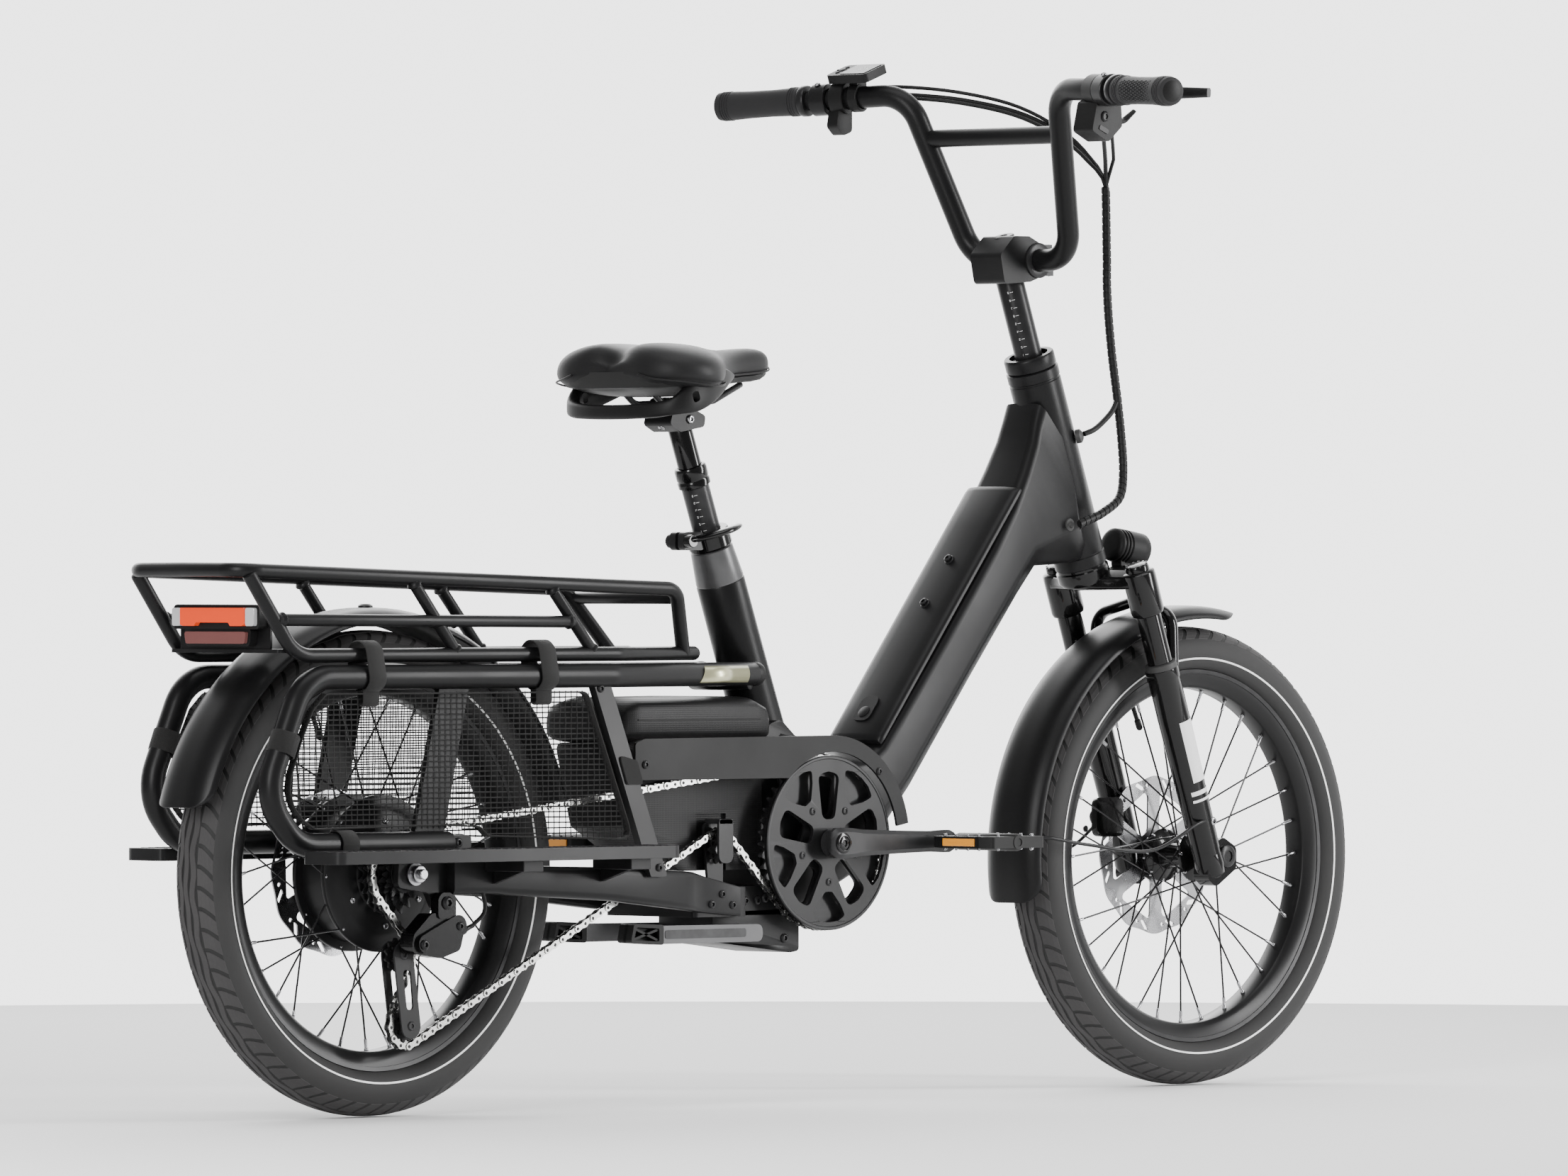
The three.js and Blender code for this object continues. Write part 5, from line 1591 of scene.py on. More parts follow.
def tyre_profile():
    outer = []
    for k in range(33):
        y = 32.6 * math.sin(math.pi * (k / 32 - 0.5))
        outer.append((tyre_surface(y), y))
    bead = [(222, 31.6), (215, 27.4), (212, 22.6), (211.4, 19.4), (206.4, 18.6)]
    return outer + bead + [(r, -y) for r, y in reversed(bead)]


def wavy_rib(y0, wide, sway, waves, phase, high=1.2):
    rings = []
    steps = waves * 6
    for k in range(steps):
        a = 2 * math.pi * k / steps
        y = y0 + sway * math.sin(waves * a + phase)
        ring = []
        for dy, dr in ((-wide, -1.5), (-wide * 0.86, high), (wide * 0.86, high), (wide, -1.5)):
            r = tyre_surface(y + dy) + dr
            ring.append((r * math.cos(a), y + dy, r * math.sin(a)))
        rings.append(ring)
    return rings_to_skin(rings, closed=True, caps=False)


def shoulder_blocks(side, count, y_in, y_out, lean, gap):
    parts = Parts()
    pitch = 2 * math.pi / count
    for k in range(count):
        rings = []
        for s in range(5):
            t = s / 4
            y = side * (y_in + (y_out - y_in) * t)
            middle = k * pitch + lean * t * t
            wide = pitch * (0.5 - gap) * (1 - 0.15 * t)
            ring = []
            for da, dr in (
                (-wide, -1.5), (-wide * 0.94, 1.15 - 0.5 * t), (wide * 0.94, 1.15 - 0.5 * t), (wide, -1.5)
            ):
                r = tyre_surface(y) + dr
                ring.append((r * math.cos(middle + da), y, r * math.sin(middle + da)))
            rings.append(ring)
        parts.add(rings_to_skin(rings))
    return parts


def about_axle(shape, centre_x):
    return placed(shape, centre_x, 0, WHEEL_R)


TREAD_RIBS = Parts()
for y0, wide, sway, phase in ((0, 3.6, 1.1, 0), (9.2, 3.6, 1.5, 2.0), (-9.2, 3.6, 1.5, -1.1)):
    TREAD_RIBS.add(wavy_rib(y0, wide, sway, 34, phase))
for side in (1, -1):
    TREAD_RIBS.add(shoulder_blocks(side, 72, 14.9, 27.6, 0.05, 0.07))
print("tread vertices", len(TREAD_RIBS.points))

# %% [markdown]
# ### Rim, spokes and discs
# The rim is a turned section. Spokes could be painted on a disc, but real wires catch the light and show the
# wheel behind: each runs from a hub flange to the rim at the lacing's angle, with a nipple and a head at its ends.
# The brake disc is a wavy outline with arms and slots cut through it.

# %% Rim, spokes and discs


def rim_profile():
    half = [
        (206, 18.4), (206.6, 21.4), (211, 22.0), (211.4, 20.8), (205, 20.4), (196, 17.4), (191.2, 13.6),
        (190, 11.5)
    ]
    return half + [(r, -y) for r, y in reversed(half)]


def spoke_set(flange_r, flange_y, lacing):
    wires, nipples, heads = Parts(), Parts(), Parts()
    for i in range(32):
        side = 1 if i % 2 else -1
        lean = lacing if (i >> 1) % 2 else -lacing
        outer = i * 2 * math.pi / 32
        inner = outer + math.radians(lean)
        start = Vector(
            (
                flange_r * math.cos(inner), side * (flange_y + math.copysign(1.6, lean)),
                flange_r * math.sin(inner)
            )
        )
        end = Vector((188.6 * math.cos(outer), side * 1.4, 188.6 * math.sin(outer)))
        wires.add(tube([start, end], 1.05, 8, domed=False))
        along = (start - end).normalized()
        nipples.add(turned([(2.6, -1.5), (2.6, 1), (1.9, 2), (1.8, 12), (1.2, 12.6)], end, along, 10))
        heads.add(turned([(0.4, -2.6), (1.8, -1.8), (1.8, 1.8), (0.4, 2.6)], start, (0, 1, 0), 10))
    return wires, nipples, heads


print("rim, spokes and discs ready")

# %% [markdown]
# ### Brake disc
# The disc is a flat plate, so all its character is in its outline: a gentle wave outside, six open windows between
# slanting arms, and a row of slots and drilled holes in the track.

# %% Brake disc


def disc(y, spider_r):
    """A wavy brake rotor: an outline that waves, slots through the track, and slender arms."""
    outline = []
    for k in range(160):
        a = 2 * math.pi * k / 160
        r = 88.6 + 1.3 * math.cos(12 * a)
        outline.append((r * math.cos(a), r * math.sin(a)))
    gaps = []
    for k in range(6):
        gap = []
        middle = 2 * math.pi * k / 6
        for r, a in ((30, 0.30), (70, 0.40), (73, 0.36), (73, -0.30), (68, -0.36), (30, -0.12)):
            gap.append((r * math.cos(middle + a), r * math.sin(middle + a)))
        gaps.append(rounded(gap, 7, 4))
    for k in range(12):
        middle = 2 * math.pi * (k + 0.5) / 12
        slot = []
        for r, a in ((76.5, 0.03), (84.5, 0.13), (86, 0.10), (86, 0.06), (78, -0.05), (76.5, -0.02)):
            slot.append((r * math.cos(middle + a), r * math.sin(middle + a)))
        gaps.append(rounded(slot, 1.6, 3))
        gaps.append(circle(2.4, 12, (80 * math.cos(middle - 0.11), 80 * math.sin(middle - 0.11))))
    gaps.append(circle(spider_r, 32))
    return extruded(outline, y, y + 2, gaps)


print("brake disc ready")

# %% [markdown]
# ### Two wheels from one function
# Both wheels have the same tyre, rim and lacing and differ in hub size and disc place, so one function makes them.
# Each piece rides on its wheel's body and turns with it.

# %% Two wheels from one function


def make_wheel(word, centre_x, flange_r, flange_y, lacing, disc_y, spider_r):
    body = f"{word}_wheel"
    keep(
        f"{word}_tyre_case", about_axle(wheel_turned(tyre_profile(), 160), centre_x), body, SIDEWALL,
        stands_for=f"{word}_tyre"
    )
    keep(f"{word}_tread", about_axle(TREAD_RIBS, centre_x), body, TREAD, smooth=False)
    # The floor of the grooves between the tread ribs is near-black: painted shade in the grooves, darker than the
    # tyre's own rubber.
    groove_shade_line = [(tyre_surface(y) + 0.2, y) for y in [-27.4 + 54.8 * k / 24 for k in range(25)]]
    keep(
        f"{word}_groove_painted_shade", about_axle(wheel_turned(groove_shade_line, 160, closed=False), centre_x), body,
        PAINTED_SHADE_AND_SEAM
    )
    stripes = Parts()
    for side in (1, -1):
        band_profile = [(222.6, side * 31.9), (224.4, side * 32.3), (224.5, side * 32.6), (222.5, side * 32.2)]
        stripes.add(wheel_turned(band_profile, 160))
    keep(f"{word}_stripes", about_axle(stripes, centre_x), body, STRIPE)
    keep(
        f"{word}_rim_band", about_axle(wheel_turned(rim_profile(), 144), centre_x), body, ANODISED,
        stands_for=f"{word}_rim"
    )
    wires, nipples, heads = spoke_set(flange_r, flange_y, lacing)
    keep(
        f"{word}_spoke_wires", about_axle(wires, centre_x), body, SPOKE, stands_for=f"{word}_spokes",
    )
    keep(f"{word}_nipples", about_axle(nipples, centre_x), body, STEEL)
    keep(f"{word}_spoke_heads", about_axle(heads, centre_x), body, STEEL)
    keep(
        f"{word}_disc", about_axle(disc(disc_y, spider_r), centre_x), body, STEEL, stands_for=f"{word}_rotor",
        bevel=0.25, segments=1
    )
    valve_at = (centre_x + 190 * math.cos(2.0), 0, WHEEL_R + 190 * math.sin(2.0))
    inward = (-math.cos(2.0), 0, -math.sin(2.0))
    keep(
        f"{word}_valve",
        turned([(3.4, -2), (3.4, 2), (2.6, 3), (2.6, 20), (3.6, 21), (3.6, 31), (2, 33)], valve_at, inward, 16),
        body, MOULDED
    )


make_wheel("rear", 0, 80.5, 22, 24, 50, 22)
make_wheel("front", WHEELBASE, 28.4, 26, 62, 39, 20)

# %% [markdown]
# The front hub is a slim turned shell with two spoke flanges. The rear hub is a motor: a wide drum with a domed
# cover held by a ring of small screws.

# %% Hubs
front_hub = [
    (8, -43), (11, -43), (11.6, -42), (12, -32), (29, -28), (30, -27), (30, -25), (29, -24), (16, -19),
    (13.6, -10), (13.6, 10), (16, 19), (29, 24), (30, 25), (30, 27), (29, 28), (20.5, 33), (20.5, 38.4),
    (8, 38.4)
]
keep(
    "front_hub_shell", about_axle(wheel_turned(front_hub, 64), WHEELBASE), "front_wheel", GLOSS,
    stands_for="front_hub"
)
motor = [
    (8, -64), (15, -64), (16.4, -62.5), (16.4, -36), (20, -34.6), (40, -33.6), (42, -33), (43, -32),
    (64, -30.6), (69, -28.6), (73, -25.4), (83.5, -24.8), (84, -24), (84, -20.4), (83.5, -19.6), (74.4, -19),
    (74.4, 19), (83.5, 19.6), (84, 20.4), (84, 24), (83.5, 24.8), (73, 25.4), (69, 28.6), (64, 31), (43, 33),
    (25, 36), (22.4, 49.4), (8, 49.4)
]
keep(
    "motor_drum", about_axle(wheel_turned(motor, 96), 0), "rear_wheel", POWDER, stands_for="hub_motor",
)
cover_screws = Parts()
for k in range(6):
    a = math.radians(30 + 60 * k)
    cover_screws.add(bolt((56 * math.cos(a), -31.2, 56 * math.sin(a)), (0, -1, 0), 3.4, 1.8))
    cover_screws.add(bolt((56 * math.cos(a), 31.6, 56 * math.sin(a)), (0, 1, 0), 3.4, 1.8))
    cover_screws.add(bolt((25 * math.cos(a) * 0.66, 52, 25 * math.sin(a) * 0.66), (0, 1, 0), 2.4, 1.4))
keep("motor_screws", about_axle(cover_screws, 0), "rear_wheel", STEEL)
rotor_screws = Parts()
for k in range(6):
    a = math.radians(60 * k)
    rotor_screws.add(bolt((22.5 * math.cos(a), 41, 22.5 * math.sin(a)), (0, 1, 0), 2.6, 1.4))
keep("front_disc_screws", about_axle(rotor_screws, WHEELBASE), "front_wheel", ANODISED)
axle = Parts()
for side in (-1, 1):
    axle.add(
        turned(
            [
                (6.8, 60), (6.8, 76.4), (12, 76.4), (12.2, 77), (12.2, 79), (9.4, 79.4), (9.4, 85.6),
                (8.6, 86.4), (5.6, 86.6), (5.6, 91), (4.8, 92)
            ],
            (0, 0, WHEEL_R), (0, side, 0), 32
        )
    )
keep("axle_nuts", axle, "frame", STEEL, stands_for="rear_axle")
print("wheels ready")

# %% [markdown]
# ## Drive
# The chain is built link by link along a belt line laid round the five toothed wheels: each link is a pair of
# waisted plates, inner and outer by turns, with a roller and a pin between. Teeth are cut one by one.

# %% Belt line and chain


def belt_line(circles, step):
    touch = []
    for i, (x0, z0, r0, t0) in enumerate(circles):
        x1, z1, r1, t1 = circles[(i + 1) % len(circles)]
        distance = math.hypot(x1 - x0, z1 - z0)
        heading = math.atan2(z1 - z0, x1 - x0) + math.asin((t0 * r0 - t1 * r1) / distance)
        touch.append(
            (
                (x0 + t0 * r0 * math.sin(heading), z0 - t0 * r0 * math.cos(heading)),
                (x1 + t1 * r1 * math.sin(heading), z1 - t1 * r1 * math.cos(heading))
            )
        )
    line = []
    for i, (x, z, r, t) in enumerate(circles):
        enter, leave = touch[i - 1][1], touch[i][0]
        start = math.atan2(enter[1] - z, enter[0] - x)
        sweep = math.atan2(leave[1] - z, leave[0] - x) - start
        while sweep * t < 0:
            sweep += t * 2 * math.pi
        steps = max(4, int(abs(sweep) * r / 2))
        line += [
            Vector(
                (x + r * math.cos(start + sweep * k / steps), 0, z + r * math.sin(start + sweep * k / steps))
            )
            for k in range(steps + 1)
        ]
    lengths = [0.0]
    closed = line + [line[0]]
    for a, b in zip(closed, closed[1:]):
        lengths.append(lengths[-1] + (b - a).length)
    count = 2 * round(lengths[-1] / step / 2)
    places = []
    j = 0
    for k in range(count):
        goal = lengths[-1] * k / count
        while lengths[j + 1] < goal:
            j += 1
        places.append(
            closed[j].lerp(closed[j + 1], (goal - lengths[j]) / max(lengths[j + 1] - lengths[j], 1e-9))
        )
    return places


print("belt line and chain ready")

# %% [markdown]
# ### Chain links
# Every link is real: two waisted plates, a roller and a pin. An array along a curve would stretch the links; here
# the belt line is divided into a whole even number of equal steps, so inner and outer links alternate all round.

# %% Chain links
IDLER = (477, 279)
JOCKEY_HIGH = (-5, 174)
JOCKEY_LOW = (6, 98)
CHAIN_Y = -54
PINS = belt_line(
    [
        (*CRANK, 93.07, 1), (0, WHEEL_R, 42, 1), (*JOCKEY_HIGH, 22.5, -1), (*JOCKEY_LOW, 22.5, 1),
        (*IDLER, 20.55, -1)
    ],
    12.7
)


def link_plate(a, b, y0, y1, waist):
    along = (b - a).normalized()
    across = Vector((-along.z, 0, along.x))
    outline = []
    for k in range(7):
        t = math.pi * (k / 6 - 0.5)
        p = b + (along * math.cos(t) + across * math.sin(t)) * 3.9
        outline.append((p.x, p.z))
    p = (a + b) / 2 + across * waist
    outline.append((p.x, p.z))
    for k in range(7):
        t = math.pi * (k / 6 + 0.5)
        p = a + (along * math.cos(t) + across * math.sin(t)) * 3.9
        outline.append((p.x, p.z))
    p = (a + b) / 2 - across * waist
    outline.append((p.x, p.z))
    return extruded(outline, y0, y1)


plates, rollers = Parts(), Parts()
for i, a in enumerate(PINS):
    b = PINS[(i + 1) % len(PINS)]
    gap = 2.9 if i % 2 else 1.9
    for side in (-1, 1):
        y0, y1 = sorted((CHAIN_Y + side * gap, CHAIN_Y + side * (gap + 0.9)))
        plates.add(link_plate(a, b, y0, y1, 2.7))
    rollers.add(turned([(3.6, -1.8), (3.6, 1.8)], (a.x, CHAIN_Y, a.z), (0, 1, 0), 10))
    rollers.add(turned([(1.5, -4.2), (1.9, -3.9), (1.9, 3.9), (1.5, 4.2)], (a.x, CHAIN_Y, a.z), (0, 1, 0), 8))
keep("chain_plates", plates, "frame", NICKEL, stands_for="chain", smooth=False)
keep("chain_rollers", rollers, "frame", ANODISED)
print("chain links", len(PINS))

# %% [markdown]
# ### Toothed wheels
# Sprockets, chainring and jockey wheels differ only in the number and depth of their teeth, so one function
# draws a tooth and repeats it. The chainring has petal-shaped windows, and a guard disc with a raised lip stands
# outside its teeth.

# %% Toothed wheels


def toothed(teeth, pitch_r, root=3.6, tip=3.4):
    """A toothed wheel's outline: root and tip are measured from the pitch circle."""
    pitch = 2 * math.pi / teeth
    flank = pitch_r + min(-0.2, tip - 0.8)
    tooth = [
        (-0.5, pitch_r - root), (-0.34, pitch_r - root + 0.5), (-0.2, flank), (-0.08, pitch_r + tip),
        (0.08, pitch_r + tip), (0.2, flank), (0.34, pitch_r - root + 0.5),
    ]
    return [
        (r * math.cos((k + share) * pitch), r * math.sin((k + share) * pitch))
        for k in range(teeth) for share, r in tooth
    ]


def petal(angle, r0, r1, w0, w1, corner):
    """A window that widens outward: radii and half-widths."""
    a = math.radians(angle)
    c, s = math.cos(a), math.sin(a)
    shape = [(r0, -w0), (r1, -w1), (r1 + 3.5, 0), (r1, w1), (r0, w0)]
    return rounded([(r * c - w * s, r * s + w * c) for r, w in shape], corner, 5)


print("toothed wheels ready")

# %% [markdown]
# ### Sprockets, chainring and guard disc
# The sprockets sit in one stack on the rear hub. The chainring and its guard disc share the same five windows,
# with bolts and spacers between them.

# %% Sprockets, chainring and guard disc
sprockets = Parts()
for count, y in ((21, -38), (19, -41.5), (17, -45), (15, -48.5), (13, -52.5), (12, -55.8), (11, -59.2)):
    sprockets.add(
        extruded(toothed(count, count * 12.7 / 2 / math.pi + 0.2), y - 0.8, y + 0.8, [circle(15.5, 32)])
    )
sprockets.add(
    wheel_turned([(14, -62.6), (20, -62.6), (20, -61), (18.6, -60.4), (18.6, -36.6), (14, -36.6)], 40)
)
keep(
    "sprocket_stack", placed(sprockets, 0, 0, WHEEL_R), "sprockets", ANODISED, stands_for="cassette",
    bevel=0.2, segments=1
)
ring_windows = [petal(90 + 72 * k, 30, 70, 11, 18, 8) for k in range(5)]
keep(
    "chainring_teeth",
    placed(
        extruded(toothed(46, 93.07), CHAIN_Y - 1.6, CHAIN_Y + 1.6, [circle(10.6, 32), *ring_windows]), CRANK[0],
        0, CRANK[1]
    ),
    "crankset", ANODISED, stands_for="chainring", bevel=0.3, segments=1
)
guard_windows = [petal(90 + 72 * k, 26, 75, 9.6, 16.5, 9) for k in range(5)]
for k in range(5):
    a0 = math.radians(54 + 72 * k)
    trim = []
    for r, d in (
        (54, -0.10), (70, -0.26), (84, -0.31), (87, -0.16), (87.4, 0), (87, 0.16), (84, 0.31), (70, 0.26),
        (54, 0.10)
    ):
        trim.append((r * math.cos(a0 + d), r * math.sin(a0 + d)))
    guard_windows.append(rounded(trim, 4, 4))
guard_face = extruded(circle(96, 120), -66.4, -62, [circle(10.6, 32), *guard_windows])
keep("guard_disc", placed(guard_face, CRANK[0], 0, CRANK[1]), "crankset", ANODISED, bevel=1.1, segments=3)
rim_lip = wheel_turned(
    [(91.6, -66.2), (92.6, -67.4), (95, -67.4), (96, -66.2), (96, -62.4), (91.6, -62.4)], 120
)
keep("guard_lip", placed(rim_lip, CRANK[0], 0, CRANK[1]), "crankset", ANODISED)
spacers = Parts()
for k in range(5):
    a = math.radians(54 + 72 * k)
    spacers.add(turned([(5, 0), (5, 8)], (43 * math.cos(a), CHAIN_Y - 1, 43 * math.sin(a)), (0, -1, 0), 20))
    spacers.add(bolt((43 * math.cos(a), -66.4, 43 * math.sin(a)), (0, -1, 0), 4.2, 1.4))
keep("ring_bolts", placed(spacers, CRANK[0], 0, CRANK[1]), "crankset", ANODISED)


def small_wheel(teeth, pitch_r):
    """A jockey or idler wheel: teeth that end inside the chain's rollers, and a ring of round windows."""
    windows = [circle(2.6, 12, (11.5 * math.cos(a), 11.5 * math.sin(a))) for a in angles(5)]
    return extruded(toothed(teeth, pitch_r, 7.6, -4.2), -1.5, 1.5, [circle(3.6, 32), *windows])


for name, (x, z), pitch_r, teeth, body, node in (
    ("upper_jockey_teeth", JOCKEY_HIGH, 22.5, 11, "upper_jockey", "jockey_wheel_upper"),
    ("lower_jockey_teeth", JOCKEY_LOW, 22.5, 11, "lower_jockey", "jockey_wheel_lower"),
    ("idler_teeth", IDLER, 20.55, 10, "idler", "chain_idler"),
):
    keep(name, placed(small_wheel(teeth, pitch_r), x, CHAIN_Y, z), body, MOULDED,
         stands_for=node, bevel=0.3)
print("toothed wheels ready")

# %% [markdown]
# ### Cranks
# A crank is forged: broad at the axle, waisted, and rounded at the pedal. A skin through bevelled sections
# gives all this in one closed mesh, where a box with bevelled edges would keep its straight sides.

# %% Cranks
CRANK_AXIS = Vector((CRANK[0], 0, CRANK[1]))


def crank_skin(side, y_in, y_out):
    """A forged arm: broad at the axle, waisted, and rounded at the pedal, with bevelled outer edges."""
    rings = []
    for x, half, inset in [
        (-17, 6, 2), (-14, 12, 1), (-7, 16.4, 0), (4, 17, 0), (18, 16.2, 0), (34, 14.4, 0), (90, 12.6, 0),
        (140, 11.4, 0), (160, 12.4, 0), (170, 12.4, 0), (178, 9.6, 1), (182, 4.6, 2)
    ]:
        low, high = y_in + inset, y_out - inset
        outline = [
            (low, -half + 2), (low + 2, -half), (high - 4.5, -half), (high, -half + 4.5), (high, half - 4.5),
            (high - 4.5, half), (low + 2, half), (low, half - 2)
        ]
        if half < 7:
            outline = [
                (low, -half), (low + 1, -half), (high - 2, -half), (high - 1, -half + 1), (high - 1, half - 1),
                (high - 2, half), (low + 1, half), (low, half)
            ]
        rings.append([(side * x, side * -y, z) if side > 0 else (side * x, y, z) for y, z in outline])
    return rings_to_skin(rings)


def add_crank(side, name, node):
    parts = Parts()
    parts.add(crank_skin(side, 78, 90))
    at_axle = turned([(15, 60 if side < 0 else 69), (15, 79), (14, 80)], (0, 0, 0), (0, -side, 0), 40)
    parts.add(at_axle)
    pin = turned([(4, 80), (4, 189), (3.4, 190)], (side * CRANK_TURN_R, 0, 0), (0, -side, 0), 20)
    keep(
        name, placed(parts, CRANK[0], 0, CRANK[1]), "crankset", ANODISED, stands_for=node,
        angle=30
    )
    keep(name + "_pin", placed(pin, CRANK[0], 0, CRANK[1]), "crankset", STEEL)
    cap = Parts().add(
        turned(
            [(11.5, 89.2), (11.5, 90.6), (10.4, 91.2), (8.2, 91.2), (8.2, 90.2)], (0, 0, 0), (0, -side, 0), 36
        )
    )
    cap.add(bolt((0, -side * 89.6, 0), (0, -side, 0), 7.6, 1.8))
    keep(name + "_cap", placed(cap, CRANK[0], 0, CRANK[1]), "crankset", GLOSS)


add_crank(1, "right_crank_arm", "crank_right")
add_crank(-1, "left_crank_arm", "crank_left")
keep("crank_spindle", turned([(9, -69), (9, 60)], (CRANK[0], 0, CRANK[1]), (0, 1, 0), 32), "crankset", STEEL)

# %% [markdown]
# ### Pedals
# A pedal is a moulded platform with two openings, steel studs that grip the shoe and amber reflectors in its
# edges. It is a flat outline with holes, extruded upward. Both come from one function that is given the side.

# %% Pedals


def add_pedal(side, name, node):
    x0, y0 = CRANK[0] + side * CRANK_TURN_R, -side * 146
    rides_on = "right_pedal" if side > 0 else "left_pedal"
    outline = rounded(
        [(-40, -46), (40, -46), (47, -30), (47, 30), (40, 46), (-40, 46), (-47, 30), (-47, -30)], 5
    )
    holes = [
        rounded([(low, -34), (high, -34), (high, 34), (low, 34)], 5) for low, high in ((-35, -13), (13, 35))
    ]
    body = Parts().add(extruded(outline, -6.4, 6.4, holes, plane="xy"))
    keep(name, placed(body, x0, y0, CRANK[1]), rides_on, MOULDED, stands_for=node, bevel=1.4)
    barrel = wheel_turned([(4.5, -47), (8, -47), (9.6, -44), (9.6, 44), (8, 47), (4.5, 47)], 32)
    keep(name + "_barrel", placed(barrel, x0, y0, CRANK[1]), rides_on, MOULDED)
    studs = Parts()
    places = [(x, y) for x in (-42, 42) for y in (-26, -9, 9, 26)] + [
        (x, y) for y in (-40, 40) for x in (-26, 0, 26)
    ]
    for x, y in places:
        for up in (-1, 1):
            studs.add(turned([(1.6, 5), (1.6, 8.6), (1.0, 9.2)], (x, y, 0), (0, 0, up), 10))
    keep(name + "_studs", placed(studs, x0, y0, CRANK[1]), rides_on, STEEL)
    lamps = Parts()
    for x in (-47, 47):
        outer = x + math.copysign(1.4, x)
        lamps.add(box(*sorted((x - math.copysign(1, x), outer)), -24, 24, -4.2, 4.2))
    keep(name + "_reflectors", placed(lamps, x0, y0, CRANK[1]), rides_on, ORANGE, bevel=0.6)


add_pedal(1, "right_pedal_frame", "pedal_right")
add_pedal(-1, "left_pedal_frame", "pedal_left")
print("cranks and pedals ready")

# %% [markdown]
# The rear gear mechanism hangs below the dropout: a glossy forged body, and a cage of two plates
# with windows that carries the two jockey wheels and keeps the chain tight.

# %% Gear mechanism


def capsule(a, b, ra, rb, steps=12):
    """Outline of a bar with round ends of two radii."""
    a, b = Vector(a), Vector(b)
    heading = math.atan2((b - a).y, (b - a).x)
    half_turn = [heading + math.pi * (k / steps - 0.5) for k in range(steps + 1)]
    far = [(b.x + rb * math.cos(t), b.y + rb * math.sin(t)) for t in half_turn]
    return far + [(a.x - ra * math.cos(t), a.y - ra * math.sin(t)) for t in half_turn]


mech = Parts().add(
    extruded(
        rounded([(16, 218), (50, 218), (66, 205), (58, 178), (30, 170), (-14, 176), (-10, 196)], 9), -86, -66
    )
)
mech.add(extruded(rounded([(24, 212), (50, 212), (50, 234), (42, 240), (30, 240), (24, 234)], 6), -88, -76.4))
mech.add(extruded(capsule((4, 186), (52, 204), 10, 12), -90, -85))
keep("mech_body", mech, "frame", GLOSS, stands_for="derailleur_body", bevel=2.2, segments=3)
mech_bits = Parts().add(
    bolt((37, -88, 229), (0, -1, 0), 7.2, 3.4)
).add(bolt((2, -90, 185), (0, -1, 0), 5.4, 2.6)).add(bolt((54, -90, 204), (0, -1, 0), 4.6, 2.4))
mech_bits.add(
    turned(
        [(3.6, 0), (4.4, 1), (4.4, 9), (3.4, 10), (2.6, 16), (2.6, 22)], (60, -80, 196), (0.86, -0.1, 0.35), 16
    )
)
keep("mech_bolts", mech_bits, "frame", ANODISED)
cage_outline = capsule(JOCKEY_HIGH, JOCKEY_LOW, 14, 14)
cage_parts = Parts()
for low, high in ((-65, -62.8), (-45.8, -43.6)):
    cage_parts.add(extruded(cage_outline, low, high, [rounded([(-6, 158), (5, 157), (9, 116), (0, 115)], 5)]))
keep("mech_cage", cage_parts, "cage", ANODISED, stands_for="derailleur_cage", bevel=0.5)
cage_pins = Parts()
for x, z in (JOCKEY_HIGH, JOCKEY_LOW):
    cage_pins.add(
        turned(
            [(3, 0), (3, 21), (5, 21), (5, 22), (4, 22.8), (2.6, 22.8), (2.6, 21.8)], (x, -43.6, z), (0, -1, 0),
            20
        )
    )
keep("cage_bolts", cage_pins, "cage", ANODISED)
gear_cable = smooth_path([(80, -82, 204), (96, -84, 220), (88, -84, 246), (62, -82, 262), (58, -80, 285)], 22)
keep("mech_cable", tube(gear_cable, 2.3, 10, domed=False), "frame", MOULDED)
print("gear mechanism ready")

# %% [markdown]
# ## Fork
# The fork has a glossy crown with knobs on its leg tops, polished upper tubes, and gloss lower legs joined by an
# arch. The legs are turned pieces with a little swell at the seal; the crown is a plate with big fillets.

# %% Crown and upper tubes
LEG_DIR = (LEG_LOW - LEG_TOP).normalized()
crown = Parts()
for y in (-LEG_Y, LEG_Y):
    crown.add(
        turned(
            [
                (8, -9), (12, -8), (13.5, -5), (13.5, -1), (17, 0), (18.6, 1.6), (19, 6), (19, 46), (17.8, 50),
                (15, 51.5)
            ],
            on_leg(582, y), LEG_DIR, 40
        )
    )
keep("crown_sockets", crown, "fork", GLOSS, stands_for="fork_crown")
BRIDGE = rounded([(1096, 574), (1120, 584), (1156, 590), (1160, 578), (1140, 568), (1118, 560), (1098, 561)], 6)
rings = []
for y in (-62, -50, -38, -26, -14, 0, 14, 26, 38, 50, 62):
    share = min(1, abs(y) / 54)
    squeeze = 1 - 0.5 * share ** 1.6
    rings.append(
        [(1134 + (x - 1134) * squeeze + 2 * share, y, 575 + (z - 575) * (1 - 0.1 * share)) for x, z in BRIDGE]
    )
keep("crown_bridge", rings_to_skin(rings), "fork", GLOSS, bevel=2, segments=3, angle=45)
keep(
    "crown_race",
    turned(
        [(21, 203), (27, 204), (28.4, 206), (28.4, 219.4), (30, 221), (30, 231), (27, 236), (12, 237)],
        STEER_TOP, STEER_DIR, 56
    ),
    "fork", GLOSS
)
keep("steerer", pipe([(21, 40), (21, 206)], 16.3, STEER_TOP, STEER_DIR, 40), "fork", ANODISED)
uppers = Parts()
for y in (-LEG_Y, LEG_Y):
    uppers.add(turned([(14, 0), (14, 196)], on_leg(540, y), LEG_DIR, 40))
keep("upper_tubes", uppers, "fork", GLOSS)
knobs = Parts()
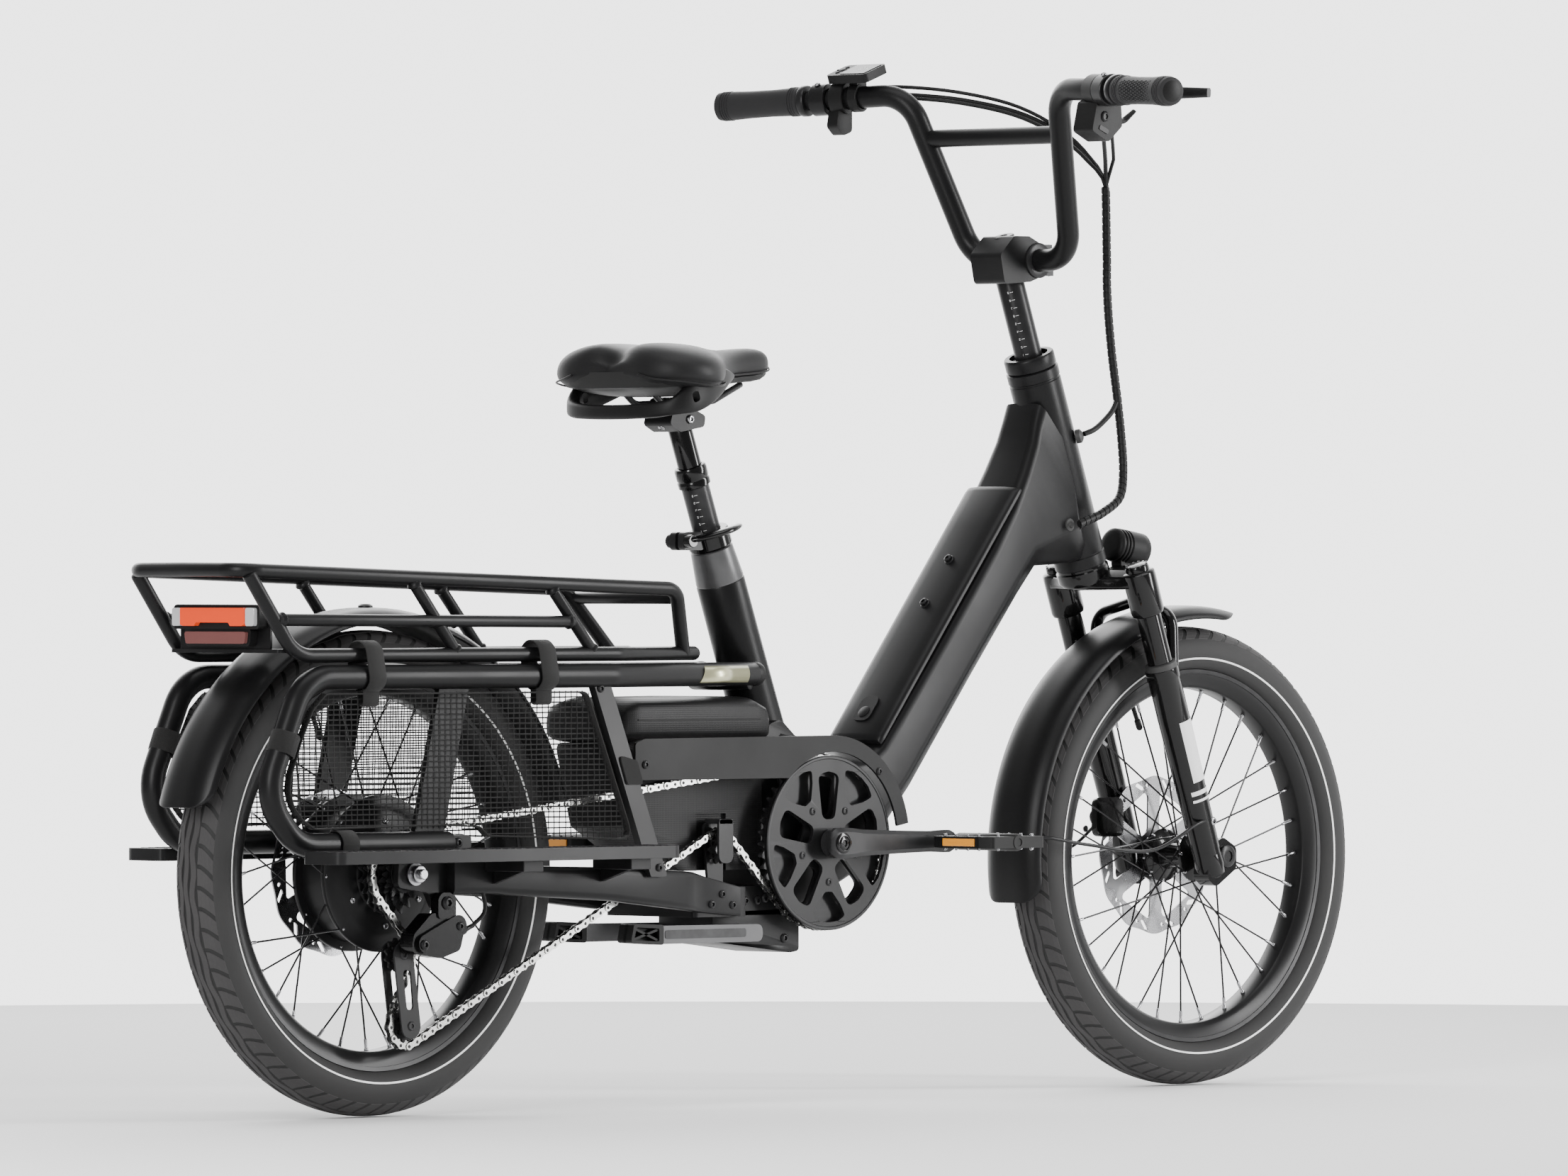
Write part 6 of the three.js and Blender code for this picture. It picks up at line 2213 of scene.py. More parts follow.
for y in (-LEG_Y, LEG_Y):
    for k in range(12):
        a = 2 * math.pi * k / 12
        side, up = frame_at(LEG_DIR)
        spot = on_leg(582, y) - LEG_DIR * 8.6 + (side * math.cos(a) + up * math.sin(a)) * 11.6
        knobs.add(turned([(1.5, 0), (1.5, 7)], spot, LEG_DIR, 8))
keep("leg_knobs", knobs, "fork", ANODISED)
print("crown and upper tubes ready")

# %% [markdown]
# ### Lower legs
# The lower legs slide on the upper tubes, so they move as a body of their own, with the arch, the axle and the
# mudguard. They are hollow turned pieces: when the fork sinks, the tubes go inside them and nothing overlaps.

# %% Lower legs, arch and axle
lowers = Parts()
LEG_PROFILE = [
    (17.2, 0), (19.2, 1.5), (19.4, 12), (18.4, 14), (18.4, 60), (17.6, 120), (16.8, 190), (16.4, 226)
]
for y in (-LEG_Y, LEG_Y):
    lowers.add(pipe(LEG_PROFILE, 14.6, on_leg(LEG_SEAL_Z, y), LEG_DIR, 40))
    lowers.add(turned([(16.4, 224), (17.4, 236), (15.5, 248), (10, 252.5)], on_leg(LEG_SEAL_Z, y), LEG_DIR, 40))
keep("lower_legs", lowers, "fork_legs", GLOSS, stands_for="fork_lowers")
ears = Parts()
for y in (-LEG_Y, LEG_Y):
    low, high = (y - 12, y + 10) if y > 0 else (y - 10, y + 12)
    ears.add(
        extruded(
            rounded([(1236, 236), (1250, 225), (1284, 246), (1284, 270), (1262, 282), (1240, 270)], 9), low,
            high
        )
    )
keep("dropout_ears", ears, "fork_legs", GLOSS, bevel=2.6, segments=3)
arch = bent([(1190, -62, 458), (1192, -58, 534), (1191, 0, 548), (1192, 58, 534), (1190, 62, 458)], 22, 8)
keep("fork_arch", swept(arch, oval(7.6, 6.2)), "fork_legs", GLOSS)
axle_bits = Parts()
for side in (-1, 1):
    axle_bits.add(
        turned(
            [
                (7, 43 if side < 0 else 40), (7, 72), (11.5, 72.4), (12.4, 73), (12.4, 75), (10.6, 76),
                (6.4, 76), (6.4, 74.4), (3, 74.4)
            ],
            (WHEELBASE, 0, WHEEL_R), (0, side, 0), 40
        )
    )
keep("front_axle", axle_bits, "fork_legs", ANODISED)
seals = Parts()
for y in (-LEG_Y, LEG_Y):
    seals.add(pipe([(15.6, -6), (17.8, -5), (18.6, -1), (18.6, 1)], 14.3, on_leg(LEG_SEAL_Z, y), LEG_DIR, 40))
keep("leg_seals", seals, "fork_legs", PORT_GREY)

# %% [markdown]
# The outer right leg carries a plain white block and two thin bars; any lettering is left out. They are thin
# shells that follow the leg's curve, standing a tenth of a millimetre proud.

# %% Leg marking and mudguard stay


def wrapped_mark(start_d, end_d, low_deg, high_deg, radius_start, radius_end):
    side, up = frame_at(LEG_DIR)
    outward = Vector((0, -1, 0))
    forward = LEG_DIR.cross(outward).normalized()
    points, faces = [], []
    for layer in (0.0, 0.3):
        for d, radius in ((start_d, radius_start), (end_d, radius_end)):
            for k in range(9):
                a = math.radians(low_deg + (high_deg - low_deg) * k / 8)
                points.append(
                    on_leg(LEG_SEAL_Z, -LEG_Y) + LEG_DIR * d
                    + (outward * math.cos(a) + forward * math.sin(a)) * (radius + layer)
                )
    for k in range(8):
        faces += [[k, k + 1, 10 + k, 9 + k], [18 + k, 27 + k, 28 + k, 19 + k]]
        faces += [[k, 18 + k, 19 + k, k + 1], [9 + k, 10 + k, 28 + k, 27 + k]]
    faces += [[0, 9, 27, 18], [8, 26, 35, 17]]
    return points, faces


marks = Parts().add(wrapped_mark(64, 136, -62, 30, 18.5, 17.6))
marks.add(wrapped_mark(146, 151, -62, 48, 17.5, 17.4)).add(wrapped_mark(156, 159, -62, 48, 17.4, 17.3))
keep("leg_marks", marks, "fork_legs", MARKING)
stay_wire = Parts()
for side in (-1, 1):
    wire = smooth_path(
        [
            (1240, side * 74, 300), (1216, side * 77, 298), (1150, side * 66, 268), (1060, side * 50, 276),
            (1008, side * 44, 284), (995, side * 30, 283), (990, 0, 281)
        ],
        44
    )
    stay_wire.add(tube(wire, 1.9, 10))
keep("mudguard_stay", stay_wire, "fork_legs", ANODISED)
stay_bits = Parts().add(bolt((1240, -76, 300), (0, -1, 0), 5, 3)).add(bolt((1240, 76, 300), (0, 1, 0), 5, 3))
stay_bits.add(turned([(7, 0), (7, 2.2), (4.4, 3.6)], (984.6, 0, 276), (-1, 0, 0.05), 24))
keep("stay_bolts", stay_bits, "fork_legs", STEEL)
print("leg marking and mudguard stay ready")

# %% [markdown]
# ### Brake calipers
# A caliper is two halves on either side of the disc, joined by a bridge over its edge. The halves are extruded
# plates with soft edges. A boolean cut then makes room for the disc, so that the wheel can turn freely.

# %% Brake calipers


def caliper_skin(low_x, high_x, low_z, high_z, disc_y):
    """Two halves either side of the disc, and the bridge that joins them above it."""
    face = rounded([(low_x, low_z), (high_x, low_z), (high_x, high_z), (low_x, high_z)], 10, 6)
    bridge = [
        (low_x + 4, high_z - 12), (high_x - 4, high_z - 12), (high_x - 4, high_z - 0.4),
        (low_x + 4, high_z - 0.4)
    ]
    skin = Parts().add(extruded(face, disc_y + 3.4, disc_y + 13)).add(extruded(face, disc_y - 10, disc_y - 1.6))
    return skin.add(extruded(rounded(bridge, 4), disc_y - 9, disc_y + 12))


def add_caliper(word, centre_x, box_x, box_z, disc_y, body):
    shell = keep(f"{word}_brake_body", placed(caliper_skin(*box_x, *box_z, disc_y), centre_x, 0, WHEEL_R), body,
                 GLOSS, stands_for=f"{word}_caliper", bevel=1.8, segments=3)
    bits = Parts()
    middle_x, middle_z = sum(box_x) / 2, sum(box_z) / 2
    wide, tall = box_x[1] - box_x[0], box_z[1] - box_z[0]
    bits.add(bolt((middle_x, disc_y + 13, middle_z), (0, 1, 0), 9, 2.4))
    for dx, dz in ((-0.36, -0.3), (0.36, 0.3)):
        bits.add(bolt((middle_x + dx * wide, disc_y + 13, middle_z + dz * tall), (0, 1, 0), 3.8, 2.2))
    keep(f"{word}_brake_bolts", placed(bits, centre_x, 0, WHEEL_R), body, STEEL)
    room_for_disc = tube(
        [(centre_x, disc_y - 1.4, WHEEL_R), (centre_x, disc_y + 3.4, WHEEL_R)], 92, 72, domed=False
    )
    carve(shell, room_for_disc)


add_caliper("rear", 0, (30, 100), (28, 70), 50, "frame")
add_caliper("front", WHEELBASE, (-106, -62), (22, 66), 39, "fork_legs")
print("brakes ready")

# %% [markdown]
# ## Headlight
# A short cylinder with cooling ribs on its back, a rim, and a clear lens set into the front.

# %% Headlight
LAMP_AXIS = (Vector((1200, 0, 605)) - Vector((1153, 0, 613))).normalized()
shell = [
    (9, 0), (14.5, 0.4), (17.6, 2), (19, 4), (19, 6), (17.6, 6.8), (17.6, 8.4), (19.4, 9.2), (19.4, 11),
    (17.8, 11.8), (17.8, 13.4), (19.6, 14.2), (19.6, 16), (18, 16.8), (18, 18.4), (19.8, 19.4), (20, 38),
    (20, 46), (19.2, 47.4), (17.6, 47.4), (17, 43.6)
]
keep(
    "headlight_shell", turned(shell, (1153, 0, 613), LAMP_AXIS, 64), "fork", MOULDED, stands_for="headlight",
)
keep(
    "headlight_glass",
    turned([(16.8, 43.8), (16.4, 44.6), (12, 46), (6, 46.8), (0.2, 47)], (1153, 0, 613), LAMP_AXIS, 48), "fork",
    HEAD_LENS
)
keep("headlight_foot", box(1162, 1169, -8, 8, 580, 598), "fork", MOULDED, bevel=1.4)
print("headlight ready")

# %% [markdown]
# ## Stem and bar
# The stem slides in the fork and carries white height marks. Its block clamps the bar, a thick tube bent
# up on both sides like a cradle, with a brace welded across.

# %% Stem
keep(
    "stem_tube", turned([(14, -138), (15.5, -136), (15.5, 64), (14.6, 66)], STEER_TOP, STEER_DIR, 48),
    "stem_post", ANODISED, stands_for="stem"
)
keep(
    "headset_cap",
    pipe(
        [(20, -30), (21.6, -29), (22, -26), (22, -19.6), (26, -18.8), (26, -18.2)], 15.8, STEER_TOP, STEER_DIR,
        56
    ),
    "frame", ANODISED
)
collar = pipe([(27.4, -34), (28.4, -33), (28.8, -31), (28.8, -20), (28, -18.6)], 22.2, STEER_TOP, STEER_DIR, 56)
keep("head_collar", collar, "frame", POWDER)
stem_side = rounded(
    [(950, 936), (957, 903), (998, 906), (1022, 914), (1027, 928), (1012, 950), (996, 957), (972, 957)], 7, 6
)
block_parts = Parts().add(extruded(stem_side, -24, 24, [circle(BAR_BORE, 36, (1010, 930))]))
keep("stem_block", block_parts, "stem_post", POWDER, bevel=2.4, segments=4)
stem_bits = Parts().add(
    turned([(12, -2), (12, 1.2), (11, 2), (5, 2), (4, 1), (0.2, 1)], (980, 0, 956), (-0.3, 0, 1), 40)
)
for y in (-19, 19):
    for z in (917, 944):
        stem_bits.add(bolt((1032, y, z), (1, 0, 0.05), 4.4, 3))
keep("stem_bolts", stem_bits, "stem_post", ANODISED)
clamp = Parts()
for y in (-19, 19):
    clamp.add(pipe([(18.4, -8), (19.8, -7), (19.8, 7), (18.4, 8)], BAR_BORE, (1010, y, 930), (0, 1, 0), 40))
    clamp.add(box(1018, 1033, y - 7, y + 7, 913, 921)).add(box(1016, 1031, y - 7, y + 7, 940, 948))
keep("bar_clamp", clamp, "stem_post", ANODISED)
print("stem ready")

# %% [markdown]
# ### Height marks
# Both telescopic posts carry white ticks with plain numbers. An image would be the quick way. Here each stroke
# is a thin curved patch that follows the round post, and digits are put together from seven strokes.

# %% White height marks
SEVEN = {
    "0": "abcdef", "1": "bc", "2": "abged", "3": "abgcd", "4": "fgbc", "5": "afgcd", "6": "afgedc", "7": "abc",
    "8": "abcdefg", "9": "abfgcd"
}
STROKES = {
    "a": (0, 2, 1, 2), "b": (1, 2, 1, 1), "c": (1, 1, 1, 0), "d": (0, 0, 1, 0), "e": (0, 1, 0, 0),
    "f": (0, 2, 0, 1), "g": (0, 1, 1, 1)
}


def scale_marks(centre, direction, radius, facing, start, count, pitch, wide=3.6):
    """Ticks, and plain numbers, wrapped on a round post: facing is the way the marks look."""
    direction = Vector(direction).normalized()
    facing = (Vector(facing) - direction * Vector(facing).dot(direction)).normalized()
    across = direction.cross(facing).normalized()
    parts = Parts()

    def patch(low_a, high_a, low_d, high_d):
        points = []
        for layer in (0.02, 0.22):
            for d in (low_d, high_d):
                for k in range(4):
                    a = (low_a + (high_a - low_a) * k / 3) / radius
                    points.append(
                        centre + direction * d
                        + (facing * math.cos(a) + across * math.sin(a)) * (radius + layer)
                    )
        faces = [[k, k + 1, 5 + k, 4 + k] for k in range(3)] + [
            [8 + k, 12 + k, 13 + k, 9 + k] for k in range(3)
        ]
        faces += [[k, 8 + k, 9 + k, k + 1] for k in range(3)] + [
            [4 + k, 5 + k, 13 + k, 12 + k] for k in range(3)
        ]
        faces += [[0, 4, 12, 8], [3, 11, 15, 7]]
        parts.add((points, faces))

    for n in range(count):
        d = start + n * pitch
        patch(-wide / 2, wide / 2, d - 0.22, d + 0.22)
        for stroke in SEVEN[str((count - n) % 10)]:
            x0, z0, x1, z1 = STROKES[stroke]
            low_a, high_a = sorted((x0 * 1.1, x1 * 1.1))
            low_d, high_d = sorted((-z0 * 1.1, -z1 * 1.1))
            left, top = wide / 2 + 1.4, d + 1.1
            patch(left + low_a - 0.14, left + high_a + 0.14, top + low_d - 0.14, top + high_d + 0.14)
    return parts


keep(
    "stem_scale", scale_marks(STEER_TOP, STEER_DIR, 15.5, (-0.75, -0.66, -0.2), -112, 9, 9.2), "stem_post",
    MARKING, smooth=False
)

# %% [markdown]
# ### Handlebar
# The bar is one bent tube, so it is a circle swept along a line with rounded corners. The brace is turned, with
# a small flare at each end where the weld is. A curve object could do the same; a mesh joins cleanly to the rest.

# %% Handlebar
HALF_BAR = [Vector((1010, 74, 930)), Vector((945, 117, 1118)), on_bar(150)]
bar_line = [Vector((p.x, -p.y, p.z)) for p in reversed(HALF_BAR)] + HALF_BAR
bar_path = bent(bar_line, 42, 12)
keep("bar_tube", tube(bar_path, 12.5, 28), "bar", POWDER, stands_for="handlebar")
inner = Parts()
for side in (1, -1):
    inner.add(turned([(11, 0), (11, 149)], on_bar(152, side), on_bar(0, side) - on_bar(152, side), 32))
keep("bar_ends", inner, "bar", POWDER)
brace = Parts()
brace_rings = [(12.4, 0), (11.2, 2), (10.4, 5), (10, 9), (10, 105)]
for side in (1, -1):
    brace.add(turned([(r, d) for r, d in brace_rings], (964, side * 105, 1068), (0, -side, 0), 28))
keep("bar_brace", brace, "bar", POWDER)
print("bar length", round(reach_of(bar_path), 3), "m")

# %% [markdown]
# ## Grips and controls
# The grips are moulded rubber: fine rings at both ends, a patch of small raised checks and an alloy clamp ring.

# %% Grips


def along_bar(profile, side, steps=48):
    """Turned about the end run of the bar; distances are from the bar's end inward."""
    return turned(profile, on_bar(0, side), on_bar(100, side) - on_bar(0, side), steps)


def add_grip(side, name, node):
    profile = [
        (8, 0.0), (13.5, 0.1), (15.6, 1.6), (16, 4), (16.2, 22), (15.4, 40), (15.2, 70), (15.8, 92),
        (16.4, 104), (16.4, 107)
    ]
    keep(name, along_bar(profile + [(15.4, 108)], side), "bar", GRIP, stands_for=node)
    direction = (on_bar(100, side) - on_bar(0, side)).normalized()
    around, up = frame_at(direction)
    bumps = Parts()
    for row in range(14):
        d = 28 + row * 4.6
        for k in range(7):
            a = math.radians(40 + 13 * k + (6.5 if row % 2 else 0))
            normal = around * math.cos(a) + up * math.sin(a)
            tangent = direction.cross(normal)
            base = on_bar(d, side) + normal * 15.2
            ring0 = [
                base + direction * i * 1.8 + tangent * j * 1.3 for i, j in ((-1, -1), (1, -1), (1, 1), (-1, 1))
            ]
            ring1 = [
                base + normal * 1.1 + direction * i * 1.3 + tangent * j * 0.9 for i,
                j in ((-1, -1), (1, -1), (1, 1), (-1, 1))
            ]
            bumps.add(rings_to_skin([ring0, ring1]))
    for d in (8, 11, 14, 17, 96, 99, 102):
        bumps.add(along_bar([(15.8, d - 0.8), (16.7, d - 0.5), (16.7, d + 0.5), (15.8, d + 0.8)], side))
    keep(name + "_pattern", bumps, "bar", GRIP)
    ring = along_bar([(13, 108.4), (17, 108.6), (17.6, 109.6), (17.6, 115.6), (17, 116.8), (13, 117)], side)
    keep(name + "_ring", ring, "bar", ANODISED)
    keep(name + "_cap", along_bar([(0.1, -0.1), (11.6, -0.1), (12.2, 0.3), (12.2, 1)], side), "bar", MOULDED)


add_grip(1, "left_grip", "grip_left")
add_grip(-1, "right_grip", "grip_right")
print("grips ready")

# %% [markdown]
# ### Brake levers
# A perch is a ring round the bar with a cylinder for the brake fluid. Its lever blade is a soft-cornered
# section swept along a bent path, thinner at its pivot and its tip. The blade rides on its own body, and turns.

# %% Brake perches and levers


def facing(side, shape):
    """The same shape on the rider's left (1) or right (-1)."""
    points, faces = plain_shape(shape)
    return [(p[0], p[1] * side, p[2]) for p in points], faces


PERCH = on_bar(134)
perch = Parts()
direction = (on_bar(100) - on_bar(0)).normalized()
perch.add(pipe([(17, 124.4), (18, 125.4), (18, 143), (17, 144)], BAR_BORE, on_bar(0), direction, 40))
perch.add(
    extruded(
        rounded(
            [
                (PERCH.x + 12, PERCH.z - 9), (PERCH.x + 34, PERCH.z - 8), (PERCH.x + 34, PERCH.z + 7),
                (PERCH.x + 12, PERCH.z + 8)
            ],
            5
        ),
        PERCH.y - 8, PERCH.y + 8
    )
)
perch.add(
    turned(
        [(6, -9), (8, -8), (8, 26), (6.4, 28), (4.2, 29), (3.6, 36), (3.2, 38)],
        (PERCH.x + 21, PERCH.y, PERCH.z), (0.02, -1, 0.02), 24
    )
)
pinch = bolt((PERCH.x - 8, PERCH.y, PERCH.z + 16.6), (-0.3, 0, 1), 3.6, 2.4)
for side, word in ((1, "left"), (-1, "right")):
    keep(
        f"{word}_perch", facing(side, perch), "bar", ANODISED, stands_for=f"brake_perch_{word}",
        bevel=0.8
    )
    keep(f"{word}_perch_bolt", facing(side, pinch), "bar", STEEL)
    tip = on_bar(14)
    path = bent(
        [
            (PERCH.x + 37, PERCH.y + 2, PERCH.z - 1), (PERCH.x + 43, PERCH.y + 34, PERCH.z - 3),
            (tip.x + 70, tip.y, tip.z)
        ],
        26, 8
    )
    section = oval(4.2, 7.6, 20, 0.6)
    sizes = [0.75 + 0.25 * min(1, k / 4) - (0.0 if k < len(path) - 1 else 0.3) for k in range(len(path))]
    blade = Parts().add(swept(path, section, scales=sizes, hint=Vector((0, 0, 1))))
    blade.add(
        turned([(6.4, 0), (6.8, 1), (6.8, 13), (6.4, 14)], (PERCH.x + 37, PERCH.y, PERCH.z - 8), (0, 0, 1), 24)
    )
    keep(
        f"{word}_blade", facing(side, blade), f"{word}_brake_lever", ANODISED, stands_for=f"brake_lever_{word}",
        angle=50
    )

# %% [markdown]
# ### Shifter, throttle and display
# The shifter pod hangs under the right end of the bar and the throttle paddle under the left. The display is a
# flat case tipped up to face the rider, modelled lying flat and then turned into place, which keeps its numbers
# simple. Its reading is made of the same seven strokes as the height marks.

# %% Gear shifter on the right, throttle and display on the left
POD = on_bar(162)
pod = Parts().add(
    pipe([(16.6, 144.6), (17.6, 145.4), (17.6, 165), (16.6, 166)], BAR_BORE, on_bar(0), direction, 40)
)
pod.add(
    extruded(
        rounded(
            [
                (POD.x - 22, POD.z - 46), (POD.x + 4, POD.z - 58), (POD.x + 26, POD.z - 40),
                (POD.x + 24, POD.z - 12), (POD.x + 8, POD.z - 4), (POD.x - 14, POD.z - 14)
            ],
            5
        ),
        POD.y - 14, POD.y + 16
    )
)
keep("shifter_pod", facing(-1, pod), "bar", MOULDED, bevel=3.2, segments=3)
pod_bits = Parts().add(bolt((POD.x - 2, POD.y + 16, POD.z - 30), (0, 1, 0), 6, 2)).add(
    extruded(
        rounded(
            [
                (POD.x - 12, POD.z - 44), (POD.x + 2, POD.z - 50), (POD.x + 4, POD.z - 45),
                (POD.x - 10, POD.z - 39)
            ],
            2
        ),
        POD.y + 15.4, POD.y + 17
    )
)
keep("shifter_details", facing(-1, pod_bits), "bar", ANODISED, bevel=0.3)
thumb = bent(
    [
        (POD.x + 27.4, -POD.y, POD.z - 34), (POD.x + 44, -POD.y, POD.z - 34),
        (POD.x + 56, -POD.y - 6, POD.z - 22)
    ],
    8, 6
)
keep(
    "thumb_lever", swept(thumb, oval(3.2, 5.4, 16), scales=[1.0] * (len(thumb) - 1) + [0.7]), "gear_lever",
    MOULDED, stands_for="shift_lever"
)
paddle_at = on_bar(158)
ring = pipe([(17, 150), (18, 151), (18, 167), (17, 168)], BAR_BORE, on_bar(0), direction, 40)
paddle = Parts().add(ring).add(
    extruded(
        rounded(
            [
                (paddle_at.x - 11, paddle_at.z - 10), (paddle_at.x - 15, paddle_at.z - 32),
                (paddle_at.x - 4, paddle_at.z - 42), (paddle_at.x + 10, paddle_at.z - 37),
                (paddle_at.x + 10, paddle_at.z - 10)
            ],
            6
        ),
        paddle_at.y - 8, paddle_at.y + 8
    )
)
keep("throttle_lever", paddle, "throttle_paddle", MOULDED, stands_for="throttle", bevel=2)
print("gear shifter on the right, throttle and display on the left ready")

# %% [markdown]
# ### Display
# The display is a thin case with dark glass, a few buttons and a two-digit reading built from plain strokes. It is
# raised on a small post whose ring grips the bar.

# %% Display
FACE = on_bar(180)
FACE_MIDDLE = Vector((FACE.x - 2, FACE.y, FACE.z + 27))
FACE_TURN = Matrix.Rotation(-0.35, 3, "Y")


def on_face(shape):
    """Tips a shape made lying flat up to face the rider."""
    points, faces = shape
    return [FACE_MIDDLE + FACE_TURN @ Vector(p) for p in points], faces


case = Parts().add(
    on_face(extruded(rounded([(-19, -31), (19, -31), (19, 31), (-19, 31)], 6), -5.5, 4.6, plane="xy"))
)
keep("display_case", case, "bar", MOULDED, stands_for="display", bevel=2, segments=3)
keep(
    "display_glass",
    on_face(extruded(rounded([(-15.5, -27), (15.5, -27), (15.5, 12), (-15.5, 12)], 3), 4.4, 5.3, plane="xy")),
    "bar", SCREEN, bevel=0.3
)
buttons = Parts()
for x, y, r in ((0, 21, 4.2), (-8.6, 21, 2.6), (8.6, 21, 2.6), (0, 28, 1.4), (0, 14.6, 1.2)):
    buttons.add(on_face(turned([(r, 0), (r, 1.0), (r * 0.8, 1.4)], (x, y, 4.2), (0, 0, 1), 24)))
keep("display_buttons", buttons, "bar", GRIP)
digits = Parts()
for place, number in ((-16, "2"), (-8, "5")):
    for stroke in SEVEN[number]:
        x0, z0, x1, z1 = STROKES[stroke]
        low_x, high_x = sorted((5 - z0 * 4.6, 5 - z1 * 4.6))
        low_y, high_y = sorted((place - x0 * 4.2, place - x1 * 4.2))
        digits.add(on_face(box(low_x - 0.5, high_x + 0.5, low_y - 0.5, high_y + 0.5, 5.25, 5.4)))
keep("display_digits", digits, "bar", SEGMENTS, smooth=False)
post = Parts().add(box(FACE.x - 8, FACE.x + 8, FACE.y - 6, FACE.y + 6, FACE.z + 8, FACE.z + 24))
post.add(pipe([(15.6, 174), (16.5, 175), (16.5, 185), (15.6, 186)], BAR_BORE, on_bar(0), direction, 40))
keep("display_mount", post, "bar", MOULDED, bevel=1)
print("controls ready")

# %% [markdown]
# ## Saddle
# The saddle is padded skin over a plastic shell: two broad lobes with a channel between them, a waist and a
# long nose that rises a little. It is lofted from soft sections, then smoothed by one subdivision. Foam this firm
# doesn't sag or wrinkle, so its swell is shaped in the listed sections and no cloth simulation is used.

# %% Saddle pad
PAD_STATIONS = [
    (356, 52, 792, 812), (359, 69, 784, 821), (367, 87, 779, 828), (381, 100, 776, 831.5),
    (400, 107, 773, 832.5), (422, 107, 771, 832), (444, 97, 772.5, 831), (464, 79, 777, 829),
    (486, 58, 784, 826.5), (510, 43, 789, 825), (535, 34, 791, 825), (560, 28, 792.5, 827), (582, 22, 795, 827),
    (595, 14, 799, 823), (601, 5, 805, 815)
]


def pad_ring(x, half, low, high):
    ring = []
    for k in range(40):
        a = 2 * math.pi * (k + 0.5) / 40
        c, s = math.cos(a), math.sin(a)
        y = half * math.copysign(abs(c) ** 0.8, c)
        middle = low + (high - low) * 0.42
        z = middle + ((high - middle) if s > 0 else (middle - low)) * math.copysign(abs(s) ** 0.75, s)
        if s > 0:
            z -= 3.4 * (abs(y) / half) ** 3 * min(1, half / 60)
            depth = 13 * max(0, 1 - abs(x - 385) / 110) + 2.2 * max(0, 1 - abs(x - 490) / 80)
            z -= depth * math.exp(-(y / 15) ** 2)
        rear = max(0, 1 - (x - 355) / 46)
        ring.append((x + rear * 16 * math.exp(-(y / 28) ** 2), y, z))
    return ring


pad = keep(
    "saddle_cushion", rings_to_skin([pad_ring(*s) for s in PAD_STATIONS]), "upper_post", LEATHER,
    stands_for="saddle_pad", angle=80
)
subdivide(pad)
under = []
for x, half, low, high in PAD_STATIONS:
    under.append(
        [
            (x + (3 if x < 400 else -3 if x > 560 else 0), y * 0.93 * half, max(low, 783) - 1.4 + dz) for y,
            dz in (
                (-0.94, 5), (-0.9, 1), (-0.74, -1.2), (-0.4, -1.6), (0, -1.6), (0.4, -1.6), (0.74, -1.2),
                (0.9, 1), (0.94, 5), (0.8, 8), (0, 8), (-0.8, 8)
            )
        ]
    )
# The shell under the pad is near-black: painted shade under the saddle, darker than its moulded plastic.
keep(
    "saddle_base", rings_to_skin(under), "upper_post", PAINTED_SHADE_AND_SEAM, stands_for="saddle_shell",
    angle=50
)
seam_line = smooth_path(
    [(x, half * 0.985, low + (high - low) * 0.2) for x, half, low, high in PAD_STATIONS], 60
)
keep("saddle_seam", Parts().add(tube(seam_line, 1.1, 8)).mirror(), "upper_post", LEATHER)
print("saddle pad ready")

# %% [markdown]
# ### Lift handle and rails
# Behind and under the saddle a moulded loop serves for lifting the bicycle. It is one skin whose section grows
# into tall flanks where it joins the base, with a finger slot cut through each. Steel rails run forward below.

# %% Lift handle and rails
LIFT_STATIONS = [
    (492, 58, 795, 3, 4), (474, 68, 793, 9, 5), (452, 78, 788, 16, 5.6), (430, 85, 782, 20, 6),
    (410, 87, 775, 20, 6.6), (394, 84, 767, 14, 7.2), (383, 76, 760.5, 9.5, 7.6), (375, 60, 757, 8.4, 7.4),
    (370, 36, 755.5, 8, 7), (368.5, 12, 755, 8, 7)
]
loop_path = smooth_path(LIFT_STATIONS + [(x, -y, z, h, t) for x, y, z, h, t in reversed(LIFT_STATIONS)], 72)
rings = []
for k, here in enumerate(loop_path):
    before, after = loop_path[max(k - 1, 0)], loop_path[min(k + 1, 71)]
    outward = Vector((after[1] - before[1], before[0] - after[0], 0)).normalized()
    section = oval(here[4], here[3], 24, 0.6)
    rings.append([Vector(here[:3]) + outward * across + Vector((0, 0, up)) for across, up in section])
lift_handle = keep("saddle_handle", rings_to_skin(rings), "upper_post", MOULDED, angle=60)
finger_slot = rounded([(402, 764), (411, 768), (407, 779), (398, 775)], 4, 6)
carve(lift_handle, extruded(finger_slot, -110, -60), extruded(finger_slot, 60, 110))
rails = Parts()
for side in (-1, 1):
    rails.add(
        tube(
            bent(
                [(396, side * 22, 786), (424, side * 22, 764), (500, side * 22, 768), (552, side * 13, 787)],
                20, 8
            ),
            3.5, 14
        )
    )
keep("saddle_rails", rails, "upper_post", ANODISED)
print("saddle pad ready")

# %% [markdown]
# ### Seat posts and clamp
# Two telescopic posts carry the saddle. Both are turned pieces, and the lower one is hollow, since the upper one
# slides inside it. The clamp is a ring with two ears, a nut and a curved lever that swings on a body of its own.

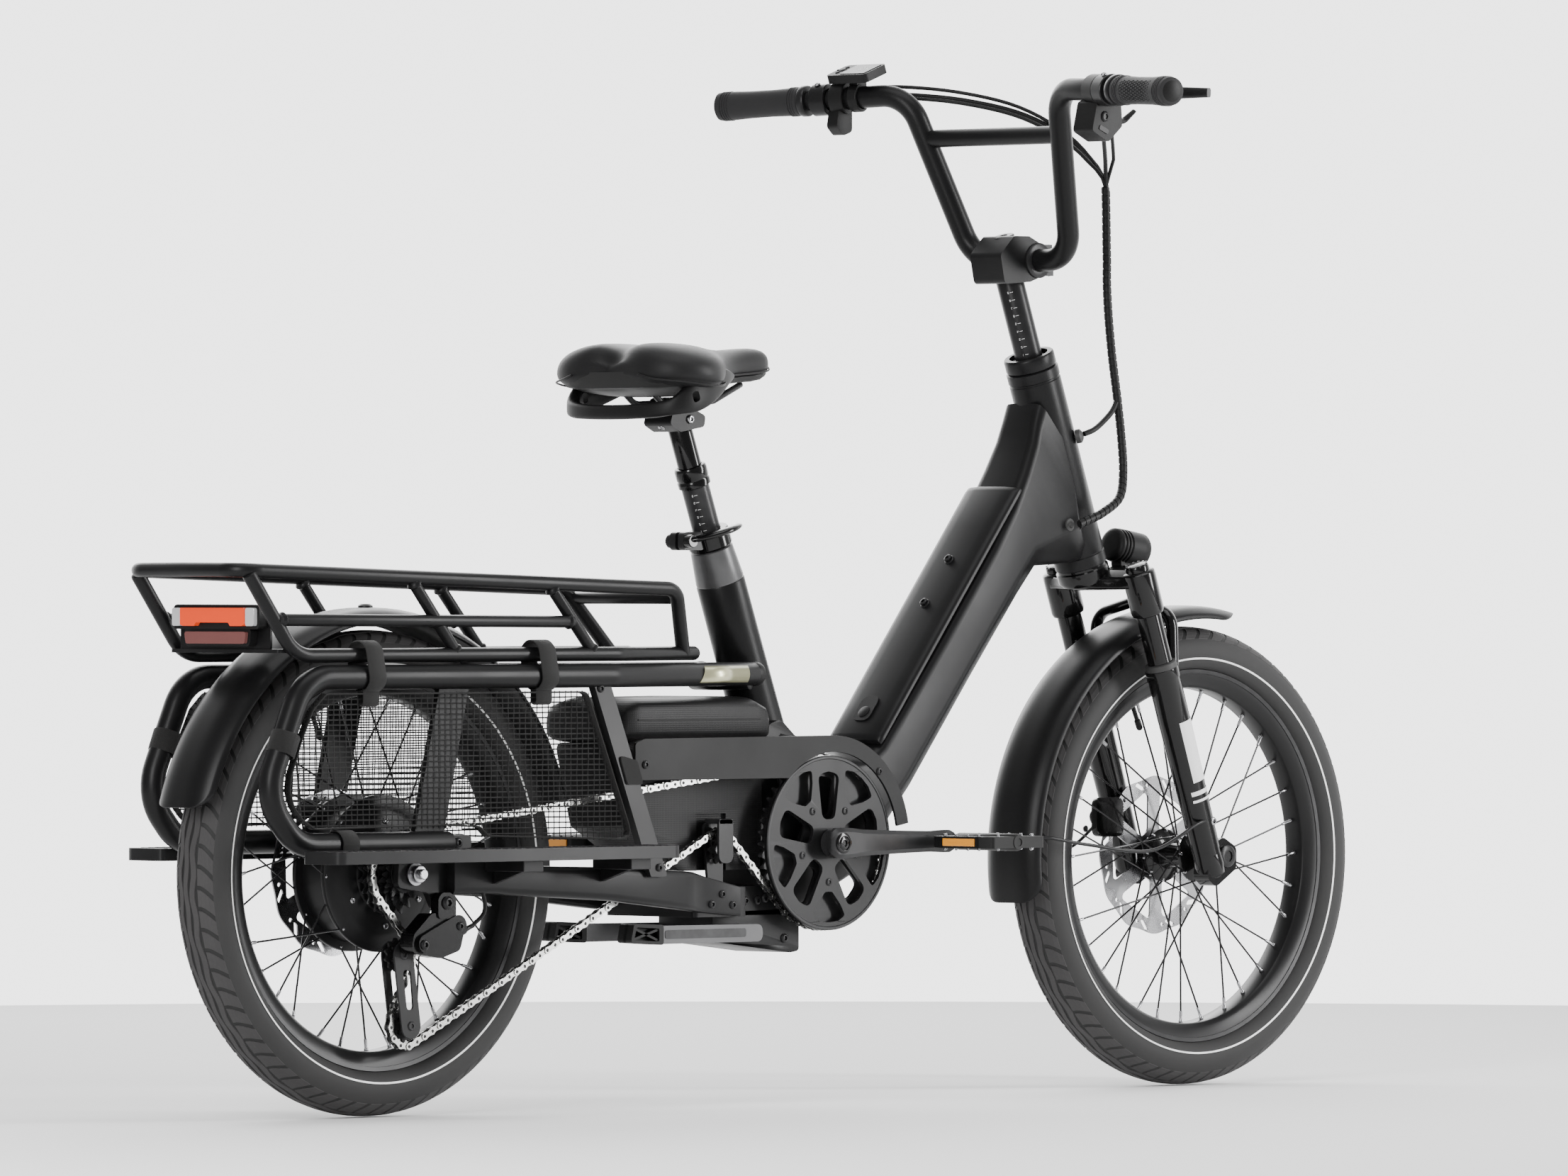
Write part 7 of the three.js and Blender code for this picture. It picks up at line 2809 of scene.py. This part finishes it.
# %% Seat posts and clamp
UP = -SEAT_DIR
keep(
    "upper_tube", turned([(12.6, 20), (13.2, 21), (13.2, 140), (12, 142)], SEAT_TOP, UP, 48), "upper_post",
    GLOSS, stands_for="seatpost_upper"
)
keep(
    "post_head",
    extruded(rounded([(436, 742), (452, 734), (488, 740), (490, 752), (470, 760), (440, 756)], 5), -21, 21),
    "upper_post", POWDER, bevel=2.2, segments=3
)
yokes = Parts()
for side in (-1, 1):
    yokes.add(tube([(450, side * 22, 765), (482, side * 22, 766.5)], 6.4, 20))
yokes.add(box(452, 480, -20, 20, 757, 766))
keep("rail_clamp", yokes, "upper_post", POWDER, bevel=0.8)
keep(
    "rail_clamp_bolts",
    Parts().add(bolt((444, 0, 740), (-0.3, 0, -1), 4.4, 3)).add(bolt((466, -21, 748), (0, -1, 0), 5, 3)).add(
        bolt((466, 21, 748), (0, 1, 0), 5, 3)
    ),
    "upper_post", STEEL
)
keep(
    "lower_tube", pipe([(15, -160), (15.5, -158), (15.5, 71)], 13.9, SEAT_TOP, UP, 48), "lower_post", ANODISED,
    stands_for="seatpost_lower"
)
keep(
    "post_collar",
    pipe(
        [
            (16.6, 71), (18, 72), (18.1, 78), (17.4, 79), (17.4, 80.5), (18.1, 81.5), (18.1, 91), (17, 94),
            (15, 94.6)
        ],
        13.8, SEAT_TOP, UP, 48
    ),
    "lower_post", GLOSS
)
keep(
    "seat_scale", scale_marks(SEAT_TOP, SEAT_DIR, 15.5, (-0.75, -0.66, -0.2), -64, 6, 8.2), "lower_post",
    MARKING, smooth=False
)
keep(
    "clamp_ring", pipe([(23, 0.6), (24.2, 1.6), (24.2, 18.6), (23, 19.8)], 16, SEAT_TOP, UP, 56), "frame",
    GLOSS, stands_for="seat_clamp"
)
ears = Parts()
for side in (-1, 1):
    ears.add(
        extruded(rounded([(466, 605), (498, 605), (498, 625), (466, 625)], 6), *sorted((side * 2.2, side * 11)))
    )
keep("clamp_ears", ears, "frame", ANODISED, bevel=1.4)
keep(
    "clamp_nut",
    Parts().add(
        turned(
            [(7, 0), (7.6, 1), (7.6, 7), (6.6, 8), (3.4, 8), (3.4, 10), (2, 10.6)], (474, 11, 615), (0, 1, 0),
            28
        )
    ),
    "frame", ANODISED
)
lever_path = smooth_path(
    [(470, -14, 616), (478, -24, 618), (492, -32, 622), (512, -35, 627), (528, -30, 631), (536, -22, 633)], 30
)
lever_scale = [0.75 + 0.45 * math.sin(math.pi * (0.15 + 0.7 * k / 29)) for k in range(30)]
lever = Parts().add(swept(lever_path, oval(3.2, 6.2, 18), scales=lever_scale))
lever.add(turned([(6.4, 0), (7.2, 1), (7.2, 9), (6.4, 10)], (471, -11.6, 615), (0, -1, 0), 28))
keep("quick_lever", lever, "clamp_lever", GLOSS, stands_for="seat_lever")
print("saddle and posts ready")

# %% [markdown]
# ## Stand
# The folded stand lies back under the chainstays: an axle across the frame, two grey alloy legs with a thin dark
# strip down each side as painted shade of a groove, and hollow black feet moulded with crossed ribs.

# %% Stand
PIVOT = (520, 188)
legs, leg_groove_shades, feet, foot_ribs = Parts(), Parts(), Parts(), Parts()
for side in (-1, 1):
    y = side * 60
    outline = rounded(
        [
            (PIVOT[0] + 12, PIVOT[1] - 10), (PIVOT[0] + 12, PIVOT[1] + 9), (PIVOT[0] - 150, PIVOT[1] + 10),
            (PIVOT[0] - 150, PIVOT[1] - 10)
        ],
        [9, 9, 2, 2]
    )
    legs.add(extruded(outline, y - 7.4, y + 7.4))
    outer = y + side * 7.4
    # No groove is cut: a thin dark strip on the leg's outer face is painted shade of a groove.
    leg_groove_shades.add(
        extruded(
            rounded(
                [
                    (PIVOT[0] - 138, PIVOT[1] - 4.6), (PIVOT[0] - 14, PIVOT[1] - 4.6),
                    (PIVOT[0] - 14, PIVOT[1] + 5), (PIVOT[0] - 138, PIVOT[1] + 5)
                ],
                3.4
            ),
            *sorted((outer - side * 0.4, outer + side * 0.5))
        )
    )
    foot = [
        (PIVOT[0] - 143, PIVOT[1] - 11), (PIVOT[0] - 143, PIVOT[1] + 11), (PIVOT[0] - 188, PIVOT[1] + 13),
        (PIVOT[0] - 193, PIVOT[1] - 8)
    ]
    window = rounded(
        [
            (PIVOT[0] - 150, PIVOT[1] - 7), (PIVOT[0] - 150, PIVOT[1] + 7), (PIVOT[0] - 184, PIVOT[1] + 9),
            (PIVOT[0] - 188, PIVOT[1] - 5)
        ],
        2.4
    )
    feet.add(extruded(rounded(foot, 4), y - 11, y + 11, [window]))
    feet.add(extruded(rounded(foot, 4), y - 2, y + 2))
    for a, b in (((-150, -6), (-187, 8)), ((-150, 6), (-190, -5))):
        start, end = Vector((PIVOT[0] + a[0], PIVOT[1] + a[1])), Vector((PIVOT[0] + b[0], PIVOT[1] + b[1]))
        n = (end - start).normalized()
        n = Vector((-n.y, n.x)) * 1.3
        foot_ribs.add(
            extruded([tuple(start + n), tuple(end + n), tuple(end - n), tuple(start - n)], y - 9.5, y + 9.5)
        )
keep("stand_legs", legs, "stand", GREY_ALLOY, stands_for="centre_stand", bevel=2, segments=3)
keep("stand_groove_shades", leg_groove_shades, "stand", ANODISED)
keep("stand_feet", feet, "stand", MOULDED, bevel=1)
keep("stand_foot_ribs", foot_ribs, "stand", MOULDED)
keep(
    "stand_axle", turned([(7, -60), (8, -59), (8, 59), (7, 60)], (PIVOT[0], 0, PIVOT[1]), (0, 1, 0), 32),
    "stand", ANODISED
)
print("stand ready")

# %% Finish
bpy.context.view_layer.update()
